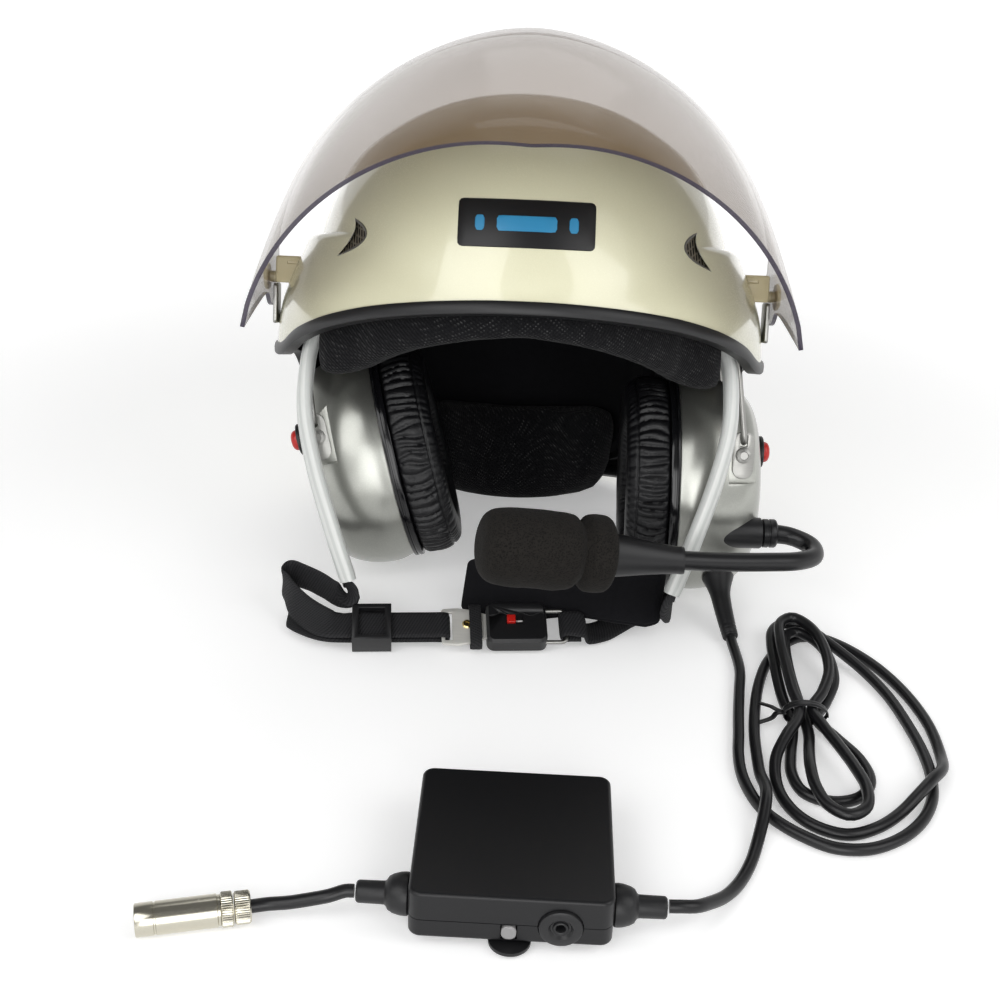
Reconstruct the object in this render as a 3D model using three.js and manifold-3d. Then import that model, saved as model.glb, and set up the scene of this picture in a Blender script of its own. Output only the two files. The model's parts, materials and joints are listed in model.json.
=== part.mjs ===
// Paramotor helmet with a raised visor, a two-cup headset, a boom microphone, a chin strap,
// and a cable that runs through a tied hank to a control box with a metal connector.
// Millimetres, +Z up. The helmet faces -Y and stands tipped back on its ear cup and nape rim.
// Helmet pieces are drawn in the head's frame: origin on the visor's pivot axis, Y to the back,
// Z up along the head. The tilt group then lays them on the table. Left and right are as seen
// from the front, so right is +X.

import * as THREE from "three";
import Module from "manifold-3d";
import { mergeVertices } from "three/addons/utils/BufferGeometryUtils.js";

const wasm = await Module();
wasm.setup();

const radians = THREE.MathUtils.degToRad;
const mix = THREE.MathUtils.lerp;

// Driving dimensions

const tilt = radians(20);
const fit = 0.3;
const runningFit = 0.45;
const overrun = 5;
const farAway = 400;

const shell = {
  crown: 100,
  centreBack: 20,
  domeHalfWidth: 112,
  domeHalfLength: 138,
  bandHalfWidth: 130,
  bandHalfLength: 141,
  wall: 3.5,
  browLevel: -11.5,
  sideLevel: -38.5,
  napeLevel: -113,
  browFront: -118,
  cornerBack: -24,
  earBack: 46,
  napeFront: 98,
};

const trim = { lip: 1.6, under: 1.5, height: 6.5 };

const liner = {
  clearance: 1.3,
  thickness: 17,
  browRise: 8,
  sideRise: 25,
  napeRise: 12,
  earBack: 52,
};

const lining = { thickness: 7, inset: 4 };

const vent = { x: 84, z: 20, size: 20, recess: 1, plate: 1.6, slit: 1.6, pitch: 3.6 };

const visor = {
  raise: radians(58),
  top: 27.5,
  bottom: -113,
  topHalfWidth: 132,
  bottomHalfWidth: 138,
  topReach: 129,
  bottomReach: 139,
  bulge: 17,
  sheet: 2.2,
  tipRise: 24,
  topDrop: 20,
  topPower: 1.4,
  pivotHole: 3.4,
};

const pivot = {
  bossLength: 16,
  bossTop: 11,
  bossBottom: -3,
  shank: 3,
  headRadius: 7,
  head: 2.6,
  shankLength: 12,
  plateWidth: 15,
  plate: 2,
  plateDrop: 21,
  plateCorner: 2,
  plateOut: 128.5,
  stand: 0.65,
  rounding: 1.2,
  segments: 18,
};

const cup = {
  halfWidth: 42,
  halfHeight: 56,
  depth: 46,
  wall: 2.6,
  flatFrom: 25,
  flatLow: 5,
  flatFace: 33,
};

const cupPlate = { thickness: 5, edge: 2, openHalfWidth: 26, openHalfHeight: 38, bevel: 0.9 };

const speaker = { flangeExtra: 3, flange: 2, radius: 22, depth: 9 };

const cushion = {
  thickness: 22,
  halfWidth: 43,
  halfHeight: 57,
  openHalfWidth: 21,
  openHalfHeight: 33,
  pleat: 0.7,
};

const yoke = {
  wire: 1.5,
  hingeOut: 112,
  hingeBack: 12,
  hingeLevel: -27,
  reach: 37,
  bend: 5,
  drop: 75,
  inset: 27,
  pivotRise: 26,
  pivotOut: 33,
  sunk: 6,
  swingRight: radians(-1),
  swingLeft: radians(15),
};

const yokeMount = { length: 22, inner: 5, outer: 13.4, below: 4.2, above: 7 };

const bracket = {
  width: 11,
  height: 25,
  plate: 1.5,
  screwDrop: 6.5,
  shank: 1.5,
  shankLength: 4,
  head: 4.1,
  headHeight: 1.8,
  slotHeight: 6,
};

const button = {
  rise: 18,
  radius: 5.6,
  bore: 5.9,
  shank: 7.2,
  hole: 7.5,
  flange: 8.6,
  flangeStart: 46.4,
  flangeEnd: 48.4,
  innerEnd: 36,
  floor: 2,
  capStart: 41.5,
  capEnd: 52.5,
  rounding: 1,
};

const boom = {
  tube: 4.8,
  mountRadius: 8.2,
  mountInner: 20,
  mountEnd: 45,
  forward: 30,
  lower: 22,
  pin: 2.4,
  pinEnd: 50,
  hubRadius: 7.6,
  hubEnd: 53,
  steps: 26,
};

const mic = {
  square: 3,
  steps: 6,
  swellFrom: 0.35,
  swellTo: 0.8,
  smallRadius: 5.4,
  bigHalfHeight: 11.4,
  bigHalfDepth: 8,
  capsule: 6.4,
  capsuleLength: 30,
};

const foam = { length: 65, radius: 19.4, bore: 6.9 };

const sleeve = { halfWidth: 5.2, halfDepth: 3.8 };

const webbing = { width: 15, thickness: 1.8 };

const chain = { x: 4, y: -103, z: 10.5, yaw: radians(5), lean: radians(22) };

const buckle = {
  length: 31,
  depth: 25,
  height: 10,
  corner: 4,
  bevel: 1.4,
  mouthWidth: 17,
  mouthHeight: 3,
  mouthDepth: 13,
};

const tongue = {
  length: 23,
  width: 22,
  plate: 1.8,
  bladeLength: 11,
  bladeWidth: 15,
  bar: 1.8,
  slotLength: 3.8,
  slotWidth: 17,
};

const tab = { length: 4.4, depth: 4.6, proud: 1.4, slotLength: 9, slotDepth: 1.8, back: 1, left: 10.5 };

const wireLoop = { wire: 1.1, length: 10, width: 19.6, sunk: 3 };

const ladder = { length: 20, width: 22, bar: 3.4, rail: 2.6, thickness: 2.2, from: -84 };

const pad = { thickness: 7, width: 34 };

const relief = { base: 8.5, neck: 5.2, tip: 4.1 };

const cable = { radius: 2.75, sides: 8 };

const hank = { radius: 2.75, sides: 6 };

const box = {
  width: 80,
  depth: 78,
  lidHeight: 13,
  baseHeight: 9,
  corner: 5,
  bevel: 1.6,
  wall: 2,
  floorGap: 5,
  x: 4.5,
  y: -281,
  yaw: radians(-1),
};

const board = { width: 62, depth: 56, back: 5, thickness: 1.6, standoff: 2.5, partHeight: 4 };

const light = { width: 6, height: 6.4, length: 4, out: 0.8, fromLeft: 39.5, level: 5.2 };

const socket = { radius: 8.7, collar: 4.2, bore: 1.8, length: 12, boreDepth: 9, fromRight: 20.5, out: 1.6 };

const gland = { radius: 8.6, dome: 9, sleeve: 4.6, sleeveLength: 12, bore: 3.4, fromFront: 14, neck: 4.2 };

const clip = {
  width: 17,
  length: 52,
  thickness: 1.6,
  over: 4.5,
  barrel: 1.9,
  pin: 1,
  pinLength: 3,
  lug: 3.4,
  lugDepth: 5,
  lugDrop: 2.2,
  bump: 2.5,
  bumpShare: 0.7,
  bumpEndShare: 0.5,
};

const plug = {
  radius: 6.6,
  barrel: 33,
  wall: 1.2,
  socket: 11,
  ring: 5,
  ringRadius: 7,
  nut: 6.5,
  knurls: 20,
  bore: 3.4,
};

const plugPlace = { x: -98.5, y: -308.5, z: 7.1, yaw: radians(13.5) };

// Solids

const mergeDistance = 1e-4;

/** A closed geometry as a solid for joining and cutting, with its faces turned outwards. */
function solidOf(geometry) {
  const loose = geometry.index ? geometry.toNonIndexed() : geometry;
  const bare = new THREE.BufferGeometry();
  bare.setAttribute("position", loose.getAttribute("position"));
  const merged = mergeVertices(bare, mergeDistance);
  const vertProperties = new Float32Array(merged.attributes.position.array);
  const make = (triVerts) => new wasm.Manifold(new wasm.Mesh({ numProp: 3, vertProperties, triVerts }));
  const made = make(new Uint32Array(merged.index.array));
  return made.volume() < 0 ? make(new Uint32Array(merged.index.array).reverse()) : made;
}

/** The solid's surface as a geometry that three.js draws. */
function geometryOf(solid) {
  const { vertProperties, triVerts } = solid.getMesh();
  const geometry = new THREE.BufferGeometry();
  geometry.setAttribute("position", new THREE.BufferAttribute(new Float32Array(vertProperties), 3));
  geometry.setIndex(new THREE.BufferAttribute(new Uint32Array(triVerts), 1));
  geometry.computeVertexNormals();
  return geometry;
}

const join = (...pieces) => geometryOf(pieces.map(solidOf).reduce((a, b) => a.add(b)));
const cut = (body, ...tools) => geometryOf(tools.map(solidOf).reduce((a, b) => a.subtract(b), solidOf(body)));
const common = (a, b) => geometryOf(solidOf(a).intersect(solidOf(b)));

const mirrored = (geometry) => geometry.clone().scale(-1, 1, 1);

/** The piece for one side: 1 is the right one as seen from the front (+X), -1 its mirror image. */
const sided = (geometry, side) => (side < 0 ? mirrored(geometry) : geometry);

const block = (x0, x1, y0, y1, z0, z1) =>
  new THREE.BoxGeometry(x1 - x0, y1 - y0, z1 - z0).translate((x0 + x1) / 2, (y0 + y1) / 2, (z0 + z1) / 2);

/** Round bars along one axis, between two places on it. */
const rodX = (radius, x0, x1, y, z, sides = 12) =>
  new THREE.CylinderGeometry(radius, radius, x1 - x0, sides).rotateZ(Math.PI / 2).translate((x0 + x1) / 2, y, z);
const rodY = (radius, y0, y1, x, z, sides = 12) =>
  new THREE.CylinderGeometry(radius, radius, y1 - y0, sides).translate(x, (y0 + y1) / 2, z);
const rodZ = (radius, z0, z1, x, y, sides = 12) =>
  new THREE.CylinderGeometry(radius, radius, z1 - z0, sides).rotateX(Math.PI / 2).translate(x, y, (z0 + z1) / 2);

/** A profile of [radius, height] points turned round the Z axis. */
function revolve(profile, segments) {
  const points = profile.map(([r, h]) => new THREE.Vector2(r, h));
  return new THREE.LatheGeometry(points, segments).rotateX(Math.PI / 2);
}

/** An outline in the YZ plane drawn out along X. */
function prismX(outline, x0, x1) {
  const turn = new THREE.Matrix4().makeBasis(
    new THREE.Vector3(0, 1, 0),
    new THREE.Vector3(0, 0, 1),
    new THREE.Vector3(1, 0, 0),
  );
  const solid = new THREE.ExtrudeGeometry(new THREE.Shape(outline), { depth: x1 - x0, bevelEnabled: false });
  return solid.applyMatrix4(turn).translate(x0, 0, 0);
}

/** A shape in the XZ plane drawn out along Y. */
function prismY(shape, y0, y1, curveSegments = 6) {
  const solid = new THREE.ExtrudeGeometry(shape, { depth: y1 - y0, bevelEnabled: false, curveSegments });
  return solid.rotateX(Math.PI / 2).translate(0, y1, 0);
}

/** A shape in the XY plane drawn up to a height, with its edges rounded off. */
function slab(shape, height, bevel = 0, curveSegments = 3) {
  const options = {
    depth: height - 2 * bevel,
    bevelEnabled: bevel > 0,
    bevelSize: bevel,
    bevelThickness: bevel,
    bevelOffset: -bevel,
    bevelSegments: 1,
    curveSegments,
  };
  return new THREE.ExtrudeGeometry(shape, options).translate(0, 0, bevel);
}

function roundedRectangle(width, depth, corner) {
  const x = width / 2 - corner;
  const y = depth / 2 - corner;
  const shape = new THREE.Shape();
  shape.absarc(x, y, corner, 0, Math.PI / 2);
  shape.absarc(-x, y, corner, Math.PI / 2, Math.PI);
  shape.absarc(-x, -y, corner, Math.PI, 1.5 * Math.PI);
  shape.absarc(x, -y, corner, 1.5 * Math.PI, 2 * Math.PI);
  return shape;
}

function ellipseShape(halfWidth, halfHeight, openHalfWidth = 0, openHalfHeight = 0) {
  const shape = new THREE.Shape();
  shape.absellipse(0, 0, halfWidth, halfHeight, 0, 2 * Math.PI);
  if (openHalfWidth > 0) {
    const opening = new THREE.Path();
    opening.absellipse(0, 0, openHalfWidth, openHalfHeight, 0, 2 * Math.PI);
    shape.holes.push(opening);
  }
  return shape;
}

/** A skin over rings of points, closed at both ends, or round into itself. */
function loft(rings, looped = false) {
  const size = rings[0].length;
  const count = rings.length;
  const positions = rings.flat().flatMap((p) => [p.x, p.y, p.z]);
  const indices = [];
  for (let i = 0; i < (looped ? count : count - 1); i++) {
    const next = (i + 1) % count;
    for (let j = 0; j < size; j++) {
      const k = (j + 1) % size;
      indices.push(i * size + j, i * size + k, next * size + k);
      indices.push(i * size + j, next * size + k, next * size + j);
    }
  }
  if (!looped)
    for (const [ring, flip] of [
      [0, true],
      [count - 1, false],
    ]) {
      const middle = rings[ring].reduce((sum, p) => sum.add(p), new THREE.Vector3()).divideScalar(size);
      const centre = positions.length / 3;
      positions.push(middle.x, middle.y, middle.z);
      for (let j = 0; j < size; j++) {
        const a = ring * size + j;
        const b = ring * size + ((j + 1) % size);
        indices.push(centre, ...(flip ? [b, a] : [a, b]));
      }
    }
  const geometry = new THREE.BufferGeometry();
  geometry.setAttribute("position", new THREE.Float32BufferAttribute(positions, 3));
  geometry.setIndex(indices);
  return geometry;
}

const vector = ([x, y, z]) => new THREE.Vector3(x, y, z);

/** One unbroken tube through close points, each ring square to the run. */
function sweep(points, radius, sides) {
  const tangents = points.map((p, i) => {
    const before = points[Math.max(i - 1, 0)];
    const after = points[Math.min(i + 1, points.length - 1)];
    return after.clone().sub(before).normalize();
  });
  const up = new THREE.Vector3(0, 0, 1);
  let across = new THREE.Vector3().crossVectors(tangents[0], up).normalize();
  const rings = points.map((p, i) => {
    across = across.clone().addScaledVector(tangents[i], -across.dot(tangents[i])).normalize();
    const other = new THREE.Vector3().crossVectors(tangents[i], across);
    return Array.from({ length: sides }, (_, j) => {
      const angle = (2 * Math.PI * j) / sides;
      return p
        .clone()
        .addScaledVector(across, radius * Math.cos(angle))
        .addScaledVector(other, radius * Math.sin(angle));
    });
  });
  return loft(rings);
}

/** A section of [across, through] points carried along a smooth curve; each knot names its width's way. */
function along(knots, steps, section, widthAt = () => 1) {
  const path = new THREE.CatmullRomCurve3(knots.map((knot) => vector(knot.at)));
  const widths = new THREE.CatmullRomCurve3(knots.map((knot) => vector(knot.across)));
  const rings = Array.from({ length: steps + 1 }, (_, i) => {
    const t = i / steps;
    const middle = path.getPoint(t);
    const tangent = path.getTangent(t);
    const width = widths.getPoint(t);
    const side = width.addScaledVector(tangent, -width.dot(tangent)).normalize();
    const face = new THREE.Vector3().crossVectors(tangent, side);
    return section.map(([a, b]) =>
      middle.clone().addScaledVector(side, a * widthAt(t)).addScaledVector(face, b),
    );
  });
  return loft(rings);
}

/** The four corners of a flat strap. */
const strapSection = (width, thickness) => [
  [width / 2, thickness / 2],
  [-width / 2, thickness / 2],
  [-width / 2, -thickness / 2],
  [width / 2, -thickness / 2],
];

/** The ring of points of an oval tube. */
const ovalSection = (halfWidth, halfDepth, sides) =>
  Array.from({ length: sides }, (_, i) => {
    const angle = (2 * Math.PI * i) / sides;
    return [halfWidth * Math.cos(angle), halfDepth * Math.sin(angle)];
  });

/** A bent wire's middle line: straight runs with each corner rounded off. */
function bent(points, radius, steps = 4) {
  const corners = points.map(vector);
  const line = [corners[0]];
  for (let i = 1; i < corners.length - 1; i++) {
    const [before, at, after] = [corners[i - 1], corners[i], corners[i + 1]];
    const start = at.clone().add(before.clone().sub(at).setLength(radius));
    const end = at.clone().add(after.clone().sub(at).setLength(radius));
    const turn = new THREE.QuadraticBezierCurve3(start, at, end);
    line.push(...turn.getPoints(steps));
  }
  line.push(corners[corners.length - 1]);
  return line;
}

// Finishes

const finish = (color, roughness, metalness = 0) => ({ color, roughness, metalness });
const finishes = {
  pearl: finish(0xd9d4bb, 0.28),
  rubber: finish(0x151515, 0.7),
  foamBlack: finish(0x1c1d1e, 0.95),
  cloth: finish(0x101112, 0.95),
  leather: finish(0x121314, 0.45),
  silver: finish(0xa9aca8, 0.3, 0.4),
  blackPlastic: finish(0x16181a, 0.45),
  satinBlack: finish(0x0e0f10, 0.5),
  steel: finish(0xb9bab6, 0.25, 1),
  nickel: finish(0xc2bfae, 0.3, 1),
  red: finish(0xc01818, 0.35),
  clear: finish(0xcfc8cf, 0.08),
  mesh: finish(0x6f6c60, 0.6, 0.3),
  strapWhite: finish(0xd7dad8, 0.5),
  webbingBlack: finish(0x141516, 0.8),
  green: finish(0x1d5a34, 0.6),
  lens: finish(0x8f9090, 0.3),
};

const part = new THREE.Group();
const helmet = new THREE.Group();
helmet.rotation.x = -tilt;
part.add(helmet);
const cordNames = new Set([
  "main_cable_lead", "main_cable_coil", "main_cable_tail", "box_lid", "box_base",
  "box_circuit_board", "status_light", "audio_socket", "box_gland_left", "box_gland_right",
  "belt_clip", "connector_cable", "connector_body", "connector_nut",
]);

/** Adds one named piece to a group. */
function add(group, name, geometry, look) {
  const mesh = new THREE.Mesh(geometryOf(solidOf(geometry)), new THREE.MeshStandardMaterial(finishes[look]));
  mesh.name = name;
  group.add(mesh);
  return mesh;
}

const sides = [
  [1, "right"],
  [-1, "left"],
];

// Shell, trim and linings

const domeShares = [
  [0, 1], [0.2, 0.985], [0.4, 0.93], [0.6, 0.82], [0.79, 0.65], [0.92, 0.4], [0.975, 0.15],
  [1, -0.25], [0.985, -0.6], [0.92, -1], [0.78, -1.5], [0, -1.5],
];
const bandShares = [
  [0, 0.225], [0.865, 0.225], [0.89, 0.2], [0.94, 0.04], [0.98, -0.11], [1, -0.32],
  [0.985, -0.6], [0.93, -0.95], [0.79, -1.5], [0, -1.5],
];
const ledgeShare = 0.2;
const shellSegments = 28;
const linerSegments = 18;

/** One revolved body of the shell, squeezed to the head's width and length, grown or shrunk all over. */
function bodyOf(shares, halfWidth, halfLength, grow, segments = shellSegments) {
  const rise = (h) => grow * THREE.MathUtils.clamp(h / ledgeShare, 0, 1);
  const profile = shares.map(([r, h]) => [r, h * shell.crown + rise(h)]);
  return revolve(profile, segments)
    .scale(halfWidth + grow, halfLength + grow, 1)
    .translate(0, shell.centreBack, 0);
}

/** The shell's outside: a smooth dome, and a wider band over the ears that leaves a ledge at the sides. */
const outside = (grow) =>
  join(
    bodyOf(domeShares, shell.domeHalfWidth, shell.domeHalfLength, grow),
    bodyOf(bandShares, shell.bandHalfWidth, shell.bandHalfLength, grow),
  );

const browShares = [
  [0, 0], [0.245, 0.2], [0.457, 0.41], [0.7, 0.685], [0.83, 0.89], [0.915, 0.975], [1, 1],
];
const napeShares = [
  [0, 0], [0.22, 0.06], [0.38, 0.25], [0.52, 0.55], [0.68, 0.82], [0.84, 0.96], [1, 1],
];

/** The rim seen from the side, from the brow past the ear to the nape, as [y, z] points. */
function rimLine(brow, side, nape, earBack = shell.earBack) {
  const front = browShares.map(([a, b]) => [mix(shell.browFront, shell.cornerBack, a), mix(brow, side, b)]);
  const back = napeShares.map(([a, b]) => [mix(earBack, shell.napeFront, a), mix(side, nape, b)]);
  return [[-farAway, brow], ...front, ...back, [farAway, nape]];
}

/** The line moved square to itself, down and outwards where the distance is positive. */
function offsetLine(line, distance) {
  return line.map(([y, z], i) => {
    const [y0, z0] = line[Math.max(i - 1, 0)];
    const [y1, z1] = line[Math.min(i + 1, line.length - 1)];
    const length = Math.hypot(y1 - y0, z1 - z0);
    return [y + ((z1 - z0) / length) * distance, z - ((y1 - y0) / length) * distance];
  });
}

/** All that lies above a rim line. */
function above(line) {
  const outline = line.map(([y, z]) => new THREE.Vector2(y, z));
  outline.push(new THREE.Vector2(farAway, farAway), new THREE.Vector2(-farAway, farAway));
  return prismX(outline, -farAway, farAway);
}

const shellRim = rimLine(shell.browLevel, shell.sideLevel, shell.napeLevel);

const ventSteps = 6;
const crescentShares = {
  middle: [-0.2, 0.04],
  tip: [-0.05, 0.45],
  tail: [0.35, -0.45],
  outerPull: [-0.9, 0],
  innerPull: [-0.2, 0.15],
};
const grilleShare = 0.85;
const slitShare = 0.72;

/** The crescent of the right vent in the XZ plane, shrunk about its middle by a share. */
function crescent(share) {
  const { middle, tip, tail, outerPull, innerPull } = crescentShares;
  const at = ([x, z]) => [
    vent.x + mix(middle[0], x, share) * vent.size,
    vent.z + mix(middle[1], z, share) * vent.size,
  ];
  const shape = new THREE.Shape();
  shape.moveTo(...at(tip));
  shape.quadraticCurveTo(...at(outerPull), ...at(tail));
  shape.quadraticCurveTo(...at(innerPull), ...at(tip));
  return shape;
}

/** The block on the shell's side that the visor's pivot screw goes into. */
function pivotBoss(side) {
  const half = pivot.bossLength / 2;
  const end = visor.topHalfWidth - visor.sheet - fit;
  const inner = shell.domeHalfWidth;
  return sided(block(inner, end, -half, half, pivot.bossBottom, pivot.bossTop), side);
}

function shellSolid() {
  const hollow = outside(-shell.wall);
  const keep = above(shellRim);
  const bosses = sides.map(([side]) => cut(pivotBoss(side), hollow));
  const skin = common(cut(outside(0), hollow), keep);
  const ventCuts = sides.map(([side]) => sided(prismY(crescent(1), -farAway, 0, ventSteps), side));
  const bores = sides.map(([side]) =>
    sided(rodX(pivot.shank + fit, shell.domeHalfWidth + shell.wall, farAway, 0, 0), side),
  );
  return cut(join(skin, ...bosses), ...ventCuts, ...bores);
}

function trimSolid() {
  const wrap = cut(outside(trim.lip), outside(-shell.wall - trim.lip));
  const strip = cut(common(wrap, above(offsetLine(shellRim, trim.under))), above(offsetLine(shellRim, -trim.height)));
  const channel = cut(outside(fit), outside(-shell.wall - fit));
  return cut(strip, common(channel, above(offsetLine(shellRim, fit))));
}

const linerOut = shell.wall + liner.clearance;
const linerRim = rimLine(
  shell.browLevel + liner.browRise,
  shell.sideLevel + liner.sideRise,
  shell.napeLevel + liner.napeRise,
  liner.earBack,
);

/** The head's own dome inside the shell, as far in from the shell's dome as given. */
const inside = (depth) => bodyOf(domeShares, shell.domeHalfWidth, shell.domeHalfLength, -depth, linerSegments);

function linerSolid() {
  return common(cut(inside(linerOut), inside(linerOut + liner.thickness)), above(linerRim));
}

function liningSolid() {
  const start = linerOut + liner.thickness + fit + fit;
  const ring = cut(inside(start), inside(start + lining.thickness));
  return common(ring, above(offsetLine(linerRim, -lining.inset)));
}

/** The slotted plate that closes a vent, sunk a little below the shell's face. */
function ventGrille(side) {
  const skin = cut(outside(-vent.recess), outside(-vent.recess - vent.plate));
  const plug = common(skin, prismY(crescent(grilleShare), -farAway, 0, ventSteps));
  const inner = crescent(slitShare);
  const count = Math.floor(vent.size / vent.pitch);
  const slits = Array.from({ length: count }, (_, i) => {
    const x = vent.x + (i - count / 2) * vent.pitch;
    return block(x, x + vent.slit, -farAway, 0, vent.z - vent.size, vent.z + vent.size);
  });
  return sided(cut(plug, common(join(...slits), prismY(inner, -farAway, 0, ventSteps))), side);
}

add(helmet, "shell", shellSolid(), "pearl");
add(helmet, "edge_trim", trimSolid(), "rubber");
add(helmet, "impact_liner", linerSolid(), "foamBlack");
add(helmet, "comfort_lining", liningSolid(), "cloth");
for (const [side, word] of sides) add(helmet, "vent_mesh_" + word, ventGrille(side), "mesh");

// Brow pad and neck roll

const padSection = [
  [0.15, 0], [0.5, -0.02], [0.85, 0], [1, 0.16], [1.03, 0.5], [1, 0.84], [0.85, 1], [0.5, 1.02], [0.15, 1],
  [0, 0.84], [-0.04, 0.5], [0, 0.16],
];

/** A soft roll that follows the head round, from one side through the middle to the other. */
function headRoll({ halfWidth, halfLength, thickness, from, to, steps }, topAt, bottomAt, leanAt) {
  const rings = Array.from({ length: steps + 1 }, (_, i) => {
    const turn = mix(from, to, i / steps);
    const share = Math.abs((2 * i) / steps - 1);
    const closing = Math.sqrt(Math.max(0, 1 - share ** pads.endPower));
    return padSection.map(([a, b]) => {
      const height = mix(bottomAt(share), topAt(share), mix(pads.endShare, b, closing));
      const lean = leanAt(1 - b);
      const out = mix(-thickness, 0, mix(pads.endShare, a, closing)) + lean;
      const x = (halfWidth + out) * Math.sin(turn);
      const y = shell.centreBack - (halfLength + out) * Math.cos(turn);
      return new THREE.Vector3(x, y, height);
    });
  });
  return loft(rings);
}

const pads = { endPower: 8, endShare: 0.5 };
const brow = {
  halfWidth: 107,
  halfLength: 131.6,
  thickness: 13,
  from: radians(-57),
  to: radians(57),
  steps: 20,
  topMiddle: -7.5,
  topSide: -14.4,
  bottomMiddle: -23.5,
  bottomSide: -47,
};
const nape = {
  halfWidth: 82.6,
  halfLength: 99.4,
  thickness: 26.5,
  from: radians(128),
  to: radians(232),
  steps: 16,
  top: -72,
  topSide: -68,
  bottom: -126,
  bottomSide: -112,
  lean: -7,
};

add(
  helmet,
  "brow_pad",
  headRoll(
    brow,
    (t) => mix(brow.topMiddle, brow.topSide, t),
    (t) => mix(brow.bottomMiddle, brow.bottomSide, t ** 1.6),
    () => 0,
  ),
  "cloth",
);
add(
  helmet,
  "neck_roll",
  headRoll(
    nape,
    (t) => mix(nape.top, nape.topSide, t),
    (t) => mix(nape.bottom, nape.bottomSide, t * t),
    (down) => nape.lean * down,
  ),
  "cloth",
);

// Visor, drawn closed and then raised

const visorPower = 1.82;
const visorTurns = 24;
const visorLastTurn = radians(72);
const visorRows = 5;

/** Columns beside the pivot: how far forward, and the sheet's top and bottom edges there. */
const visorEar = [
  [-25, 10, -86], [-18, 11.6, -66], [-11, 13.2, -44], [-5, 14.4, -26], [0, 15, -16], [5, 14.1, -14.1],
  [9, 12, -12], [12.5, 8.3, -8.3], [14.7, 3, -3],
];

/** Half-width and reach of the visor at a height, and how fast each changes. */
function visorAt(z) {
  const span = visor.top - visor.bottom;
  const t = (visor.top - z) / span;
  const width = mix(visor.topHalfWidth, visor.bottomHalfWidth, t);
  const reach = mix(visor.topReach, visor.bottomReach, t) + visor.bulge * (1 - (2 * t - 1) ** 2);
  const widthRate = (visor.topHalfWidth - visor.bottomHalfWidth) / span;
  const reachRate = (visor.topReach - visor.bottomReach - (visor.bulge + visor.bulge) * (2 - (t + t) * 2)) / span;
  return { width, reach, widthRate, reachRate };
}

/** One point of the visor's outer face, and the same point through the sheet. */
function visorPair(column, z) {
  const { width, reach, widthRate, reachRate } = visorAt(z);
  let x = width * column.side;
  let y = column.back;
  if (column.turn !== undefined) {
    x = width * Math.sign(column.turn) * Math.abs(Math.sin(column.turn)) ** (2 / visorPower);
    y = -reach * Math.cos(column.turn) ** (2 / visorPower);
  } else if (y < 0) x = width * column.side * (1 - (-y / reach) ** visorPower) ** (1 / visorPower);
  const xShare = Math.abs(x) / width;
  const yShare = Math.max(0, -y) / reach;
  const normal = new THREE.Vector3(
    (Math.sign(x) * xShare ** (visorPower - 1)) / width,
    -(yShare ** (visorPower - 1)) / reach,
    -(xShare ** visorPower * widthRate) / width - (yShare ** visorPower * reachRate) / reach,
  ).normalize();
  const outer = new THREE.Vector3(x, y, z);
  return [outer, outer.clone().addScaledVector(normal, -visor.sheet)];
}

function visorSolid() {
  const ear = (side) => visorEar.map(([back, top, bottom]) => ({ side, back, top, bottom }));
  const front = Array.from({ length: visorTurns + 1 }, (_, i) => {
    const turn = mix(-visorLastTurn, visorLastTurn, i / visorTurns);
    const share = Math.abs(Math.sin(turn)) ** (2 / visorPower);
    return {
      turn,
      top: visor.top - visor.topDrop * share ** visor.topPower,
      bottom: visor.bottom + visor.tipRise * share,
    };
  });
  const columns = [...ear(-1).reverse(), ...front, ...ear(1)];
  const rings = columns.map((column) => {
    const pairs = Array.from({ length: visorRows + 1 }, (_, i) =>
      visorPair(column, mix(column.top, column.bottom, i / visorRows)),
    );
    return [...pairs.map(([outer]) => outer), ...pairs.map(([, inner]) => inner).reverse()];
  });
  return cut(loft(rings), rodX(visor.pivotHole, -farAway, farAway, 0, 0));
}

const visorGroup = new THREE.Group();
visorGroup.rotation.x = -visor.raise;
helmet.add(visorGroup);
add(visorGroup, "visor_shield", visorSolid(), "clear");

const pivotOuter = visorAt(0).width;

/** The pivot screw: a domed head outside the visor, and a shank that ends in the shell's block. */
function pivotScrew(side) {
  const face = pivotOuter + pivot.stand;
  const head = revolve(
    [
      [0, 0],
      [pivot.headRadius, 0],
      [pivot.headRadius, pivot.head - pivot.rounding],
      [pivot.headRadius - pivot.rounding, pivot.head],
      [0, pivot.head],
    ],
    pivot.segments,
  ).rotateY(Math.PI / 2);
  const shank = rodX(pivot.shank, face - pivot.shankLength, face + pivot.rounding, 0, 0);
  return sided(join(head.translate(face, 0, 0), shank), side);
}

/** The bright plate below each pivot block. */
function hingePlate(side) {
  const shape = roundedRectangle(pivot.plateDrop, pivot.plateWidth, pivot.plateCorner);
  const plate = slab(shape, pivot.plate).rotateY(Math.PI / 2);
  const top = pivot.bossBottom - fit;
  return sided(plate.translate(pivot.plateOut, 0, top - pivot.plateDrop / 2), side);
}

for (const [side, word] of sides) {
  add(helmet, "visor_pivot_screw_" + word, pivotScrew(side), "pearl");
  add(helmet, "visor_hinge_plate_" + word, hingePlate(side), "steel");
}

// Headset: yoke wires, cups, cushions, buttons

const yokeBlock = (side) => {
  const bore = rodY(yoke.wire + runningFit, -farAway, farAway, yoke.hingeOut, yoke.hingeLevel);
  const half = yokeMount.length / 2;
  const solid = block(
    yoke.hingeOut - yokeMount.inner,
    yoke.hingeOut + yokeMount.outer,
    yoke.hingeBack - half,
    yoke.hingeBack + half,
    yoke.hingeLevel - yokeMount.below,
    yoke.hingeLevel + yokeMount.above,
  );
  return sided(cut(common(solid, outside(-shell.wall - fit)), bore), side);
};

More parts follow.
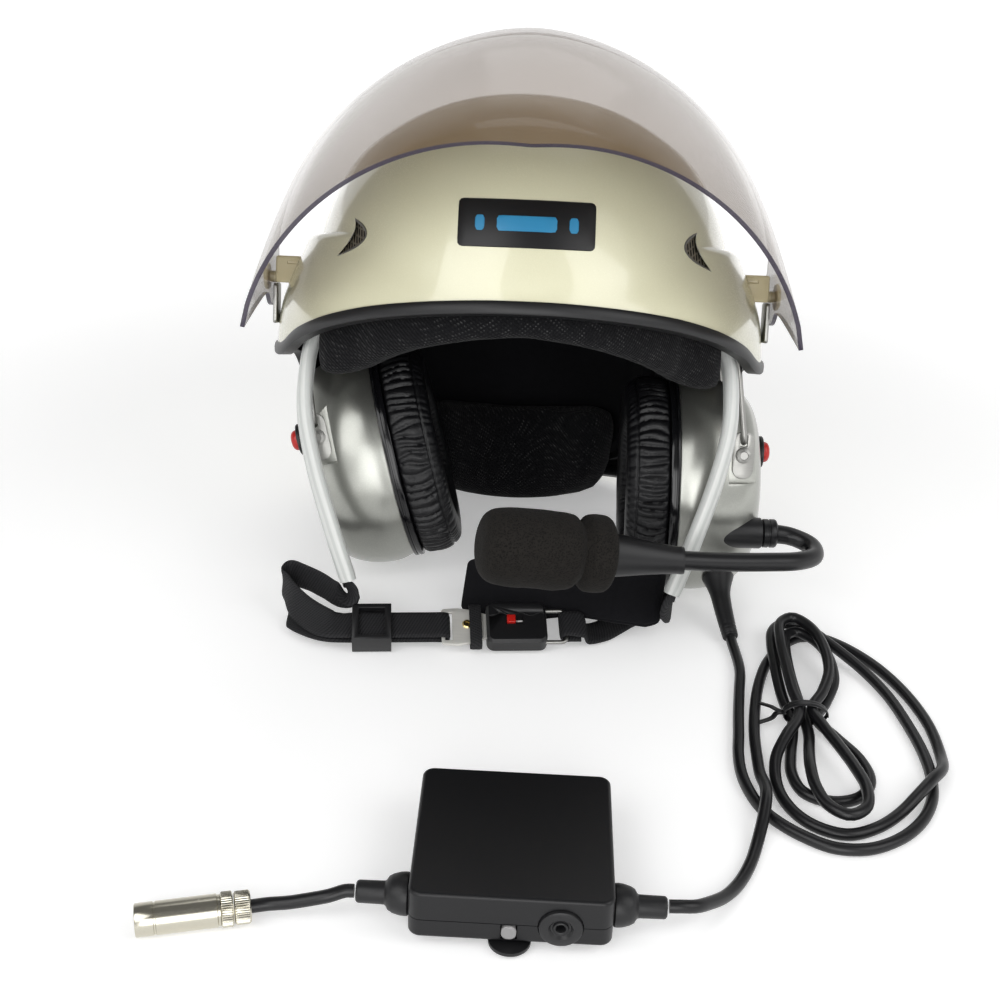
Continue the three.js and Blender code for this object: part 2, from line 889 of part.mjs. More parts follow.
/** The wire fork: along the hinge, down both sides of the cup, and in to its two pivots. */
function yokeWire(side) {
  const x = yoke.pivotOut - yoke.inset;
  const z = yoke.pivotRise - yoke.drop;
  const end = cup.flatFace - yoke.sunk;
  const points = [
    [x, -end, z],
    [x, -yoke.reach, z],
    [0, -yoke.reach, 0],
    [0, yoke.reach, 0],
    [x, yoke.reach, z],
    [x, end, z],
  ];
  return sided(sweep(bent(points, yoke.bend, 3), yoke.wire, 8), side);
}

const cupShares = [
  [1, 0], [1.035, 0.16], [1.03, 0.36], [0.99, 0.56], [0.9, 0.76], [0.74, 0.9], [0.42, 0.985], [0, 1],
];
const cupSegments = 24;

/** The cup's domed body along X, grown or shrunk all over, on a straight foot where one is given. */
function cupDome(grow, foot = 0) {
  const dome = cupShares.map(([r, h]) => [r, h * (cup.depth + grow)]);
  const profile = [[0, -foot], ...(foot > 0 ? [[1, -foot]] : []), ...dome];
  return revolve(profile, cupSegments)
    .scale(cup.halfHeight + grow, cup.halfWidth + grow, 1)
    .rotateY(Math.PI / 2)
    .translate(fit, 0, 0);
}

const backAndFront = (solid) => join(solid, solid.clone().scale(1, -1, 1));

function earCup() {
  const { flatFrom, flatLow, flatFace, wall } = cup;
  const flat = (grow) => block(flatFrom - grow, farAway, flatFace - grow, farAway, flatLow - grow, farAway);
  const hollow = cut(cupDome(-wall, overrun), backAndFront(flat(wall)));
  const wireBore = rodY(yoke.wire + runningFit, -farAway, farAway, yoke.pivotOut, yoke.pivotRise);
  const screwBore = rodY(
    bracket.shank + runningFit, -farAway, farAway, yoke.pivotOut, yoke.pivotRise - bracket.screwDrop);
  const buttonBore = rodX(button.hole, button.innerEnd, farAway, 0, button.rise, 18);
  return cut(cupDome(0), hollow, backAndFront(flat(0)), wireBore, screwBore, buttonBore);
}

const ringAcross = (shape, height, bevel, curveSegments) =>
  slab(shape, height, bevel, curveSegments).rotateY(Math.PI / 2);

function platePiece() {
  const { thickness, edge, openHalfWidth, openHalfHeight, bevel } = cupPlate;
  const shape = ellipseShape(cup.halfHeight + edge, cup.halfWidth + edge, openHalfHeight, openHalfWidth);
  return ringAcross(shape, thickness, bevel, cupSegments / 2).translate(-thickness, 0, 0);
}

function speakerPiece() {
  const { flangeExtra, flange, radius, depth } = speaker;
  const shape = ellipseShape(cupPlate.openHalfHeight + flangeExtra, cupPlate.openHalfWidth + flangeExtra);
  const plate = ringAcross(shape, flange, 0, cupSegments / 2).translate(fit, 0, 0);
  return join(plate, rodX(radius, fit + flange - depth, fit + depth, 0, 0, cupSegments));
}

const cushionShares = [
  [0.1, 0], [0.9, 0], [1, 0.2], [1.02, 0.5], [0.93, 0.82], [0.68, 1], [0.34, 0.99], [0.07, 0.8],
  [-0.02, 0.4],
];
const cushionStations = 40;
const pleatEvery = 4;

/** The padded ring round the ear, with small pleats drawn in round its inside. */
function cushionPiece() {
  const { thickness, halfWidth, halfHeight, openHalfWidth, openHalfHeight, pleat } = cushion;
  const start = -cupPlate.thickness - fit;
  const rings = Array.from({ length: cushionStations }, (_, i) => {
    const angle = (2 * Math.PI * i) / cushionStations;
    const fold = i % pleatEvery === 0 ? pleat : 0;
    return cushionShares.map(([across, deep]) => {
      const y = mix(openHalfWidth, halfWidth, across) * Math.cos(angle);
      const z = mix(openHalfHeight, halfHeight, across) * Math.sin(angle);
      const inner = Math.max(0, 1 - across - across);
      const shrink = 1 + (fold * inner * deep) / openHalfHeight;
      return new THREE.Vector3(start - deep * (thickness - fold * (1 - across)), y * shrink, z * shrink);
    });
  });
  return loft(rings, true);
}

function bracketPiece() {
  const { width, height, plate, shank, shankLength, head, headHeight, slotHeight, screwDrop } = bracket;
  const centre = yoke.pivotRise - screwDrop;
  const inner = cup.flatFace + fit;
  const outer = inner + plate;
  const slotHalf = yoke.wire + runningFit;
  const shape = roundedRectangle(width, height, width / 2 - fit);
  const body = slab(shape, plate).rotateX(Math.PI / 2).translate(yoke.pivotOut, -inner, centre);
  const slot = block(
    yoke.pivotOut - slotHalf, yoke.pivotOut + slotHalf, -farAway, 0,
    yoke.pivotRise - slotHalf, yoke.pivotRise - slotHalf + slotHeight);
  const screw = join(
    rodY(head, -outer - headHeight, -inner, yoke.pivotOut, centre, 12),
    rodY(shank, -outer, -inner + shankLength, yoke.pivotOut, centre, 10),
  );
  return join(cut(body, slot), screw);
}

function collarPiece() {
  const { rise, bore, shank, flange, flangeStart, flangeEnd, innerEnd, floor } = button;
  const body = join(
    rodX(shank, innerEnd, flangeEnd, 0, rise, 18),
    rodX(flange, flangeStart, flangeEnd, 0, rise, 18),
  );
  return cut(body, rodX(bore, innerEnd + floor, farAway, 0, rise, 18));
}

const buttonPiece = () => {
  const { rise, radius, capStart, capEnd, rounding } = button;
  const length = capEnd - capStart;
  const profile = [[0, 0], [radius, 0], [radius, length - rounding], [radius - rounding, length],
  [0, length]];
  return revolve(profile, 18).rotateY(Math.PI / 2).translate(capStart, 0, rise);
};

const cups = {};
for (const [side, word] of sides) {
  const frame = new THREE.Group();
  frame.position.set(side * yoke.hingeOut, yoke.hingeBack, yoke.hingeLevel);
  frame.rotation.y = side * (side > 0 ? yoke.swingRight : yoke.swingLeft);
  helmet.add(frame);
  const body = new THREE.Group();
  body.position.set(-side * yoke.inset, 0, -yoke.drop);
  frame.add(body);
  cups[word] = body;
  add(helmet, "yoke_mount_" + word, yokeBlock(side), "blackPlastic");
  add(frame, "yoke_wire_" + word, yokeWire(side), "steel");
  add(body, "ear_cup_" + word, sided(earCup(), side), "silver");
  add(body, "cup_plate_" + word, sided(platePiece(), side), "satinBlack");
  add(body, "speaker_" + word, sided(speakerPiece(), side), "satinBlack");
  add(body, "ear_cushion_" + word, sided(cushionPiece(), side), "leather");
  add(body, "cup_bracket_" + word, sided(bracketPiece(), side), "steel");
  add(body, "button_collar_" + word, sided(collarPiece(), side), "blackPlastic");
  add(body, "push_button_" + word, sided(buttonPiece(), side), "red");
}

// Boom microphone on the right cup

/** The boom's middle line from its hub, in the right cup's frame. */
const boomPath = [
  [50.4, -30, -22], [61, -30, -23.5], [70, -36, -27], [70, -47, -30.5], [60, -58, -31.5], [42, -66.5, -31],
  [18, -77, -29.6], [-6, -87, -27.5],
];

const micPath = [
  [-8.6, -88.2, -27.2], [-24, -92, -25.5], [-43, -97, -23.6],
];

function boomMount() {
  const outer = rodX(boom.mountRadius, boom.mountInner, boom.mountEnd, -boom.forward, -boom.lower, 16);
  const pin = rodX(boom.pin, boom.mountInner, boom.pinEnd, -boom.forward, -boom.lower, 16);
  return cut(join(outer, pin), cupDome(fit));
}

function boomPiece() {
  const hub = rodX(boom.hubRadius, boom.mountEnd + fit, boom.hubEnd, -boom.forward, -boom.lower, 16);
  const bore = rodX(boom.pin + runningFit, 0, boom.pinEnd + fit, -boom.forward, -boom.lower, 12);
  const path = new THREE.CatmullRomCurve3(boomPath.map(vector)).getPoints(boom.steps);
  return cut(join(hub, sweep(path, boom.tube, 9)), bore);
}

add(cups.right, "boom_mount", boomMount(), "blackPlastic");
add(cups.right, "mic_boom", boomPiece(), "rubber");

/** The microphone: a neck off the boom that widens to the capsule's collar, and the capsule itself. */
function micPiece() {
  const path = new THREE.CatmullRomCurve3(micPath.map(vector));
  const rings = Array.from({ length: mic.steps + 1 }, (_, i) => {
    const t = i / mic.steps;
    const middle = path.getPoint(t);
    const swell = THREE.MathUtils.smoothstep(t, mic.swellFrom, mic.swellTo);
    const halfDepth = mix(mic.smallRadius, mic.bigHalfDepth, swell);
    const halfHeight = mix(mic.smallRadius, mic.bigHalfHeight, swell);
    return ovalSection(halfDepth, halfHeight, 14).map(([a, b]) =>
      new THREE.Vector3(middle.x, middle.y + a, middle.z + b));
  });
  const beyond = block(-farAway, 0, -farAway, farAway, -farAway, farAway).applyMatrix4(micFrame(-mic.square));
  const capsule = new THREE.CylinderGeometry(mic.capsule, mic.capsule, mic.capsuleLength, 14).rotateZ(Math.PI / 2);
  return join(cut(loft(rings), beyond), capsule.applyMatrix4(micFrame(mic.capsuleLength / 2 - mic.square - fit)));
}

/** The microphone's axis from its collar end: X away from the boom towards the mouth, a distance along. */
function micFrame(distance) {
  const [fromX, fromY, fromZ] = micPath[1];
  const [x, y, z] = micPath[2];
  const way = new THREE.Vector3(x - fromX, y - fromY, z - fromZ).normalize();
  const turn = new THREE.Quaternion().setFromUnitVectors(new THREE.Vector3(-1, 0, 0), way);
  const place = new THREE.Vector3(x, y, z).addScaledVector(way, distance);
  return new THREE.Matrix4().compose(place, turn, new THREE.Vector3(1, 1, 1));
}

const foamShares = [
  [0, 0], [0.86, 0], [1, 0.03], [1, 0.19], [0.78, 0.22], [0.97, 0.27], [1, 0.36], [1, 0.8], [0.9, 0.92],
  [0.62, 0.985], [0, 1],
];

/** The foam windscreen: a collar, a drawn-in waist and a full round end, hollow over the capsule. */
function foamPiece() {
  const profile = foamShares.map(([r, h]) => [r * foam.radius, h * foam.length]);
  const body = revolve(profile, 20).rotateY(-Math.PI / 2);
  const hollow = rodX(foam.bore, -mic.capsuleLength - fit, overrun, 0, 0);
  return cut(body, hollow).applyMatrix4(micFrame(fit - mic.square));
}

add(cups.right, "mic_body", micPiece(), "blackPlastic");
add(cups.right, "mic_windscreen", foamPiece(), "foamBlack");

// Chin strap: sleeves down from the shell, webbing, slider, buckle and pad

/** Middle of the right sleeve in the head's frame; the left one is its mirror image. */
const sleevePath = [
  { at: [95.5, -33, -13.8], across: [0, 1, 0] },
  { at: [104.8, -36, -30], across: [0, 1, 0] },
  { at: [107.6, -40, -46], across: [0.1, 1, 0] },
  { at: [107.8, -43, -66], across: [0.3, 1, 0.1] },
  { at: [103, -44, -92], across: [0.5, 1, 0.1] },
  { at: [92, -45, -128], across: [0.7, 1, 0.1] },
  { at: [83, -46, -153], across: [0.8, 1, 0.1] },
];

for (const [side, word] of sides) {
  const tube = along(sleevePath, 12, ovalSection(sleeve.halfWidth, sleeve.halfDepth, 10));
  add(helmet, "strap_sleeve_" + word, sided(tube, side), "strapWhite");
}

const chainFrame = new THREE.Matrix4()
  .makeTranslation(chain.x, chain.y, chain.z)
  .multiply(new THREE.Matrix4().makeRotationZ(chain.yaw))
  .multiply(new THREE.Matrix4().makeRotationX(chain.lean));
const onTable = new THREE.Group();
part.add(onTable);

/** A knot of the strap given in the buckle's frame, placed on the table. */
const inChain = (x, y, z, across = [0, 1, 0]) => ({
  at: vector([x, y, z]).applyMatrix4(chainFrame).toArray(),
  across: vector(across).transformDirection(chainFrame).toArray(),
});

const addToChain = (name, geometry, look) => add(onTable, name, geometry.clone().applyMatrix4(chainFrame), look);

const layer = 2.2;
const tongueLeft = -buckle.length / 2 - tongue.length;
const fold = tongueLeft + tongue.bar + tongue.slotLength / 2;

/** The left strap from its sleeve, out to the side and back through the slider, round the tongue, to its tail. */
const leftStrap = [
  { at: [-82.85, -95.75, 28.5], across: [0.8, -0.97, 0.25] },
  { at: [-81.6, -97, 25.2], across: [0.8, -0.9, 0.4] },
  { at: [-83, -96.4, 21.4], across: [0.5, -0.6, 0.8] },
  { at: [-89, -92, 18.8], across: [0.2, -0.2, 1] },
  { at: [-98, -84.5, 19.4], across: [0, 0, 1] },
  { at: [-108, -78, 20], across: [0, 0, 1] },
  { at: [-115.5, -74.5, 19.6], across: [0, 0.1, 1] },
  { at: [-118.6, -78.5, 18.2], across: [0, 0.2, 1] },
  { at: [-115.6, -85.5, 16], across: [0, 0.3, 1] },
  { at: [-108, -96.5, 12.8], across: [0.1, 0.6, 0.8] },
  inChain(ladder.from - 13, 1.5, layer - 0.2, [0.05, 1, 0.15]),
  inChain(ladder.from - 6, 0, layer - 0.1),
  inChain(ladder.from, 0, layer),
  inChain(ladder.from + 12, 0, layer),
  inChain(ladder.from + 26, 0, layer),
  inChain(fold - 8, 0, layer),
  inChain(fold - 2.4, 0, layer),
  inChain(fold - 0.4, 0, 1.4),
  inChain(fold, 0, 0),
  inChain(fold - 0.4, 0, -1.4),
  inChain(fold - 2.4, 0, -layer),
  inChain(fold - 8, 0, -layer),
  inChain(ladder.from + 26, 0, -layer),
  inChain(ladder.from + 12, 0, -layer),
  inChain(ladder.from, 0, -layer),
  inChain(ladder.from - 10, 0.3, -layer - 0.4, [0, 1, -0.1]),
  { at: [-106, -100, 4.6], across: [0.5, 0.85, 0] },
  { at: [-115, -88, 3.4], across: [0.7, 0.7, 0] },
];
const tailShare = 0.03;

add(
  onTable,
  "chin_webbing_left",
  along(leftStrap, 58, strapSection(webbing.width, webbing.thickness), (t) =>
    Math.min(1, 0.45 + t * 12, 0.1 + (1 - t) / tailShare)),
  "webbingBlack",
);

function ladderPiece() {
  const half = ladder.width / 2;
  const { length, bar, rail, thickness, from } = ladder;
  const outer = layer + webbing.thickness / 2 + fit + fit;
  const top = outer + thickness;
  const bars = [
    block(from, from + bar, -half, half, outer, top),
    block(from + length - bar, from + length, -half, half, outer, top),
    block(from + (length - bar) / 2, from + (length + bar) / 2, -half, half, -top, -outer),
  ];
  const rails = [-1, 1].map((way) => {
    const edge = way * (half - rail / 2);
    return block(from, from + length, edge - rail / 2, edge + rail / 2, -top, top);
  });
  return join(...bars, ...rails);
}

function tonguePiece() {
  const { length, width, plate, bladeLength, bladeWidth, bar, slotLength, slotWidth } = tongue;
  const right = -buckle.length / 2;
  const left = tongueLeft;
  const shape = new THREE.Shape();
  shape.moveTo(right + bladeLength, bladeWidth / 2 - plate);
  shape.lineTo(right + bladeLength - plate, bladeWidth / 2);
  shape.lineTo(right, bladeWidth / 2);
  shape.quadraticCurveTo(right - length / 2, width / 2 + plate, left + bar, width / 2);
  shape.quadraticCurveTo(left, width / 2, left, width / 2 - bar);
  shape.lineTo(left, bar - width / 2);
  shape.quadraticCurveTo(left, -width / 2, left + bar, -width / 2);
  shape.quadraticCurveTo(right - length / 2, -width / 2 - plate, right, -bladeWidth / 2);
  shape.lineTo(right + bladeLength - plate, -bladeWidth / 2);
  shape.lineTo(right + bladeLength, plate - bladeWidth / 2);
  const slot = new THREE.Path();
  const x = left + bar;
  slot.moveTo(x, -slotWidth / 2).lineTo(x, slotWidth / 2);
  slot.lineTo(x + slotLength, slotWidth / 2).lineTo(x + slotLength, -slotWidth / 2);
  shape.holes.push(slot);
  return slab(shape, plate).translate(0, 0, -plate / 2);
}

function bucklePiece() {
  const { length, depth, height, corner, bevel, mouthWidth, mouthHeight, mouthDepth } = buckle;
  const body = slab(roundedRectangle(length, depth, corner), height, bevel).translate(0, 0, -height / 2);
  const left = -length / 2;
  const mouth = block(left - overrun, left + mouthDepth, -mouthWidth / 2, mouthWidth / 2, -mouthHeight / 2, mouthHeight / 2);
  const loopHole = (y) => rodX(wireLoop.wire + fit, length / 2 - wireLoop.sunk - fit, length, y, 0, 12);
  const trackLeft = left + tab.left - fit;
  const track = block(
    trackLeft, trackLeft + tab.slotLength, tab.back - tab.depth / 2 - fit, tab.back + tab.depth / 2 + fit,
    height / 2 - tab.slotDepth, height);
  return cut(body, mouth, track, loopHole(wireLoop.width / 2), loopHole(-wireLoop.width / 2));
}

/** The release tab, which stands in a track on the buckle's face. */
function tabPiece() {
  const left = tab.left - buckle.length / 2;
  const floor = buckle.height / 2 - tab.slotDepth + fit;
  return block(
    left, left + tab.length, tab.back - tab.depth / 2, tab.back + tab.depth / 2, floor, buckle.height / 2 + tab.proud);
}

function wireLoopPiece() {
  const start = buckle.length / 2 - wireLoop.sunk;
  const end = buckle.length / 2 + wireLoop.length;
  const half = wireLoop.width / 2;
  return sweep(bent([[start, -half, 0], [end, -half, 0], [end, half, 0],
  [start, half, 0]], 3), wireLoop.wire, 8);
}

addToChain("ladder_lock", ladderPiece(), "blackPlastic");
addToChain("buckle_tongue", tonguePiece(), "steel");
addToChain("buckle_body", bucklePiece(), "blackPlastic");
addToChain("release_tab", tabPiece(), "red");
addToChain("buckle_wire_loop", wireLoopPiece(), "steel");

const ring = buckle.length / 2 + wireLoop.length;
const wrap = wireLoop.wire + fit + fit + webbing.thickness / 2;

/** The right strap: looped round the wire, under the pad, then up to the right sleeve. */
const rightStrap = [
  inChain(ring + 8, 0, -wrap),
  inChain(ring + 3, 0, -wrap),
  inChain(ring - 0.4, 0, -wrap),
  inChain(ring - wrap, 0, 0),
  inChain(ring - 0.4, 0, wrap),
  inChain(ring + 3, 0, wrap),
  inChain(ring + 9, 0, 0.8),
  { at: [41, -98, 5.4], across: [0, 1, 0.02] },
  { at: [50, -92.4, 3.8], across: [0, 0.98, 0.15] },
  { at: [62, -84.4, 9], across: [0, 0.77, 0.64] },
  { at: [74, -82.4, 13.4], across: [0, 0.77, 0.64] },
  { at: [81.4, -83.6, 15.4], across: [0, 0.7, 0.7] },
  { at: [84, -87.8, 17], across: [0.05, 0.5, 0.85] },
  { at: [82.4, -94, 19.6], across: [0.25, 0.6, 0.7] },
  { at: [81.4, -97.3, 24.6], across: [0.6, 0.9, 0.1] },
  { at: [82.85, -95.75, 28.5], across: [0.8, 0.97, -0.25] },
];

add(
  onTable,
  "chin_webbing_right",
  along(rightStrap, 36, strapSection(webbing.width, webbing.thickness), (t) => Math.min(1, 0.45 + (1 - t) * 8)),
  "webbingBlack",
);

const padLine = [
  { at: [-24, -70, 14.6], across: [0, 0.77, 0.64] },
  { at: [5, -74, 15], across: [0, 0.77, 0.64] },
  { at: [34, -76, 20], across: [0, 0.77, 0.64] },
  { at: [60, -82.6, 21.2], across: [0, 0.77, 0.64] },
  { at: [80, -86, 21], across: [0, 0.77, 0.64] },
];
const padShares = [
  [1, 0], [0.93, 0.34], [0.75, 0.5], [0, 0.53], [-0.75, 0.5], [-0.93, 0.34], [-1, 0],
  [-0.93, -0.34], [-0.75, -0.5], [0, -0.5], [0.75, -0.5], [0.93, -0.34],
];
const padSteps = 16;
const padEndShare = 0.06;

add(
  onTable,
  "chin_pad",
  along(
    padLine,
    padSteps,
    padShares.map(([a, b]) => [(a * pad.width) / 2, b * pad.thickness]),
    (t) => Math.min(1, 0.72 + Math.min(t, 1 - t) / padEndShare),
  ),
  "cloth",
);

// Main cable: relief at the cup, a free stretch, the tied hank, and the stretch to the box

const reliefPath = [
  [111, -63.5, 21.5], [112, -74, 15.8], [114, -84.5, 9.4], [115.5, -92, 5.6], [116, -95, 4.5],
];
const reliefShares = [1, 0.78, 0.63, 0.58, 0.55, 0.53, 0.52, 0.5, 0.49, 0.48];

function reliefPiece() {
  const path = new THREE.CatmullRomCurve3(reliefPath.map(vector));
  const points = path.getPoints(reliefShares.length - 1);
  const up = new THREE.Vector3(0, 0, 1);
  const rings = points.map((p, i) => {
    const tangent = path.getTangent(i / (reliefShares.length - 1));
    const across = new THREE.Vector3().crossVectors(tangent, up).normalize();
    const other = new THREE.Vector3().crossVectors(tangent, across);
    return ovalSection(relief.base * reliefShares[i], relief.base * reliefShares[i], 14).map(([a, b]) =>
      p.clone().addScaledVector(across, a).addScaledVector(other, b));
  });
  return loft(rings);
}

/** Points of the free stretch from the relief to the hank. */
const leadPath = [
  [116.1, -96.2, 4.2], [116.4, -99.5, 3.5], [117.2, -107, 2.9], [117.6, -123, 2.9],
  [115, -142, 2.9], [112.5, -160, 2.9],
  [110.5, -177, 2.9], [108.5, -193, 2.9], [108.3, -207, 2.9], [110.5, -220, 2.9],
  [114.5, -231, 2.9], [120.5, -239.5, 2.9],
  [130, -248, 2.9], [142, -254.5, 2.9], [157, -254.5, 2.9], [172, -247, 2.9], [184, -235, 2.9],
  [192, -220, 2.9],
  [195.5, -204, 2.9], [196, -187, 2.9], [194, -167, 2.9], [188.5, -140, 3.2], [179.5, -120, 4.6],
  [169.5, -106, 6.6],
  [163.3, -98.9, 8],
];

/** Where the hank's strands go, as [x, y, z]: rising to the top loop, each lower loop, each upper loop. */
const hankTop = [
  [163.1, -98.6, 8.1], [161, -96.2, 8.6], [156, -91, 9.1], [149.5, -87, 9.2], [142, -88.5, 9.2],
  [137, -95.5, 9.2], [135, -107, 9.2],
  [134.6, -120, 8.2], [134.8, -135, 5.6], [135.8, -150, 3.6],
];
const waist = { y: -162, x: 144, gap: 6, low: 3, high: 8.9 };
const lowerLoops = [
  [
    [136.3, -175, 3], [133, -191, 3], [131.4, -206, 3], [135, -218.5, 3], [146.5, -224, 3],
    [159, -220.5, 3],
    [166.5, -209, 3], [165, -193, 3], [157, -177, 3],
  ],
  [
    [143.8, -176, 3.6], [141, -192, 6.5], [138.8, -207, 9.2], [138.8, -222, 9.6],
    [142.5, -234.5, 9.4], [150.5, -240, 9.2],
    [158.6, -235, 9.4], [161.4, -222, 9.7], [159, -207, 9.6], [155, -192, 9.3], [150.2, -176, 9],
  ],
];
const upperLoops = [
  [
    [156.5, -149, 3.6], [163, -133, 6], [162.2, -114, 9], [157, -101, 9.2], [149.5, -94.6, 9.2],
    [143.6, -99, 9.2],
    [141.6, -112, 8.6], [141.8, -130, 5.6], [143.2, -149, 3.4],
  ],
  [
    [154, -149, 10], [159.6, -133, 12.2], [159, -113, 15.2], [154.4, -97.5, 15.4],
    [147.5, -90.6, 15.4], [140.6, -96, 15.4],
    [138.3, -112, 15], [138.6, -130, 12.6], [139.8, -149, 9.6],
  ],
];
const hankLeave = [
  [137.6, -173, 9.2], [131.4, -184, 9.2], [125, -197, 5.6], [123.4, -211, 3], [125, -224, 2.9],
  [131, -236, 2.9],
  [139.5, -243, 2.9], [150, -245.6, 2.9], [163, -240.5, 2.9], [175.5, -230.5, 3.6],
  [185.5, -221, 7.4], [193, -212.6, 9.1],
  [200, -202.5, 7.2], [203.4, -189, 3.6], [203.6, -163, 2.9], [197.5, -136, 2.9],
  [187.5, -114, 2.9], [175.5, -98.5, 2.9],
  [166, -91, 2.9], [161.5, -89, 2.9], [157.4, -88.8, 2.9],
];

/** Points of the stretch from the hank to the box. */
const tailPath = [
  [155.4, -89.2, 2.9], [152, -90.4, 2.9], [147, -94, 2.9], [139.6, -103, 2.9], [131.6, -117, 2.9],
  [125, -137, 2.9],
  [120.6, -158, 2.9], [118, -177, 2.9], [117, -194, 2.9], [116.6, -207, 3.6], [116.8, -220, 7],
  [115.4, -231, 9], [112.6, -243, 7],
  [108.8, -255, 3.4], [104.5, -267, 2.9], [98.5, -279, 3.2], [91.5, -289.5, 5.4],
  [83.5, -298.6, 9.6], [76.8, -304.6, 13],
  [71.4, -306, 14], [66.3, -306.2, 14],
];

const cordSteps = { lead: 34, tail: 30, hank: 142, link: 10 };

/** The whole hank: over the top, then each lower loop and the upper loop after it, and out to the side. */
function hankPoints() {
  const passes = [
    [-waist.gap, waist.low], [waist.gap, waist.low], [0, waist.low],
    [waist.gap / 2, waist.high], [-waist.gap / 2, waist.high],
  ].map(([x, z]) => [waist.x + x, waist.y, z]);
  const points = [...hankTop, passes[0]];
  for (let turn = 0; turn < lowerLoops.length; turn++) {
    points.push(...lowerLoops[turn], passes[turn + turn + 1], ...upperLoops[turn], passes[turn + turn + 2]);
  }
  return [...points, ...hankLeave];
}

/** Close points at even steps along a smooth curve. */
const evenly = (points, steps) => new THREE.CatmullRomCurve3(points.map(vector)).getSpacedPoints(steps);

/** The least free gap between stretches of one cord that aren't neighbours along it. */
function leastGap(points, radius, apart) {
  const lengths = [0];
  for (let i = 1; i < points.length; i++) lengths.push(lengths[i - 1] + points[i].distanceTo(points[i - 1]));
  let least = Infinity;
  const segment = new THREE.Line3();
  const near = new THREE.Vector3();
  for (let i = 0; i < points.length; i++)
    for (let j = i + 1; j < points.length; j++) {
      if (lengths[j - 1] - lengths[i] < apart) continue;
      segment.set(points[j - 1], points[j]);
      segment.closestPointToPoint(points[i], true, near);
      least = Math.min(least, near.distanceTo(points[i]) - radius - radius);
    }
  return least;
}

const hankLine = evenly(hankPoints(), cordSteps.hank);
const apart = hank.radius * 6;
console.log("least gap of the hank to itself", leastGap(hankLine, hank.radius, apart).toFixed(2), "mm");

add(onTable, "cable_strain_relief", reliefPiece(), "rubber");
add(onTable, "main_cable_lead", sweep(evenly(leadPath, cordSteps.lead), cable.radius, cable.sides), "rubber");
add(onTable, "main_cable_coil", sweep(hankLine, hank.radius, hank.sides), "rubber");
add(onTable, "main_cable_tail", sweep(evenly(tailPath, cordSteps.tail), cable.radius, cable.sides), "rubber");

// Control box

const boxGroup = new THREE.Group();
boxGroup.position.set(box.x, box.y, box.floorGap);
boxGroup.rotation.z = box.yaw;
onTable.add(boxGroup);

const front = -box.depth / 2;
const split = box.baseHeight;
const lightX = light.fromLeft - box.width / 2;
const socketX = box.width / 2 - socket.fromRight;
const glandY = front + gland.fromFront;

/** One half of the box: a tray with rounded edges, its open side on the parting line. */
function trayPiece(height) {
  const { width, depth, corner, bevel, wall } = box;
  const full = slab(roundedRectangle(width, depth, corner), height + height, bevel);
  const inner = roundedRectangle(width - wall - wall, depth - wall - wall, corner - wall);
  const kept = block(-width, width, -depth, depth, 0, height);
  return cut(common(full, kept), slab(inner, height + height).translate(0, 0, wall));
}

function openingsOf() {
  return [
    rodY(socket.radius + fit, -farAway, 0, socketX, split, 18),
    rodX(gland.neck + fit, -farAway, farAway, glandY, split, 16),
  ];
}

function lidPiece() {
  const lid = trayPiece(box.lidHeight).rotateX(Math.PI).translate(0, 0, split + box.lidHeight + fit / 2);
  return cut(lid, ...openingsOf());
}

function basePiece() {
  const tray = trayPiece(box.baseHeight - fit / 2);
  const window = block(
    lightX - light.width / 2 - fit, lightX + light.width / 2 + fit, -farAway, 0,
    light.level - light.height / 2 - fit, light.level + light.height / 2 + fit);
  const gapSide = clip.width / 2 + fit;
  const lugs = [-1, 1].map((way) => {
    const inner = way * (gapSide);
    const outer = way * (gapSide + clip.lug);
    const halfDepth = clip.lugDepth / 2;
    return block(
      Math.min(inner, outer), Math.max(inner, outer), clipHinge - halfDepth, clipHinge + halfDepth,
      clipLevel - clip.lugDrop, box.wall);
  });
  const bore = rodX(clip.pin + runningFit, -farAway, farAway, clipHinge, clipLevel, 12);
  return cut(join(cut(tray, window, ...openingsOf()), ...lugs.map((lug) => cut(lug, bore))));
}

const clipLevel = -box.floorGap / 2;
const clipFront = front - clip.over;
const clipHinge = clipFront + clip.length;

/** The belt clip: a springy plate hinged under the base, with a bump at its free end that touches the table. */
function clipPiece() {
  const { width, thickness, barrel, pin, pinLength } = clip;
  const shape = new THREE.Shape();
  const half = width / 2;
  shape.moveTo(half, clipHinge);
  shape.lineTo(-half, clipHinge);
  shape.lineTo(-half, clipFront + half);
  shape.absarc(0, clipFront + half, half, Math.PI, 2 * Math.PI);
  const plate = slab(shape, thickness, 0, 8).translate(0, 0, clipLevel - thickness / 2);
  const bump = new THREE.CylinderGeometry(half * clip.bumpShare, half * clip.bumpEndShare, clip.bump, 16)
    .rotateX(Math.PI / 2)
    .rotateX(Math.PI)
    .translate(0, clipFront + half, clipLevel - clip.bump / 2);
  return join(
    plate,
    bump,
    rodX(barrel, -half, half, clipHinge, clipLevel, 12),
    rodX(pin, -half - pinLength, half + pinLength, clipHinge, clipLevel, 10),
  );
}

function boardPiece() {
  const { width, depth, thickness, standoff, partHeight } = board;
  const level = box.wall + fit + standoff;
  const plate = block(-width / 2, width / 2, -depth / 2, depth / 2, level, level + thickness);
  const parts = boardShares.map(([x, y, w, d]) =>
    block(x * width, (x + w) * width, y * depth, (y + d) * depth, level, level + thickness + partHeight),
  );
  const feet = [-1, 1].flatMap((a) =>
    [-1, 1].map((b) => rodZ(standoff, box.wall + fit, level + thickness / 2, (a * width) / 2.4, (b * depth) / 2.4, 10)),
  );
  return join(plate, ...parts, ...feet).translate(0, board.back, 0);
}

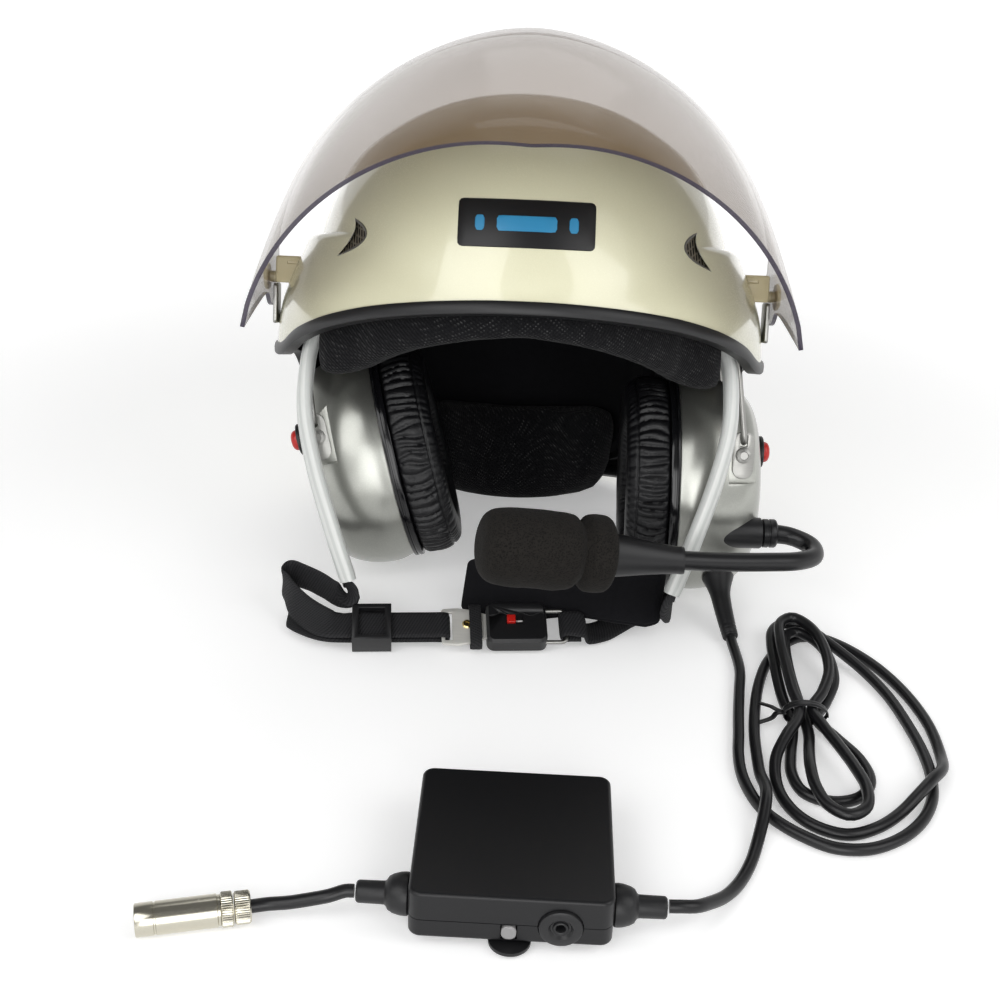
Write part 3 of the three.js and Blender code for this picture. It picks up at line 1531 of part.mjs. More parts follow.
const boardShares = [
  [-0.3, 0.05, 0.3, 0.25], [0.1, -0.1, 0.2, 0.2], [-0.35, -0.3, 0.15, 0.2], [0.15, 0.2, 0.22, 0.14],
];

function lightPiece() {
  const shape = roundedRectangle(light.width, light.height, light.width / 2 - fit);
  return slab(shape, light.length, 0, 4)
    .rotateX(Math.PI / 2)
    .translate(lightX, front - light.out + light.length, light.level);
}

function socketPiece() {
  const body = join(
    rodY(socket.radius, front - socket.out, front + box.wall + socket.out, socketX, split, 18),
    rodY(socket.collar, front, front + socket.length, socketX, split, 16),
  );
  return cut(body, rodY(socket.bore, -farAway, front + socket.boreDepth, socketX, split, 14));
}

/** A cable gland: a dome against the box's side, a sleeve over the cord, and a neck through the wall. */
function glandPiece(side) {
  const profile = [
    [0, 0], [gland.radius, 0], [gland.radius * 0.97, gland.dome * 0.4],
    [gland.radius * 0.8, gland.dome * 0.8],
    [gland.sleeve, gland.dome], [gland.sleeve, gland.dome + gland.sleeveLength],
    [0, gland.dome + gland.sleeveLength],
  ];
  const start = box.width / 2 + fit;
  const outer = revolve(profile, 16).rotateY(Math.PI / 2).translate(start, 0, 0);
  const neck = rodX(gland.neck, start - box.wall - fit - box.wall, start + fit, 0, 0, 16);
  return sided(join(outer, neck), side).translate(0, glandY, split);
}

add(boxGroup, "box_lid", lidPiece(), "satinBlack");
add(boxGroup, "box_base", basePiece(), "satinBlack");
add(boxGroup, "box_circuit_board", boardPiece(), "green");
add(boxGroup, "status_light", lightPiece(), "lens");
add(boxGroup, "audio_socket", socketPiece(), "blackPlastic");
add(boxGroup, "box_gland_right", glandPiece(1), "rubber");
add(boxGroup, "box_gland_left", glandPiece(-1), "rubber");
add(boxGroup, "belt_clip", clipPiece(), "satinBlack");

// Connector on its short lead

const plugFrame = new THREE.Matrix4()
  .makeTranslation(plugPlace.x, plugPlace.y, plugPlace.z)
  .multiply(new THREE.Matrix4().makeRotationZ(plugPlace.yaw));

/** The connector's barrel along -X with an open socket at its far end, and a plain ring behind it. */
function plugBody() {
  const { radius, barrel, wall, socket: deep, ring: ringLength, ringRadius, nut } = plug;
  const start = -nut - fit;
  const ringEnd = start - ringLength;
  const end = ringEnd - barrel;
  const body = join(
    rodX(radius, end, ringEnd + fit, 0, 0, 20),
    rodX(ringRadius, ringEnd, start, 0, 0, 20),
  );
  return cut(body, rodX(radius - wall, end - overrun, end + deep, 0, 0, 18));
}

function plugNut() {
  const { nut, radius, knurls, bore } = plug;
  const profile = [[0, 0], [radius * 0.8, 0], [radius, nut * 0.25], [radius, nut], [0, nut]];
  const body = revolve(profile, knurls).rotateY(-Math.PI / 2);
  return cut(body, rodX(bore, -farAway, overrun, 0, 0, 14));
}

const plugLead = [
  [-58, -304.9, 14], [-61.4, -305, 13.9], [-68, -306.8, 12.6], [-76, -307, 10.4],
  [-84, -307, 8.4], [-92, -307, 7.2],
  [-97.6, -308.3, 7.1], [-103, -309.6, 7.1],
];

add(onTable, "connector_cable", sweep(evenly(plugLead, cordSteps.link), cable.radius, cable.sides), "rubber");
add(onTable, "connector_body", plugBody().applyMatrix4(plugFrame), "nickel");
add(onTable, "connector_nut", plugNut().applyMatrix4(plugFrame), "nickel");

// The finished object stands on the table, its outline without the cords centred on the origin

const outline = new THREE.Box3();
part.updateMatrixWorld(true);
helmet.position.z -= new THREE.Box3().setFromObject(helmet, true).min.z;
part.updateMatrixWorld(true);
part.traverse((piece) => {
  if (piece.isMesh && !cordNames.has(piece.name)) outline.expandByObject(piece, true);
});
const centre = outline.getCenter(new THREE.Vector3());
part.position.set(-centre.x, -centre.y, 0);

export default part;
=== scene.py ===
"""A paramotor helmet with its visor, headset, boom microphone, chin strap, cable and control box.

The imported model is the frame. Lengths in the classes are millimetres in the frame that each class
names, and a Frame places a finished mesh in the model's own metres.
"""

from __future__ import annotations

import json
import logging
import math
from collections.abc import Callable, Iterable, Iterator, Sequence
from contextlib import contextmanager
from dataclasses import dataclass, field
from enum import Enum

import bpy
import numpy as np
from mathutils import Matrix, Vector, noise


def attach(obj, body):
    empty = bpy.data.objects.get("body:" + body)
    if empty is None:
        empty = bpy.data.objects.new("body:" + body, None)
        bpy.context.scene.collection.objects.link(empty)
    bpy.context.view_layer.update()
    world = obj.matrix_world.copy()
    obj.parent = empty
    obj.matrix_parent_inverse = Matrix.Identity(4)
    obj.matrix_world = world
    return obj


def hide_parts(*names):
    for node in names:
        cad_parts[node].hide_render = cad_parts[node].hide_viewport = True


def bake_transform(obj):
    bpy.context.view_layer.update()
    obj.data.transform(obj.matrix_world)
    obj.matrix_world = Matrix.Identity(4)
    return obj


LOG = logging.getLogger("paramotor_helmet")
MM = 0.001

Point = Sequence[float]
Places = np.ndarray


# Numbers and curves


def mix(a: float, b: float, t: float) -> float:
    """The value a share t of the way from a to b."""
    return a + (b - a) * t


def smoothstep(value: float, start: float, end: float) -> float:
    """0 before start, 1 after end, with a soft turn between."""
    t = min(1.0, max(0.0, (value - start) / (end - start)))
    return t * t * (3.0 - 2.0 * t)


class Course:
    """A smooth curve through given knots."""

    def __init__(self, knots: Iterable[Point]) -> None:
        """Keeps the knots.

        Args:
            knots: the places that the curve runs through, in order.
        """
        self.knots = np.array([tuple(k) for k in knots], float)

    def at(self, t: float) -> np.ndarray:
        """The place a share t along the knots.

        Args:
            t: from 0 at the first knot to 1 at the last.

        Returns:
            The place, with as many numbers as a knot has.
        """
        k = self.knots
        span = (len(k) - 1) * min(max(t, 0.0), 1.0)
        i = min(int(span), len(k) - 2)
        w = span - i
        p1, p2 = k[i], k[i + 1]
        p0 = k[i - 1] if i > 0 else 2 * p1 - p2
        p3 = k[i + 2] if i + 2 < len(k) else 2 * p2 - p1
        d1 = float(np.sum((p2 - p1) ** 2)) ** 0.25 or 1.0
        d0 = float(np.sum((p1 - p0) ** 2)) ** 0.25
        d2 = float(np.sum((p3 - p2) ** 2)) ** 0.25
        d0 = d0 if d0 > 1e-4 else d1
        d2 = d2 if d2 > 1e-4 else d1
        m1 = ((p1 - p0) / d0 - (p2 - p0) / (d0 + d1) + (p2 - p1) / d1) * d1
        m2 = ((p2 - p1) / d1 - (p3 - p1) / (d1 + d2) + (p3 - p2) / d2) * d1
        c2 = -3 * p1 + 3 * p2 - 2 * m1 - m2
        c3 = 2 * p1 - 2 * p2 + m1 + m2
        return p1 + w * (m1 + w * (c2 + w * c3))

    def way(self, t: float) -> np.ndarray:
        """The unit direction of the curve a share t along its knots.

        Args:
            t: the share.

        Returns:
            The direction.
        """
        step = 1e-4
        d = self.at(min(1.0, t + step)) - self.at(max(0.0, t - step))
        return d / (np.linalg.norm(d) or 1.0)

    def run(self, steps: int) -> Places:
        """Places at even shares of the knots."""
        return np.array([self.at(i / steps) for i in range(steps + 1)])

    def even(self, steps: int) -> Places:
        """Places at even lengths along the curve."""
        fine = self.run(steps * 8)
        return spaced(fine, steps)


def spaced(points: Places, steps: int) -> Places:
    """A line's points laid out again at even lengths.

    Args:
        points: the line.
        steps: how many stretches the new line has.

    Returns:
        The new points, one more than the stretches.
    """
    lengths = np.concatenate([[0.0], np.cumsum(np.linalg.norm(np.diff(points, axis=0), axis=1))])
    wanted = np.linspace(0.0, lengths[-1], steps + 1)
    return np.stack([np.interp(wanted, lengths, points[:, i]) for i in range(points.shape[1])], axis=1)


def unit(v: np.ndarray) -> np.ndarray:
    """Vectors brought to length 1."""
    size = np.linalg.norm(v, axis=-1, keepdims=True)
    return v / np.where(size < 1e-12, 1.0, size)


def bent(points: Sequence[Point], radius: float, steps: int = 8) -> Places:
    """A bent wire's middle line.

    Args:
        points: the corners.
        radius: how far from a corner its rounding starts.
        steps: the stretches in each rounding.

    Returns:
        The line, with every corner rounded.
    """
    k = np.array(points, float)
    line = [k[0]]
    for before, here, after in zip(k, k[1:], k[2:]):
        a = here + unit(before - here) * radius
        b = here + unit(after - here) * radius
        for i in range(steps + 1):
            t = i / steps
            line.append((1 - t) ** 2 * a + 2 * t * (1 - t) * here + t * t * b)
    line.append(k[-1])
    return np.array(line)


# Meshes


def deselect() -> None:
    """Leaves object mode with nothing selected."""
    if bpy.context.mode != "OBJECT":
        bpy.ops.object.mode_set(mode="OBJECT")
    bpy.ops.object.select_all(action="DESELECT")


def take(obj: bpy.types.Object) -> bpy.types.Object:
    """Selects one piece alone and makes it active.

    Args:
        obj: the piece.

    Returns:
        The piece.
    """
    deselect()
    obj.select_set(True)
    bpy.context.view_layer.objects.active = obj
    return obj


@contextmanager
def editing(obj: bpy.types.Object, everything: bool = True) -> Iterator[bpy.types.Object]:
    """Edit mode on one piece, and back to object mode at the end.

    Args:
        obj: the piece.
        everything: whether all of it starts selected.

    Yields:
        The piece, in edit mode.
    """
    take(obj)
    bpy.ops.object.mode_set(mode="EDIT")
    bpy.ops.mesh.select_all(action="SELECT" if everything else "DESELECT")
    try:
        yield obj
    finally:
        bpy.ops.object.mode_set(mode="OBJECT")


def choose(obj: bpy.types.Object, kind: str, test: Callable[[bpy.types.Object, object], bool]) -> int:
    """Selects vertices, edges or faces by a test on each, in object mode.

    Args:
        obj: the piece.
        kind: "VERT", "EDGE" or "FACE".
        test: takes the piece and one element.

    Returns:
        How many were selected.
    """
    with editing(obj, False):
        bpy.ops.mesh.select_mode(type=kind)
    mesh = obj.data
    elements = {"VERT": mesh.vertices, "EDGE": mesh.edges, "FACE": mesh.polygons}[kind]
    count = 0
    for element in elements:
        element.select = bool(test(obj, element))
        count += element.select
    return count


@contextmanager
def chosen(
    obj: bpy.types.Object, kind: str, test: Callable[[bpy.types.Object, object], bool],
) -> Iterator[bpy.types.Object]:
    """Edit mode with only some elements selected, chosen in code.

    Args:
        obj: the piece.
        kind: "VERT", "EDGE" or "FACE".
        test: takes the piece and one element.

    Yields:
        The piece, in edit mode.
    """
    choose(obj, kind, test)
    take(obj)
    bpy.ops.object.mode_set(mode="EDIT")
    try:
        yield obj
    finally:
        bpy.ops.object.mode_set(mode="OBJECT")


def modify(obj: bpy.types.Object, kind: str, **settings: object) -> bpy.types.Object:
    """Puts a modifier on a piece and applies it.

    Args:
        obj: the piece.
        kind: the modifier's type.
        settings: the modifier's own settings.

    Returns:
        The piece.
    """
    take(obj)
    modifier = obj.modifiers.new(kind.title(), kind)
    for key, value in settings.items():
        setattr(modifier, key, value)
    bpy.ops.object.modifier_apply(modifier=modifier.name)
    return obj


def smooth(obj: bpy.types.Object, degrees: float = 35.0) -> bpy.types.Object:
    """Soft shading with a crease wherever faces meet more steeply than the angle.

    Args:
        obj: the piece.
        degrees: the angle.

    Returns:
        The piece.
    """
    take(obj)
    bpy.ops.object.shade_smooth_by_angle(angle=math.radians(degrees))
    return obj


def mesh_object(name: str, vertices: object, faces: object) -> bpy.types.Object:
    """A linked object from points and faces.

    Args:
        name: its name.
        vertices: its points.
        faces: its faces, as numbers of points.

    Returns:
        The object.
    """
    mesh = bpy.data.meshes.new(name)
    mesh.from_pydata([tuple(v) for v in vertices], [], [tuple(f) for f in faces])
    mesh.update()
    obj = bpy.data.objects.new(name, mesh)
    bpy.context.scene.collection.objects.link(obj)
    return obj


def skin(
    name: str,
    rings: Sequence[Places],
    closed: bool = True,
    looped: bool = False,
    caps: bool = True,
    degrees: float = 40.0,
) -> bpy.types.Object:
    """A surface over rings of points, with its spans in metres as a UV map.

    Args:
        name: the piece's name.
        rings: equal rows of points.
        closed: whether each ring runs round into itself.
        looped: whether the last ring meets the first.
        caps: whether open ends are filled.
        degrees: the angle past which an edge stays a crease.

    Returns:
        The piece, not yet placed.
    """
    grid = np.array(rings, float)
    rows, size = grid.shape[:2]
    faces, spans = [], []
    around = np.linalg.norm(np.roll(grid, -1, axis=1) - grid, axis=2)
    u = np.concatenate([np.zeros((rows, 1)), np.cumsum(around, axis=1)], axis=1).mean(axis=0) * MM
    steps = np.linalg.norm(np.roll(grid, -1, axis=0) - grid, axis=2).mean(axis=1)
    v = np.concatenate([[0.0], np.cumsum(steps)]) * MM
    for i in range(rows if looped else rows - 1):
        below = (i + 1) % rows
        for j in range(size if closed else size - 1):
            beside = (j + 1) % size
            faces.append((i * size + j, i * size + beside, below * size + beside, below * size + j))
            spans.append(((u[j], v[i]), (u[j + 1], v[i]), (u[j + 1], v[i + 1]), (u[j], v[i + 1])))
    if caps and closed and not looped:
        faces.append(tuple(range(size - 1, -1, -1)))
        spans.append(tuple((u[j], v[0]) for j in range(size - 1, -1, -1)))
        last = (rows - 1) * size
        faces.append(tuple(range(last, last + size)))
        spans.append(tuple((u[j], v[rows - 1]) for j in range(size)))
    obj = mesh_object(name, grid.reshape(-1, 3), faces)
    layer = obj.data.uv_layers.new(name="span")
    flat = [number for face in spans for pair in face for number in pair]
    layer.data.foreach_set("uv", flat)
    with editing(obj):
        bpy.ops.mesh.normals_make_consistent(inside=False)
    return smooth(obj, degrees)


def frames_along(points: Places, across: Places | None = None) -> tuple[Places, Places, Places]:
    """Two square directions at every point of a line.

    Args:
        points: the line.
        across: the wanted first direction at each point, or None for one carried along evenly.

    Returns:
        The line's way, the first direction and the second one.
    """
    ways = unit(np.gradient(points, axis=0))
    if across is None:
        first = np.cross(ways[0], (0.0, 0.0, 1.0))
        if np.linalg.norm(first) < 1e-3:
            first = np.cross(ways[0], (1.0, 0.0, 0.0))
        carried = []
        for way in ways:
            first = unit(first - way * float(first @ way))
            carried.append(first)
        side = np.array(carried)
    else:
        side = unit(across - ways * np.sum(across * ways, axis=1, keepdims=True))
    return ways, side, np.cross(ways, side)


def carried(
    name: str,
    points: Places,
    section: Callable[[float], Places],
    across: Places | None = None,
    looped: bool = False,
    caps: bool = True,
    degrees: float = 40.0,
) -> bpy.types.Object:
    """A section carried along a line.

    Args:
        name: the piece's name.
        points: the line.
        section: gives the section's [across, through] points at a share along the line.
        across: the section's first direction at each point.
        looped: whether the line runs round into itself.
        caps: whether its ends are filled.
        degrees: the angle past which an edge stays a crease.

    Returns:
        The piece, not yet placed.
    """
    _, side, face = frames_along(points, across)
    last = max(1, len(points) - 1)
    rings = []
    for i, p in enumerate(points):
        s = section(i / last)
        rings.append(p + s[:, :1] * side[i] + s[:, 1:] * face[i])
    return skin(name, rings, looped=looped, caps=caps, degrees=degrees)


def oval(half_width: float, half_depth: float, sides: int) -> Places:
    """The points of an oval section."""
    turns = np.linspace(0.0, 2 * math.pi, sides, endpoint=False)
    return np.stack([half_width * np.cos(turns), half_depth * np.sin(turns)], axis=1)


def strap(width: float, thickness: float, sides: int = 10) -> Places:
    """A flat strap's section with soft edges.

    Args:
        width: across the strap.
        thickness: through it.
        sides: points across each face.

    Returns:
        The section's points.
    """
    half, t = width / 2, thickness / 2
    top = [(x, t * (0.55 + 0.45 * (1 - (abs(x) / half) ** 8))) for x in np.linspace(half, -half, sides)]
    return np.array(top + [(-half - t * 0.2, 0.0)] + [(x, -z) for x, z in reversed(top)] + [(half + t * 0.2, 0.0)])


def turned(name: str, profile: Sequence[Point], steps: int = 48, degrees: float = 32.0) -> bpy.types.Object:
    """A profile spun round the X axis in edit mode, as on a lathe.

    Args:
        name: the piece's name.
        profile: [radius, along X] points.
        steps: how many faces go round.
        degrees: the angle past which an edge stays a crease.

    Returns:
        The piece, not yet placed.
    """
    mesh = bpy.data.meshes.new(name)
    mesh.from_pydata([(x, r, 0.0) for r, x in profile], [(i, i + 1) for i in range(len(profile) - 1)], [])
    obj = bpy.data.objects.new(name, mesh)
    bpy.context.scene.collection.objects.link(obj)
    with editing(obj):
        bpy.ops.mesh.spin(steps=steps, angle=2 * math.pi, center=(0, 0, 0), axis=(1, 0, 0))
        bpy.ops.mesh.select_all(action="SELECT")
        bpy.ops.mesh.remove_doubles(threshold=1e-4)
        bpy.ops.mesh.normals_make_consistent(inside=False)
    return smooth(obj, degrees)


def block(name: str, low: Point, high: Point, bevel: float = 0.0, segments: int = 3) -> bpy.types.Object:
    """A cube added at its size and place, with its edges bevelled in edit mode.

    Args:
        name: the piece's name.
        low: its lowest corner.
        high: its highest corner.
        bevel: how far its edges are taken in.
        segments: the faces across a bevel.

    Returns:
        The piece, not yet placed.
    """
    a, b = Vector(low), Vector(high)
    deselect()
    bpy.ops.mesh.primitive_cube_add(size=1.0, location=(a + b) / 2, scale=(b - a))
    obj = bpy.context.active_object
    obj.name = obj.data.name = name
    bpy.ops.object.transform_apply(location=True, rotation=True, scale=True)
    if bevel > 0:
        with editing(obj):
            bpy.ops.mesh.select_mode(type="EDGE")
            bpy.ops.mesh.select_all(action="SELECT")
            bpy.ops.mesh.bevel(offset=bevel, segments=segments, affect="EDGES")
    return smooth(obj)


def joined(name: str, *pieces: bpy.types.Object) -> bpy.types.Object:
    """Several meshes joined into one object.

    Args:
        name: the new piece's name.
        pieces: the meshes.

    Returns:
        The new piece.
    """
    deselect()
    for piece in pieces:
        piece.select_set(True)
    bpy.context.view_layer.objects.active = pieces[0]
    bpy.ops.object.join()
    pieces[0].name = pieces[0].data.name = name
    return pieces[0]


def carve(obj: bpy.types.Object, *tools: bpy.types.Object) -> bpy.types.Object:
    """Cuts tools out of a piece and takes the tools away.

    Args:
        obj: the piece.
        tools: what is cut out of it.

    Returns:
        The piece.
    """
    for tool in tools:
        modify(obj, "BOOLEAN", operation="DIFFERENCE", solver="EXACT", object=tool)
        bpy.data.objects.remove(tool)
    return obj


def place(obj: bpy.types.Object, matrix: Matrix) -> bpy.types.Object:
    """Puts a piece's place into its mesh, turned right side out where the place mirrors it.

    Args:
        obj: the piece.
        matrix: its place.

    Returns:
        The piece.
    """
    obj.data.transform(matrix)
    if matrix.determinant() < 0:
        with editing(obj):
            bpy.ops.mesh.flip_normals()
    obj.data.update()
    return obj


def refined(node: str, name: str, bevel: float = 0.0, segments: int = 2, degrees: float = 32.0) -> bpy.types.Object:
    """A copy of a CAD node with its faces merged and its edges softened.

    Args:
        node: the CAD node.
        name: the new piece's name.
        bevel: the softening, in millimetres.
        segments: the faces across a softened edge.
        degrees: the angle past which an edge is softened.

    Returns:
        The piece, in place, standing for the node.
    """
    source = FRAME["nodes"][node]
    mesh = source.data.copy()
    mesh.name = name
    obj = bpy.data.objects.new(name, mesh)
    mesh.materials.clear()
    bpy.context.scene.collection.objects.link(obj)
    with editing(obj):
        bpy.ops.mesh.remove_doubles(threshold=1e-6)
        bpy.ops.mesh.dissolve_limited(angle_limit=math.radians(1.0))
    if bevel > 0:
        modify(
            obj, "BEVEL", width=bevel * MM, segments=segments, limit_method="ANGLE",
            angle_limit=math.radians(degrees), harden_normals=False, use_clamp_overlap=True,
        )
    smooth(obj, degrees)
    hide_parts(node)
    return obj


def puffed(obj: bpy.types.Object, voxel: float, cap: float, pressure: float = 4.0) -> bpy.types.Object:
    """Lets a padded piece swell as cloth, and holds every point near where it started.

    Args:
        obj: the piece, in millimetres.
        voxel: the size of its new faces.
        cap: how far a point may move.
        pressure: the pressure inside it.

    Returns:
        The piece, with the swelling in its mesh.
    """
    obj.data.transform(Matrix.Scale(MM, 4))
    modify(obj, "REMESH", mode="VOXEL", voxel_size=voxel * MM)
    count = len(obj.data.vertices)
    start = np.empty(count * 3)
    obj.data.vertices.foreach_get("co", start)
    cloth = obj.modifiers.new("Cloth", "CLOTH")
    cloth.settings.use_pressure = True
    cloth.settings.uniform_pressure_force = pressure
    cloth.settings.effector_weights.gravity = 0.0
    cloth.point_cache.frame_start, cloth.point_cache.frame_end = 1, 20
    scene = bpy.context.scene
    for frame in range(1, 21):
        scene.frame_set(frame)
    swollen = np.empty(count * 3)
    obj.evaluated_get(bpy.context.evaluated_depsgraph_get()).data.vertices.foreach_get("co", swollen)
    obj.modifiers.remove(cloth)
    scene.frame_set(1)
    move = (swollen - start).reshape(-1, 3)
    reach = np.linalg.norm(move, axis=1, keepdims=True)
    move *= np.minimum(1.0, cap * MM / np.maximum(reach, 1e-9))
    obj.data.vertices.foreach_set("co", (start.reshape(-1, 3) + move).ravel())
    obj.data.update()
    modify(obj, "SUBSURF", levels=1, render_levels=1)
    obj.data.transform(Matrix.Scale(1 / MM, 4))
    LOG.info("%s: swelled by up to %.1f mm", obj.name, float(np.linalg.norm(move, axis=1).max()) / MM)
    return smooth(obj, 60)


# Finishes


class Grain(Enum):
    """What a surface looks like from close by."""

    PEARL = "gloss lacquer over a pale pearl"
    MOULDED = "fine-grained moulding"
    RUBBER = "soft rubber"
    KNIT = "thick spacer knit with pale specks"
    VELOUR = "short-napped lining"
    LEATHER = "soft grained leatherette"
    FLAKE = "silver paint with fine flake"
    FOAM = "open-celled foam"
    TWILL = "webbing with slanting ribs"
    SATIN = "ribbed satin sleeve"
    BRUSHED = "rolled and brushed metal"
    WIRE = "woven wire cloth"
    FILM = "clear sheet"
    PLAIN = "smooth"


class Signal:
    """A socket's value that can be written in sums."""

    def __init__(self, tree: "Tree", socket: bpy.types.NodeSocket) -> None:
        """Wraps one output socket of a tree."""
        self.tree = tree
        self.socket = socket

    def _sum(self, operation: str, first: object, second: object) -> "Signal":
        """One Math node on two values or signals."""
        return self.tree.node("ShaderNodeMath", {"operation": operation}, {0: first, 1: second})

    def __add__(self, other: object) -> "Signal":
        """self + other."""
        return self._sum("ADD", self, other)

    __radd__ = __add__

    def __sub__(self, other: object) -> "Signal":
        """self - other."""
        return self._sum("SUBTRACT", self, other)

    def __rsub__(self, other: object) -> "Signal":
        """other - self."""
        return self._sum("SUBTRACT", other, self)

    def __mul__(self, other: object) -> "Signal":
        """self * other."""
        return self._sum("MULTIPLY", self, other)

    __rmul__ = __mul__

    def __truediv__(self, other: object) -> "Signal":
        """self / other."""
        return self._sum("DIVIDE", self, other)

    def __rtruediv__(self, other: object) -> "Signal":
        """other / self."""
        return self._sum("DIVIDE", other, self)

    def __gt__(self, other: object) -> "Signal":
        """1 where self is greater than other."""
        return self._sum("GREATER_THAN", self, other)

    def power(self, exponent: float) -> "Signal":
        """self raised to a power."""
        return self._sum("POWER", self, exponent)

    def sine(self) -> "Signal":
        """The sine of self, in radians."""
        return self._sum("SINE", self, 0.0)

    def most(self, other: object) -> "Signal":
        """The greater of self and other."""
        return self._sum("MAXIMUM", self, other)

    def window(self, low: float, high: float) -> "Signal":
        """0 at low, 1 at high, with a soft turn, and held outside."""
        settings = {"interpolation_type": "SMOOTHSTEP", "clamp": True}
        return self.tree.node("ShaderNodeMapRange", settings, {"Value": self, "From Min": low, "From Max": high})


class Tree:
    """The nodes of one material, or of the world."""

    def __init__(self, owner: bpy.types.Material | bpy.types.World, output: str = "ShaderNodeOutputMaterial") -> None:
        """Clears the owner's nodes and gives it an output.

        Args:
            owner: the material or world.
            output: the kind of its output node.
        """
        owner.use_nodes = True
        self.nodes = owner.node_tree.nodes
        self.links = owner.node_tree.links
        self.nodes.clear()
        self.output = self.nodes.new(output)

    def node(
        self, kind: str, settings: dict[str, object] | None = None, inputs: dict[object, object] | None = None,
        take_from: object = 0,
    ) -> Signal:
        """Adds any node.

        Args:
            kind: the node's type.
            settings: its own settings, or "stops" for a ramp's [place, colour] pairs.
            inputs: a value or a signal for each socket, by its name or number.
            take_from: which output to return.

        Returns:
            The chosen output as a signal.
        """
        made = self.nodes.new(kind)
        for key, value in (settings or {}).items():
            if key == "stops":
                ramp = made.color_ramp
                for i, (at, colour) in enumerate(value):
                    element = ramp.elements[i] if i < len(ramp.elements) else ramp.elements.new(at)
                    element.position, element.color = at, (*colour, 1.0)
            else:
                setattr(made, key, value)
        for key, value in (inputs or {}).items():
            socket = made.inputs[key]
            if isinstance(value, Signal):
                self.links.new(value.socket, socket)
            elif isinstance(value, tuple) and len(value) == 3 and socket.type == "RGBA":
                socket.default_value = (*value, 1.0)
            else:
                socket.default_value = value
        return Signal(self, made.outputs[take_from])

    def finish(self, shader: Signal) -> None:
        """Links a shader to the material's output."""
        self.links.new(shader.socket, self.output.inputs["Surface"])

    def places(self) -> Signal:
        """Object coordinates in metres."""
        return self.node("ShaderNodeTexCoord", take_from="Object")

    def spans(self) -> Signal:
        """The piece's own UV map, in metres round and along it."""
        return self.node("ShaderNodeUVMap", {"uv_map": "span"})

    def stretched(self, vector: Signal, size: Point, turn: Point = (0.0, 0.0, 0.0)) -> Signal:
        """Coordinates scaled and turned by a Mapping node."""
        inputs = {"Vector": vector, "Scale": tuple(size), "Rotation": tuple(turn)}
        return self.node("ShaderNodeMapping", {"vector_type": "TEXTURE"}, inputs)

    def noise(self, vector: Signal, feature: float, detail: float = 2.0, rough: float = 0.5) -> Signal:
        """Noise whose lumps are about a length in metres across."""
        inputs = {"Vector": vector, "Scale": 1.0 / feature, "Detail": detail, "Roughness": rough}
        return self.node("ShaderNodeTexNoise", inputs=inputs, take_from="Fac")

    def cells(self, vector: Signal, feature: float, kind: str = "F1") -> Signal:
        """Distance to the middle of cells about a length in metres across."""
        inputs = {"Vector": vector, "Scale": 1.0 / feature}
        return self.node("ShaderNodeTexVoronoi", {"feature": kind}, inputs, take_from="Distance")

    def parts(self, vector: Signal) -> list[Signal]:
        """A vector's three numbers."""
        first = self.node("ShaderNodeSeparateXYZ", inputs={"Vector": vector})
        return [Signal(self, output) for output in first.socket.node.outputs]

    def blend(self, share: object, first: object, second: object) -> Signal:
        """One colour fading into another."""
        return self.node("ShaderNodeMix", {"data_type": "RGBA"}, {0: share, 6: first, 7: second}, take_from=2)


Colour = tuple[float, float, float]


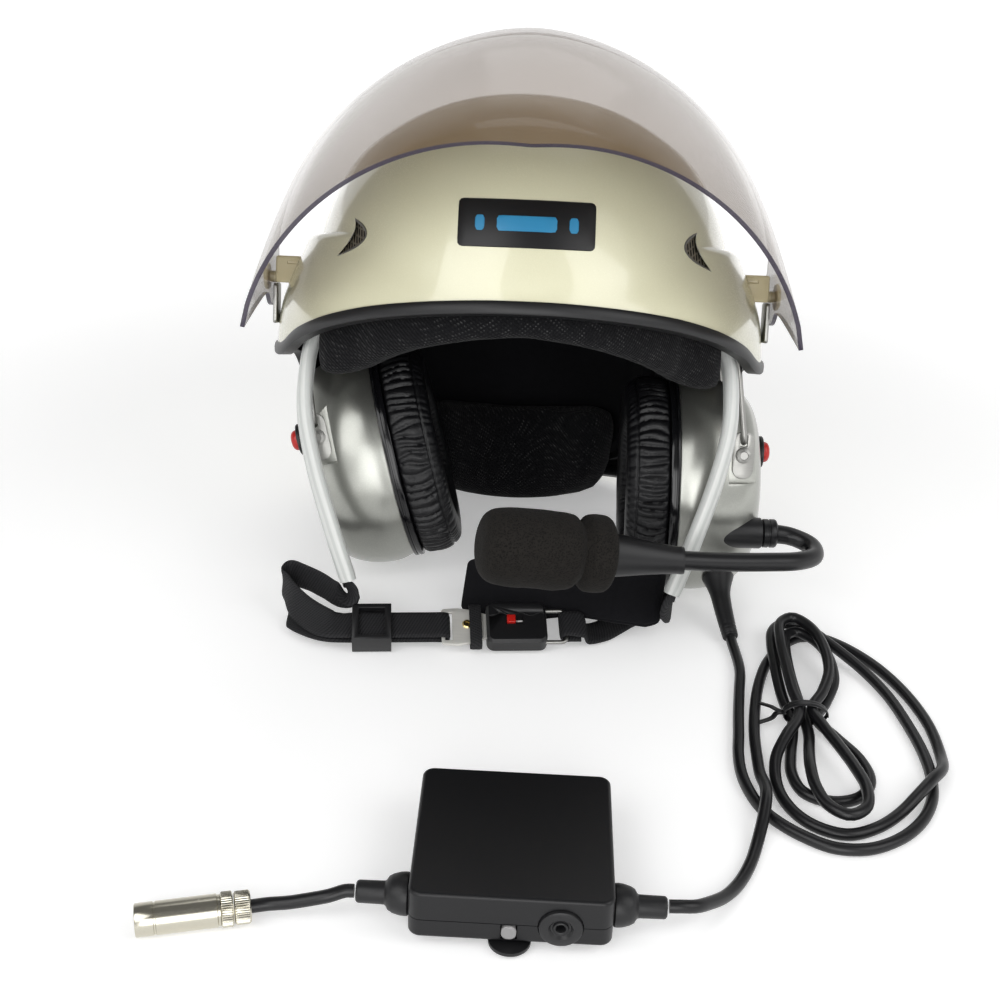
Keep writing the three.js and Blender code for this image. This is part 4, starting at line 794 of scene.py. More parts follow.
@dataclass(frozen=True)
class Finish:
    """One material: its colours, how it shines and its grain."""

    name: str
    colour: Colour
    shade: Colour
    grain: Grain
    rough: float
    rough_shift: float = 0.08
    metallic: float = 0.0
    coat: float = 0.0
    coat_rough: float = 0.05
    sheen: float = 0.0
    specular: float = 0.5
    bump: float = 0.2
    scale: float = 1.0
    alpha: float = 1.0
    ior: float = 1.5

    def _grain(self, tree: Tree) -> tuple[Signal, Signal, float]:
        """The grain's nodes.

        Args:
            tree: the material's nodes.

        Returns:
            A tone from 0 to 1, a height from 0 to 1, and the height's depth in metres; in the knit, leather, foam,
            twill, satin and wire grains the tone follows the height, which paints shade into the low places and, on the
            knit, glints onto the loop tops.
        """
        s = self.scale
        where = tree.places()
        broad = tree.noise(where, 0.035 * s, 3.0)
        match self.grain:
            case Grain.PEARL:
                fine = tree.cells(where, 0.0007 * s)
                return broad * 0.45 + fine * 0.55, tree.noise(where, 0.004 * s, 1.0), 0.00004
            case Grain.RUBBER:
                fine = tree.noise(where, 0.0009 * s, 3.0)
                return broad * 0.6 + fine * 0.4, fine, 0.0001
            case Grain.KNIT:
                x, y, z = tree.parts(where)
                rows = ((x * 0.9 + y * 0.5) * (2 * math.pi / (0.0023 * s))).sine()
                loops = (rows * ((z - y * 0.4) * (2 * math.pi / (0.0019 * s))).sine()) * 0.5 + 0.5
                yarn = tree.noise(where, 0.0006 * s, 2.0)
                patches = tree.noise(where, 0.005 * s, 3.0, 0.7)
                # The pale specks sit on the tops of the raised loops: painted glints of light on the yarn.
                specks = patches.window(0.44, 0.66) * loops.window(0.55, 0.95) * yarn.window(0.35, 0.62)
                return specks, loops * 0.75 + yarn * 0.25, 0.0008
            case Grain.VELOUR:
                nap = tree.noise(where, 0.0008 * s, 4.0, 0.7)
                return broad * 0.5 + nap * 0.5, nap, 0.0003
            case Grain.LEATHER:
                pores = tree.cells(where, 0.0013 * s)
                creases = tree.noise(where, 0.006 * s, 4.0, 0.65)
                # Tone and height both follow the pores, so the pore hollows are darker: painted shade, with a random
                # broad tone over it.
                return broad * 0.5 + pores * 0.5, pores.window(0.05, 0.55) * 0.55 + creases * 0.45, 0.00028
            case Grain.FLAKE:
                flake = tree.cells(where, 0.0005 * s)
                return broad * 0.55 + flake * 0.45, tree.noise(where, 0.003 * s, 1.0), 0.00003
            case Grain.FOAM:
                pores = tree.cells(where, 0.0009 * s)
                lumps = tree.noise(where, 0.0022 * s, 3.0)
                # Tone and height both follow the pores, so the open cells are darker where they sink: painted shade.
                return pores.window(0.1, 0.6) * 0.7 + lumps * 0.3, pores.window(0.0, 0.5) * 0.7 + lumps * 0.3, 0.0005
            case Grain.TWILL:
                u, v, _ = tree.parts(tree.spans())
                slant = ((v + u * 0.55) * (2 * math.pi / (0.0016 * s))).sine() * 0.5 + 0.5
                cross = (u * (2 * math.pi / (0.0011 * s))).sine() * 0.5 + 0.5
                weave = slant.window(0.12, 0.6) * 0.75 + cross * 0.25
                # The tone is the weave itself, darker in the grooves between the slanting ribs: painted shade, with a
                # random broad tone over it.
                return weave * 0.75 + broad * 0.25, weave, 0.00035
            case Grain.SATIN:
                u, v, _ = tree.parts(tree.spans())
                ribs = (u * (2 * math.pi / (0.0044 * s))).sine() * 0.5 + 0.5
                thread = (v * (2 * math.pi / (0.0009 * s))).sine() * 0.5 + 0.5
                # The tone follows the ribs, darker in the troughs between them: painted shade, with a random broad tone
                # over it.
                return ribs.window(0.1, 0.7) * 0.7 + broad * 0.3, ribs * 0.8 + thread * 0.2, 0.0003
            case Grain.BRUSHED:
                lines = tree.noise(tree.stretched(where, (1.0, 0.04, 0.04)), 0.012 * s, 3.0)
                return lines * 0.6 + broad * 0.4, lines, 0.00002
            case Grain.WIRE:
                x, y, z = tree.parts(where)
                across = ((x + z * 0.12) * (2 * math.pi / (0.0014 * s))).sine() * 0.5 + 0.5
                down = ((z - x * 0.12) * (2 * math.pi / (0.0031 * s))).sine() * 0.5 + 0.5
                wires = across.window(0.35, 0.8).most(down.window(0.75, 0.95) * 0.7)
                # The gaps between the wires are painted dark in place of holes: the dark inside behind them and painted
                # shade.
                return wires, wires, 0.0005
            case Grain.FILM:
                return broad, tree.noise(where, 0.03 * s, 1.0), 0.00004
            case _:
                fine = tree.noise(where, (0.0007 if self.grain is Grain.MOULDED else 0.01) * s, 2.0)
                return broad * 0.7 + fine * 0.3, fine, 0.00008

    def build(self) -> bpy.types.Material:
        """Makes the material once.

        Returns:
            The material, the same one each time.
        """
        known = bpy.data.materials.get(self.name)
        if known is not None and known.get("ready"):
            return known
        material = bpy.data.materials.new(self.name)
        material["ready"] = True
        tree = Tree(material)
        tone, height, depth = self._grain(tree)
        inputs: dict[object, object] = {
            # Where the grain's tone follows its height, this blend paints shade into the low places.
            "Base Color": tree.blend(tone, self.shade, self.colour),
            "Roughness": tone * (-self.rough_shift) + (self.rough + self.rough_shift / 2),
            "Metallic": self.metallic,
            "IOR": self.ior,
            "Specular IOR Level": self.specular,
            "Coat Weight": self.coat,
            "Coat Roughness": self.coat_rough,
            "Sheen Weight": self.sheen,
            "Alpha": self.alpha,
        }
        if self.bump > 0:
            raised = {"Height": height, "Strength": self.bump, "Distance": depth}
            inputs["Normal"] = tree.node("ShaderNodeBump", inputs=raised)
        tree.finish(tree.node("ShaderNodeBsdfPrincipled", inputs=inputs))
        return material


def dress(obj: bpy.types.Object, finish: Finish, *others: Finish) -> bpy.types.Object:
    """Gives a piece its finish, and further ones for the faces that name them.

    Args:
        obj: the piece.
        finish: its main finish.
        others: the further ones.

    Returns:
        The piece.
    """
    obj.data.materials.clear()
    for each in (finish, *others):
        obj.data.materials.append(each.build())
    return obj


SHELL_PEARL = Finish(
    "shell_pearl", (0.80, 0.785, 0.575), (0.73, 0.71, 0.50), Grain.PEARL, 0.27, rough_shift=0.03, coat=0.8,
    coat_rough=0.05, bump=0.1)
TRIM_RUBBER = Finish(
    "trim_rubber", (0.012, 0.012, 0.013), (0.006, 0.006, 0.007), Grain.RUBBER, 0.42, specular=0.4, bump=0.25)
CORE_FOAM = Finish("core_foam", (0.012, 0.012, 0.013), (0.005, 0.005, 0.006), Grain.FOAM, 0.95, specular=0.15, bump=0.4)
LINING = Finish(
    "lining_velour", (0.012, 0.012, 0.014), (0.004, 0.004, 0.005), Grain.VELOUR, 0.97, specular=0.12, sheen=0.05,
    bump=0.5)
PAD_KNIT = Finish(
    "pad_knit", (0.075, 0.075, 0.075), (0.006, 0.006, 0.007), Grain.KNIT, 0.95, specular=0.15, sheen=0.05, bump=0.8)
VISOR_FILM = Finish(
    "visor_film", (0.205, 0.130, 0.072), (0.170, 0.108, 0.060), Grain.FILM, 0.14, specular=0.2, bump=0.1,
    alpha=0.50)
VISOR_EDGE = Finish(
    "visor_edge", (0.040, 0.028, 0.060), (0.022, 0.015, 0.035), Grain.PLAIN, 0.25, bump=0.1, alpha=0.92)
VISOR_RIM = Finish(
    "visor_rim", (0.62, 0.60, 0.60), (0.50, 0.48, 0.49), Grain.PLAIN, 0.2, coat=0.4, bump=0.1, alpha=0.45)
STEEL = Finish(
    "bright_steel", (0.39, 0.385, 0.365), (0.25, 0.25, 0.24), Grain.BRUSHED, 0.36, metallic=1.0, bump=0.2)
TONGUE_STEEL = Finish(
    "tongue_steel", (0.78, 0.77, 0.72), (0.60, 0.59, 0.56), Grain.BRUSHED, 0.42, metallic=0.35, bump=0.2)
CUP_SILVER = Finish(
    "cup_silver", (0.44, 0.445, 0.41), (0.30, 0.305, 0.28), Grain.FLAKE, 0.30, rough_shift=0.04, metallic=0.85,
    coat=0.3, coat_rough=0.1, bump=0.08)
BLACK_PLASTIC = Finish(
    "black_moulding", (0.013, 0.013, 0.014), (0.006, 0.006, 0.007), Grain.MOULDED, 0.38, specular=0.4, bump=0.3)
GLOSS_PLASTIC = Finish(
    "gloss_lip", (0.007, 0.007, 0.008), (0.004, 0.004, 0.005), Grain.PLAIN, 0.14, specular=0.45, bump=0.05)
LEATHER = Finish(
    "cushion_leather", (0.009, 0.009, 0.010), (0.004, 0.004, 0.005), Grain.LEATHER, 0.38, rough_shift=0.14,
    specular=0.3, bump=0.5)
SPEAKER_CLOTH = Finish(
    "speaker_cloth", (0.016, 0.016, 0.018), (0.005, 0.005, 0.006), Grain.VELOUR, 0.95, specular=0.15, bump=0.5)
BUTTON_RED = Finish("button_red", (0.62, 0.020, 0.014), (0.44, 0.010, 0.008), Grain.MOULDED, 0.28, bump=0.15)
FOAM_BLACK = Finish(
    "windscreen_foam", (0.022, 0.020, 0.018), (0.005, 0.005, 0.005), Grain.FOAM, 0.98, specular=0.06, sheen=0.04,
    bump=0.7)
SLEEVE_SATIN = Finish(
    "sleeve_satin", (0.75, 0.765, 0.74), (0.58, 0.60, 0.58), Grain.SATIN, 0.34, rough_shift=0.06, sheen=0.2, bump=0.3)
WEBBING = Finish(
    "webbing_black", (0.022, 0.022, 0.024), (0.004, 0.004, 0.005), Grain.TWILL, 0.72, specular=0.3, bump=0.7)
CABLE_BLACK = Finish(
    "cable_black", (0.008, 0.008, 0.009), (0.005, 0.005, 0.006), Grain.RUBBER, 0.34, specular=0.42, bump=0.12)
BOX_BLACK = Finish(
    "box_black", (0.008, 0.008, 0.009), (0.005, 0.005, 0.006), Grain.MOULDED, 0.36, specular=0.35, bump=0.3, scale=0.8)
BOARD_GREEN = Finish("board_green", (0.012, 0.10, 0.03), (0.006, 0.06, 0.018), Grain.PLAIN, 0.45, bump=0.1)
LIGHT_LENS = Finish("light_lens", (0.34, 0.33, 0.33), (0.20, 0.20, 0.20), Grain.PLAIN, 0.22, coat=0.4, bump=0.1)
NICKEL = Finish(
    "nickel", (0.66, 0.63, 0.54), (0.46, 0.44, 0.36), Grain.BRUSHED, 0.20, metallic=1.0, bump=0.2, scale=0.5)
BRASS = Finish("brass", (0.74, 0.60, 0.30), (0.54, 0.42, 0.20), Grain.PLAIN, 0.24, metallic=1.0, bump=0.1)
PIVOT_CREAM = Finish(
    "pivot_cream", (0.72, 0.64, 0.42), (0.58, 0.50, 0.30), Grain.MOULDED, 0.30, coat=0.3, bump=0.15)
WIRE_CLOTH = Finish(
    "wire_cloth", (0.34, 0.31, 0.25), (0.016, 0.014, 0.010), Grain.WIRE, 0.35, metallic=0.7, bump=0.8)
TIE_BLACK = Finish("tie_black", (0.010, 0.010, 0.011), (0.006, 0.006, 0.007), Grain.MOULDED, 0.30, bump=0.2)
# A pale strip beside the buckle's red tab: a painted highlight along the slot's edge.
SLOT_HIGHLIGHT_WHITE = Finish("mark_white", (0.75, 0.75, 0.74), (0.66, 0.66, 0.65), Grain.PLAIN, 0.5, bump=0.05)
PLATE_BLACK = Finish(
    "plate_black", (0.010, 0.010, 0.011), (0.006, 0.006, 0.007), Grain.MOULDED, 0.34, specular=0.4, bump=0.1)
PLATE_BLUE = Finish("plate_blue", (0.03, 0.27, 0.50), (0.02, 0.20, 0.40), Grain.PLAIN, 0.4, bump=0.05)


# Places


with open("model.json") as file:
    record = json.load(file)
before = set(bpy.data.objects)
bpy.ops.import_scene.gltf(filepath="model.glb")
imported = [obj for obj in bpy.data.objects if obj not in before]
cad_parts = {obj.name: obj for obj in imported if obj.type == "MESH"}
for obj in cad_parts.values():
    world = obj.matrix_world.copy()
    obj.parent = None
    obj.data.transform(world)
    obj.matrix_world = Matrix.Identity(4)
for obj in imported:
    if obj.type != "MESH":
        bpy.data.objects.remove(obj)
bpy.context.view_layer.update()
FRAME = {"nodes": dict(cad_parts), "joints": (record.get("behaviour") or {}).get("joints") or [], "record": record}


class Side(Enum):
    """The helmet's two sides, as seen from the front."""

    RIGHT = 1
    LEFT = -1

    @property
    def word(self) -> str:
        """The side's name in the pieces' names."""
        return self.name.lower()


class Frames:
    """The frames that the pieces are drawn in, as places in the model."""

    TILT = math.radians(20)
    SWING = {Side.RIGHT: math.radians(-1), Side.LEFT: math.radians(15)}

    def __init__(self) -> None:
        """Reads the visor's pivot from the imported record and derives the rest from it."""
        pivot = next(j for j in FRAME["joints"] if j["name"] == "visor_hinge")["pos_m"]
        scale = Matrix.Scale(MM, 4)
        self.head = Matrix.Translation(pivot) @ Matrix.Rotation(-self.TILT, 4, "X") @ scale
        self.table = Matrix.Translation((pivot[0], pivot[1], 0.0)) @ scale
        self.visor = self.head @ Matrix.Rotation(math.radians(-58), 4, "X")
        self.chain = (
            self.table @ Matrix.Translation((4, -103, 10.5)) @ Matrix.Rotation(math.radians(5), 4, "Z")
            @ Matrix.Rotation(math.radians(22), 4, "X"))
        self.box = self.table @ Matrix.Translation((4.5, -281, 5)) @ Matrix.Rotation(math.radians(-1), 4, "Z")
        self.plug = (
            self.table @ Matrix.Translation((-98.5, -308.5, 7.1)) @ Matrix.Rotation(math.radians(13.5), 4, "Z"))

    def yoke(self, side: Side) -> Matrix:
        """The frame of one yoke, mirrored on the left.

        Args:
            side: which side.

        Returns:
            The frame's place.
        """
        s = side.value
        hinge = self.head @ Matrix.Translation((s * 112, 12, -27)) @ Matrix.Rotation(s * self.SWING[side], 4, "Y")
        return hinge @ Matrix.Diagonal((s, 1, 1, 1))

    def cup(self, side: Side) -> Matrix:
        """The frame of one ear cup, mirrored on the left."""
        return self.yoke(side) @ Matrix.Translation((-27, 0, -75))

    def flank(self, side: Side) -> Matrix:
        """The head's frame, mirrored on the left."""
        return self.head @ Matrix.Diagonal((side.value, 1, 1, 1))

    def points(self, matrix: Matrix, points: Places) -> Places:
        """A line's points in the model."""
        return np.array([tuple(matrix @ Vector(p)) for p in points])


FRAMES = Frames()


def settle(
    obj: bpy.types.Object, matrix: Matrix, finish: Finish, body: str, slot: str, *nodes: str,
) -> bpy.types.Object:
    """Places, dresses and seats a finished piece.

    Args:
        obj: the piece, drawn in its own frame.
        matrix: that frame's place in the model.
        finish: its finish.
        body: the body that it rides on.
        slot: the record's material slot; not used.
        nodes: the CAD nodes that it stands for.

    Returns:
        The piece.
    """
    place(obj, matrix)
    if not obj.data.materials:
        dress(obj, finish)
    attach(obj, body)
    if nodes:
        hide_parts(*nodes)
    LOG.info("%s: %d faces", obj.name, len(obj.data.polygons))
    return obj


@dataclass
class Studio:
    """The pale floor, the soft lamps and the camera."""

    eye: Point = (-7.0, -754.0, 430.0)
    pitch: float = 28.0
    roll: float = 2.4
    lens: float = 54.0
    floor_half: float = 3.0
    lamps: tuple[tuple[Point, float, float], ...] = (
        ((-0.70, -0.95, 0.95), 0.9, 6.5),
        ((0.85, -0.65, 0.85), 0.8, 4.5),
        ((0.1, 0.75, 1.2), 0.9, 3.0),
        ((0.0, -1.35, 0.42), 0.8, 6.0),
    )
    aim: Point = (0.0, -0.1, 0.08)
    ambient: float = 0.42
    ceiling: float = 0.22
    ceiling_from: float = 0.28
    ceiling_to: float = 0.62

    def build(self) -> None:
        """Makes the camera, the floor, the lamps and the world."""
        self.camera()
        self.floor()
        for i, (at, size, power) in enumerate(self.lamps):
            self.lamp(i, at, size, power)
        self.world()
        view = bpy.context.scene.view_settings
        view.view_transform = "Standard"

    def camera(self) -> None:
        """Stands the camera where the photograph was taken from."""
        a, b = math.radians(self.pitch), math.radians(self.roll)
        ahead = Vector((0, math.cos(a), -math.sin(a)))
        right, up = Vector((1, 0, 0)), Vector((0, math.sin(a), math.cos(a)))
        x = right * math.cos(b) + up * math.sin(b)
        y = up * math.cos(b) - right * math.sin(b)
        data = bpy.data.cameras.new("camera")
        data.lens, data.sensor_width, data.clip_start = self.lens, 36.0, 0.01
        obj = bpy.data.objects.new("camera", data)
        turn = Matrix((x, y, -ahead)).transposed().to_4x4()
        obj.matrix_world = Matrix.Translation(FRAMES.table @ Vector(self.eye)) @ turn
        bpy.context.scene.collection.objects.link(obj)
        bpy.context.scene.camera = obj

    def seen(self, tree: Tree) -> Signal:
        """1 for what the camera, gloss or glass sees, and 0 for light that falls on the object.

        Args:
            tree: the nodes that it is made among.

        Returns:
            The value.
        """
        path = tree.node("ShaderNodeLightPath", take_from="Is Camera Ray")
        rays = path.socket.node.outputs
        glossy, through = (Signal(tree, rays[name]) for name in ("Is Glossy Ray", "Is Transmission Ray"))
        return path.most(glossy).most(through)

    def floor(self) -> None:
        """The plain pale floor."""
        deselect()
        bpy.ops.mesh.primitive_plane_add(size=2 * self.floor_half, location=(0, 0, 0))
        obj = bpy.context.active_object
        obj.name = obj.data.name = "floor"
        material = bpy.data.materials.new("floor")
        tree = Tree(material)
        lit = tree.node("ShaderNodeBsdfDiffuse", inputs={"Color": (0.86, 0.86, 0.86)})
        away = tree.node("ShaderNodeVectorMath", {"operation": "LENGTH"}, {0: tree.places()}, "Value").window(0.3, 1.1)
        glow = tree.node(
            "ShaderNodeEmission", inputs={"Color": (1.0, 1.0, 1.0), "Strength": self.seen(tree) * (away * 0.75 + 0.34)})
        tree.finish(tree.node("ShaderNodeAddShader", inputs={0: lit, 1: glow}))
        obj.data.materials.append(material)

    def lamp(self, number: int, at: Point, size: float, power: float) -> None:
        """One soft square lamp that faces the object.

        Args:
            number: its number, for its name.
            at: its place.
            size: its width.
            power: its power.
        """
        data = bpy.data.lights.new(f"lamp_{number}", "AREA")
        data.size, data.energy = size, power
        obj = bpy.data.objects.new(data.name, data)
        way = Vector(self.aim) - Vector(at)
        obj.matrix_world = Matrix.Translation(at) @ way.to_track_quat("-Z", "Y").to_matrix().to_4x4()
        bpy.context.scene.collection.objects.link(obj)

    def world(self) -> None:
        """A surrounding that shows white, with a darker ceiling for gloss, and lights the object at a lower level."""
        world = bpy.data.worlds.new("world")
        bpy.context.scene.world = world
        tree = Tree(world, "ShaderNodeOutputWorld")
        path = tree.node("ShaderNodeLightPath", take_from="Is Camera Ray")
        rays = path.socket.node.outputs
        glossy, through = (Signal(tree, rays[name]) for name in ("Is Glossy Ray", "Is Transmission Ray"))
        _, _, up = tree.parts(tree.node("ShaderNodeTexCoord", take_from="Generated"))
        ceiling = 1 - up.window(self.ceiling_from, self.ceiling_to) * (1 - self.ceiling)
        level = path.most(through) * (1 - self.ambient) + self.ambient
        level = level * (1 - glossy) + ceiling * glossy
        tree.finish(tree.node("ShaderNodeBackground", inputs={"Strength": level}))


# Cords


RELIEF_PATH = (
    (111, -63.5, 21.5), (112, -74, 15.8), (114, -84.5, 9.4), (115.5, -92, 5.6), (116, -95, 4.5))
LEAD_PATH = (
    (116.1, -96.2, 4.2), (116.4, -99.5, 3.5), (117.2, -107, 2.9), (117.6, -123, 2.9), (115, -142, 2.9),
    (112.5, -160, 2.9), (110.5, -177, 2.9), (108.5, -193, 2.9), (108.3, -207, 2.9), (110.5, -220, 2.9),
    (114.5, -231, 2.9), (120.5, -239.5, 2.9), (130, -248, 2.9), (142, -254.5, 2.9), (157, -254.5, 2.9),
    (172, -247, 2.9), (184, -235, 2.9), (192, -220, 2.9), (195.5, -204, 2.9), (196, -187, 2.9), (194, -167, 2.9),
    (188.5, -140, 3.2), (179.5, -120, 4.6), (169.5, -106, 6.6), (163.3, -98.9, 8))
HANK_TOP = (
    (163.1, -98.6, 8.1), (161, -96.2, 8.6), (156, -91, 9.1), (149.5, -87, 9.2), (142, -88.5, 9.2),
    (137, -95.5, 9.2), (135, -107, 9.2), (134.6, -120, 8.2), (134.8, -135, 5.6), (135.8, -150, 3.6))
LOWER_LOOPS = (
    ((136.3, -175, 3), (133, -191, 3), (131.4, -206, 3), (135, -218.5, 3), (146.5, -224, 3), (159, -220.5, 3),
     (166.5, -209, 3), (165, -193, 3), (157, -177, 3)),
    ((143.8, -176, 3.6), (141, -192, 6.5), (138.8, -207, 9.2), (138.8, -222, 9.6), (142.5, -234.5, 9.4),
     (150.5, -240, 9.2), (158.6, -235, 9.4), (161.4, -222, 9.7), (159, -207, 9.6), (155, -192, 9.3),
     (150.2, -176, 9)))
UPPER_LOOPS = (
    ((156.5, -149, 3.6), (163, -133, 6), (162.2, -114, 9), (157, -101, 9.2), (149.5, -94.6, 9.2),
     (143.6, -99, 9.2), (141.6, -112, 8.6), (141.8, -130, 5.6), (143.2, -149, 3.4)),
    ((154, -149, 10), (159.6, -133, 12.2), (159, -113, 15.2), (154.4, -97.5, 15.4), (147.5, -90.6, 15.4),
     (140.6, -96, 15.4), (138.3, -112, 15), (138.6, -130, 12.6), (139.8, -149, 9.6)))
HANK_LEAVE = (
    (137.6, -173, 9.2), (131.4, -184, 9.2), (125, -197, 5.6), (123.4, -211, 3), (125, -224, 2.9), (131, -236, 2.9),
    (139.5, -243, 2.9), (150, -245.6, 2.9), (163, -240.5, 2.9), (175.5, -230.5, 3.6), (185.5, -221, 7.4),
    (193, -212.6, 9.1), (200, -202.5, 7.2), (203.4, -189, 3.6), (203.6, -163, 2.9), (197.5, -136, 2.9),
    (187.5, -114, 2.9), (175.5, -98.5, 2.9), (166, -91, 2.9), (161.5, -89, 2.9), (157.4, -88.8, 2.9))
TAIL_PATH = (
    (155.4, -89.2, 2.9), (152, -90.4, 2.9), (147, -94, 2.9), (139.6, -103, 2.9), (131.6, -117, 2.9),
    (125, -137, 2.9), (120.6, -158, 2.9), (118, -177, 2.9), (117, -194, 2.9), (116.6, -207, 3.6), (116.8, -220, 7),
    (115.4, -231, 9), (112.6, -243, 7), (108.8, -255, 3.4), (104.5, -267, 2.9), (98.5, -279, 3.2),
    (91.5, -289.5, 5.4), (83.5, -298.6, 9.6), (76.8, -304.6, 13), (71.4, -306, 14), (66.3, -306.2, 14))
PLUG_LEAD = (
    (-58, -304.9, 14), (-61.4, -305, 13.9), (-68, -306.8, 12.6), (-76, -307, 10.4), (-84, -307, 8.4),
    (-92, -307, 7.2), (-97.6, -308.3, 7.1), (-103, -309.6, 7.1))


@dataclass
class Cords:
    """The cable from the cup through its tied hank to the box, its strain relief, and the connector's lead."""

    radius: float = 2.75
    waist: Point = (144.0, -162.0, 0.0)
    gap: float = 6.0
    low: float = 3.0
    high: float = 8.9

    def route(self) -> Places:
        """The whole cable's middle line on the table.

        Returns:
            The line's points.
        """
        x, y, _ = self.waist
        passes = [
            (x + dx, y, z) for dx, z in (
                (-self.gap, self.low), (self.gap, self.low), (0, self.low), (self.gap / 2, self.high),
                (-self.gap / 2, self.high))]
        knots = [*HANK_TOP, passes[0]]
        for turn, (lower, upper) in enumerate(zip(LOWER_LOOPS, UPPER_LOOPS)):
            knots += [*lower, passes[2 * turn + 1], *upper, passes[2 * turn + 2]]
        knots += HANK_LEAVE
        lead, hank, tail = (Course(k).even(n) for k, n in ((LEAD_PATH, 120), (knots, 420), (TAIL_PATH, 96)))
        return np.concatenate([lead[:-1], hank[1:-1], tail[1:]])

    def tube(self, name: str, line: Places) -> bpy.types.Object:
        """A smooth tube along a line on the table.

        Args:
            name: its name.
            line: the line.

        Returns:
            The tube.
        """
        made = carried(name, line, lambda t: oval(self.radius, self.radius, 14))
        place(made, FRAMES.table)
        return dress(made, CABLE_BLACK)

    def build(self, box_pieces: Sequence[object], plug_pieces: Sequence[object]) -> None:
        """Makes both cords, with the strain relief and the twist tie.

        Args:
            box_pieces: what the long cable ends in; not used.
            plug_pieces: what the short lead ends in; not used.
        """
        relief = self.relief()
        line = self.route()
        main = self.tube("main_cable", line)
        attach(main, "helmet")
        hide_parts("main_cable_lead", "main_cable_coil", "main_cable_tail")
        lead_line = Course(PLUG_LEAD).even(40)
        lead = self.tube("connector_lead", lead_line)
        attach(lead, "helmet")
        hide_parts("connector_cable")
        self.tie()

    def relief(self) -> bpy.types.Object:
        """The tapered rubber sleeve where the cable leaves the cup.

        Returns:
            The piece.
        """
        shares = Course([(i, s) for i, s in enumerate((1, 0.78, 0.63, 0.58, 0.55, 0.53, 0.52, 0.5, 0.49, 0.48))])
        line = Course(RELIEF_PATH).run(54)
        made = carried(
            "cable_relief", line, lambda t: oval(*(2 * [8.5 * shares.at(t)[1] * self.ring(t)]), 28), degrees=50)
        return settle(made, FRAMES.table, TRIM_RUBBER, "cup_right", "cable_rubber", "cable_strain_relief")

    def ring(self, t: float) -> float:
        """The shallow rings near the sleeve's end."""
        return 1.0 - 0.05 * smoothstep(t, 0.55, 0.62) * (0.5 + 0.5 * math.cos(t * 2 * math.pi * 14))

    def tie(self) -> None:
        """The twist tie round the hank's waist, with its two ends."""
        x, y, _ = self.waist
        turns = np.linspace(0.0, 2 * math.pi * 1.9, 90)
        ring = [
            (x + 10.6 * math.cos(a), y + 3.2 * (a / (3.8 * math.pi) - 0.5), max(0.7, 6.1 + 6.4 * math.sin(a)))
            for a in turns]
        hoop = carried("twist_tie", np.array(ring), lambda t: oval(1.6, 0.5, 10), np.tile((0.0, 1.0, 0.0), (90, 1)))
        ends = []
        for i, (dx, dy, dz) in enumerate(((-13, 5, 1.0), (-15, -4, -1.5))):
            line = Course([
                (x - 10.5, y, 6), (x - 14, y + dy * 0.2, 6.6 + dz * 0.4), (x - 16, y + dy * 0.6, 6 + dz),
                (x + dx - 8, y + dy * 1.4, 5 + dz)]).run(24)
            ends.append(carried(f"tie_end_{i}", line, lambda t: oval(1.6, 0.5, 10)))
        settle(joined("twist_tie", hoop, *ends), FRAMES.table, TIE_BLACK, "helmet", "cable_rubber")


# Shell and its linings


def profile_line(shares: Sequence[Point], fine: int = 12) -> Places:
    """A revolved body's side line, drawn smooth through its shares."""
    return Course(shares).run((len(shares) - 1) * fine)


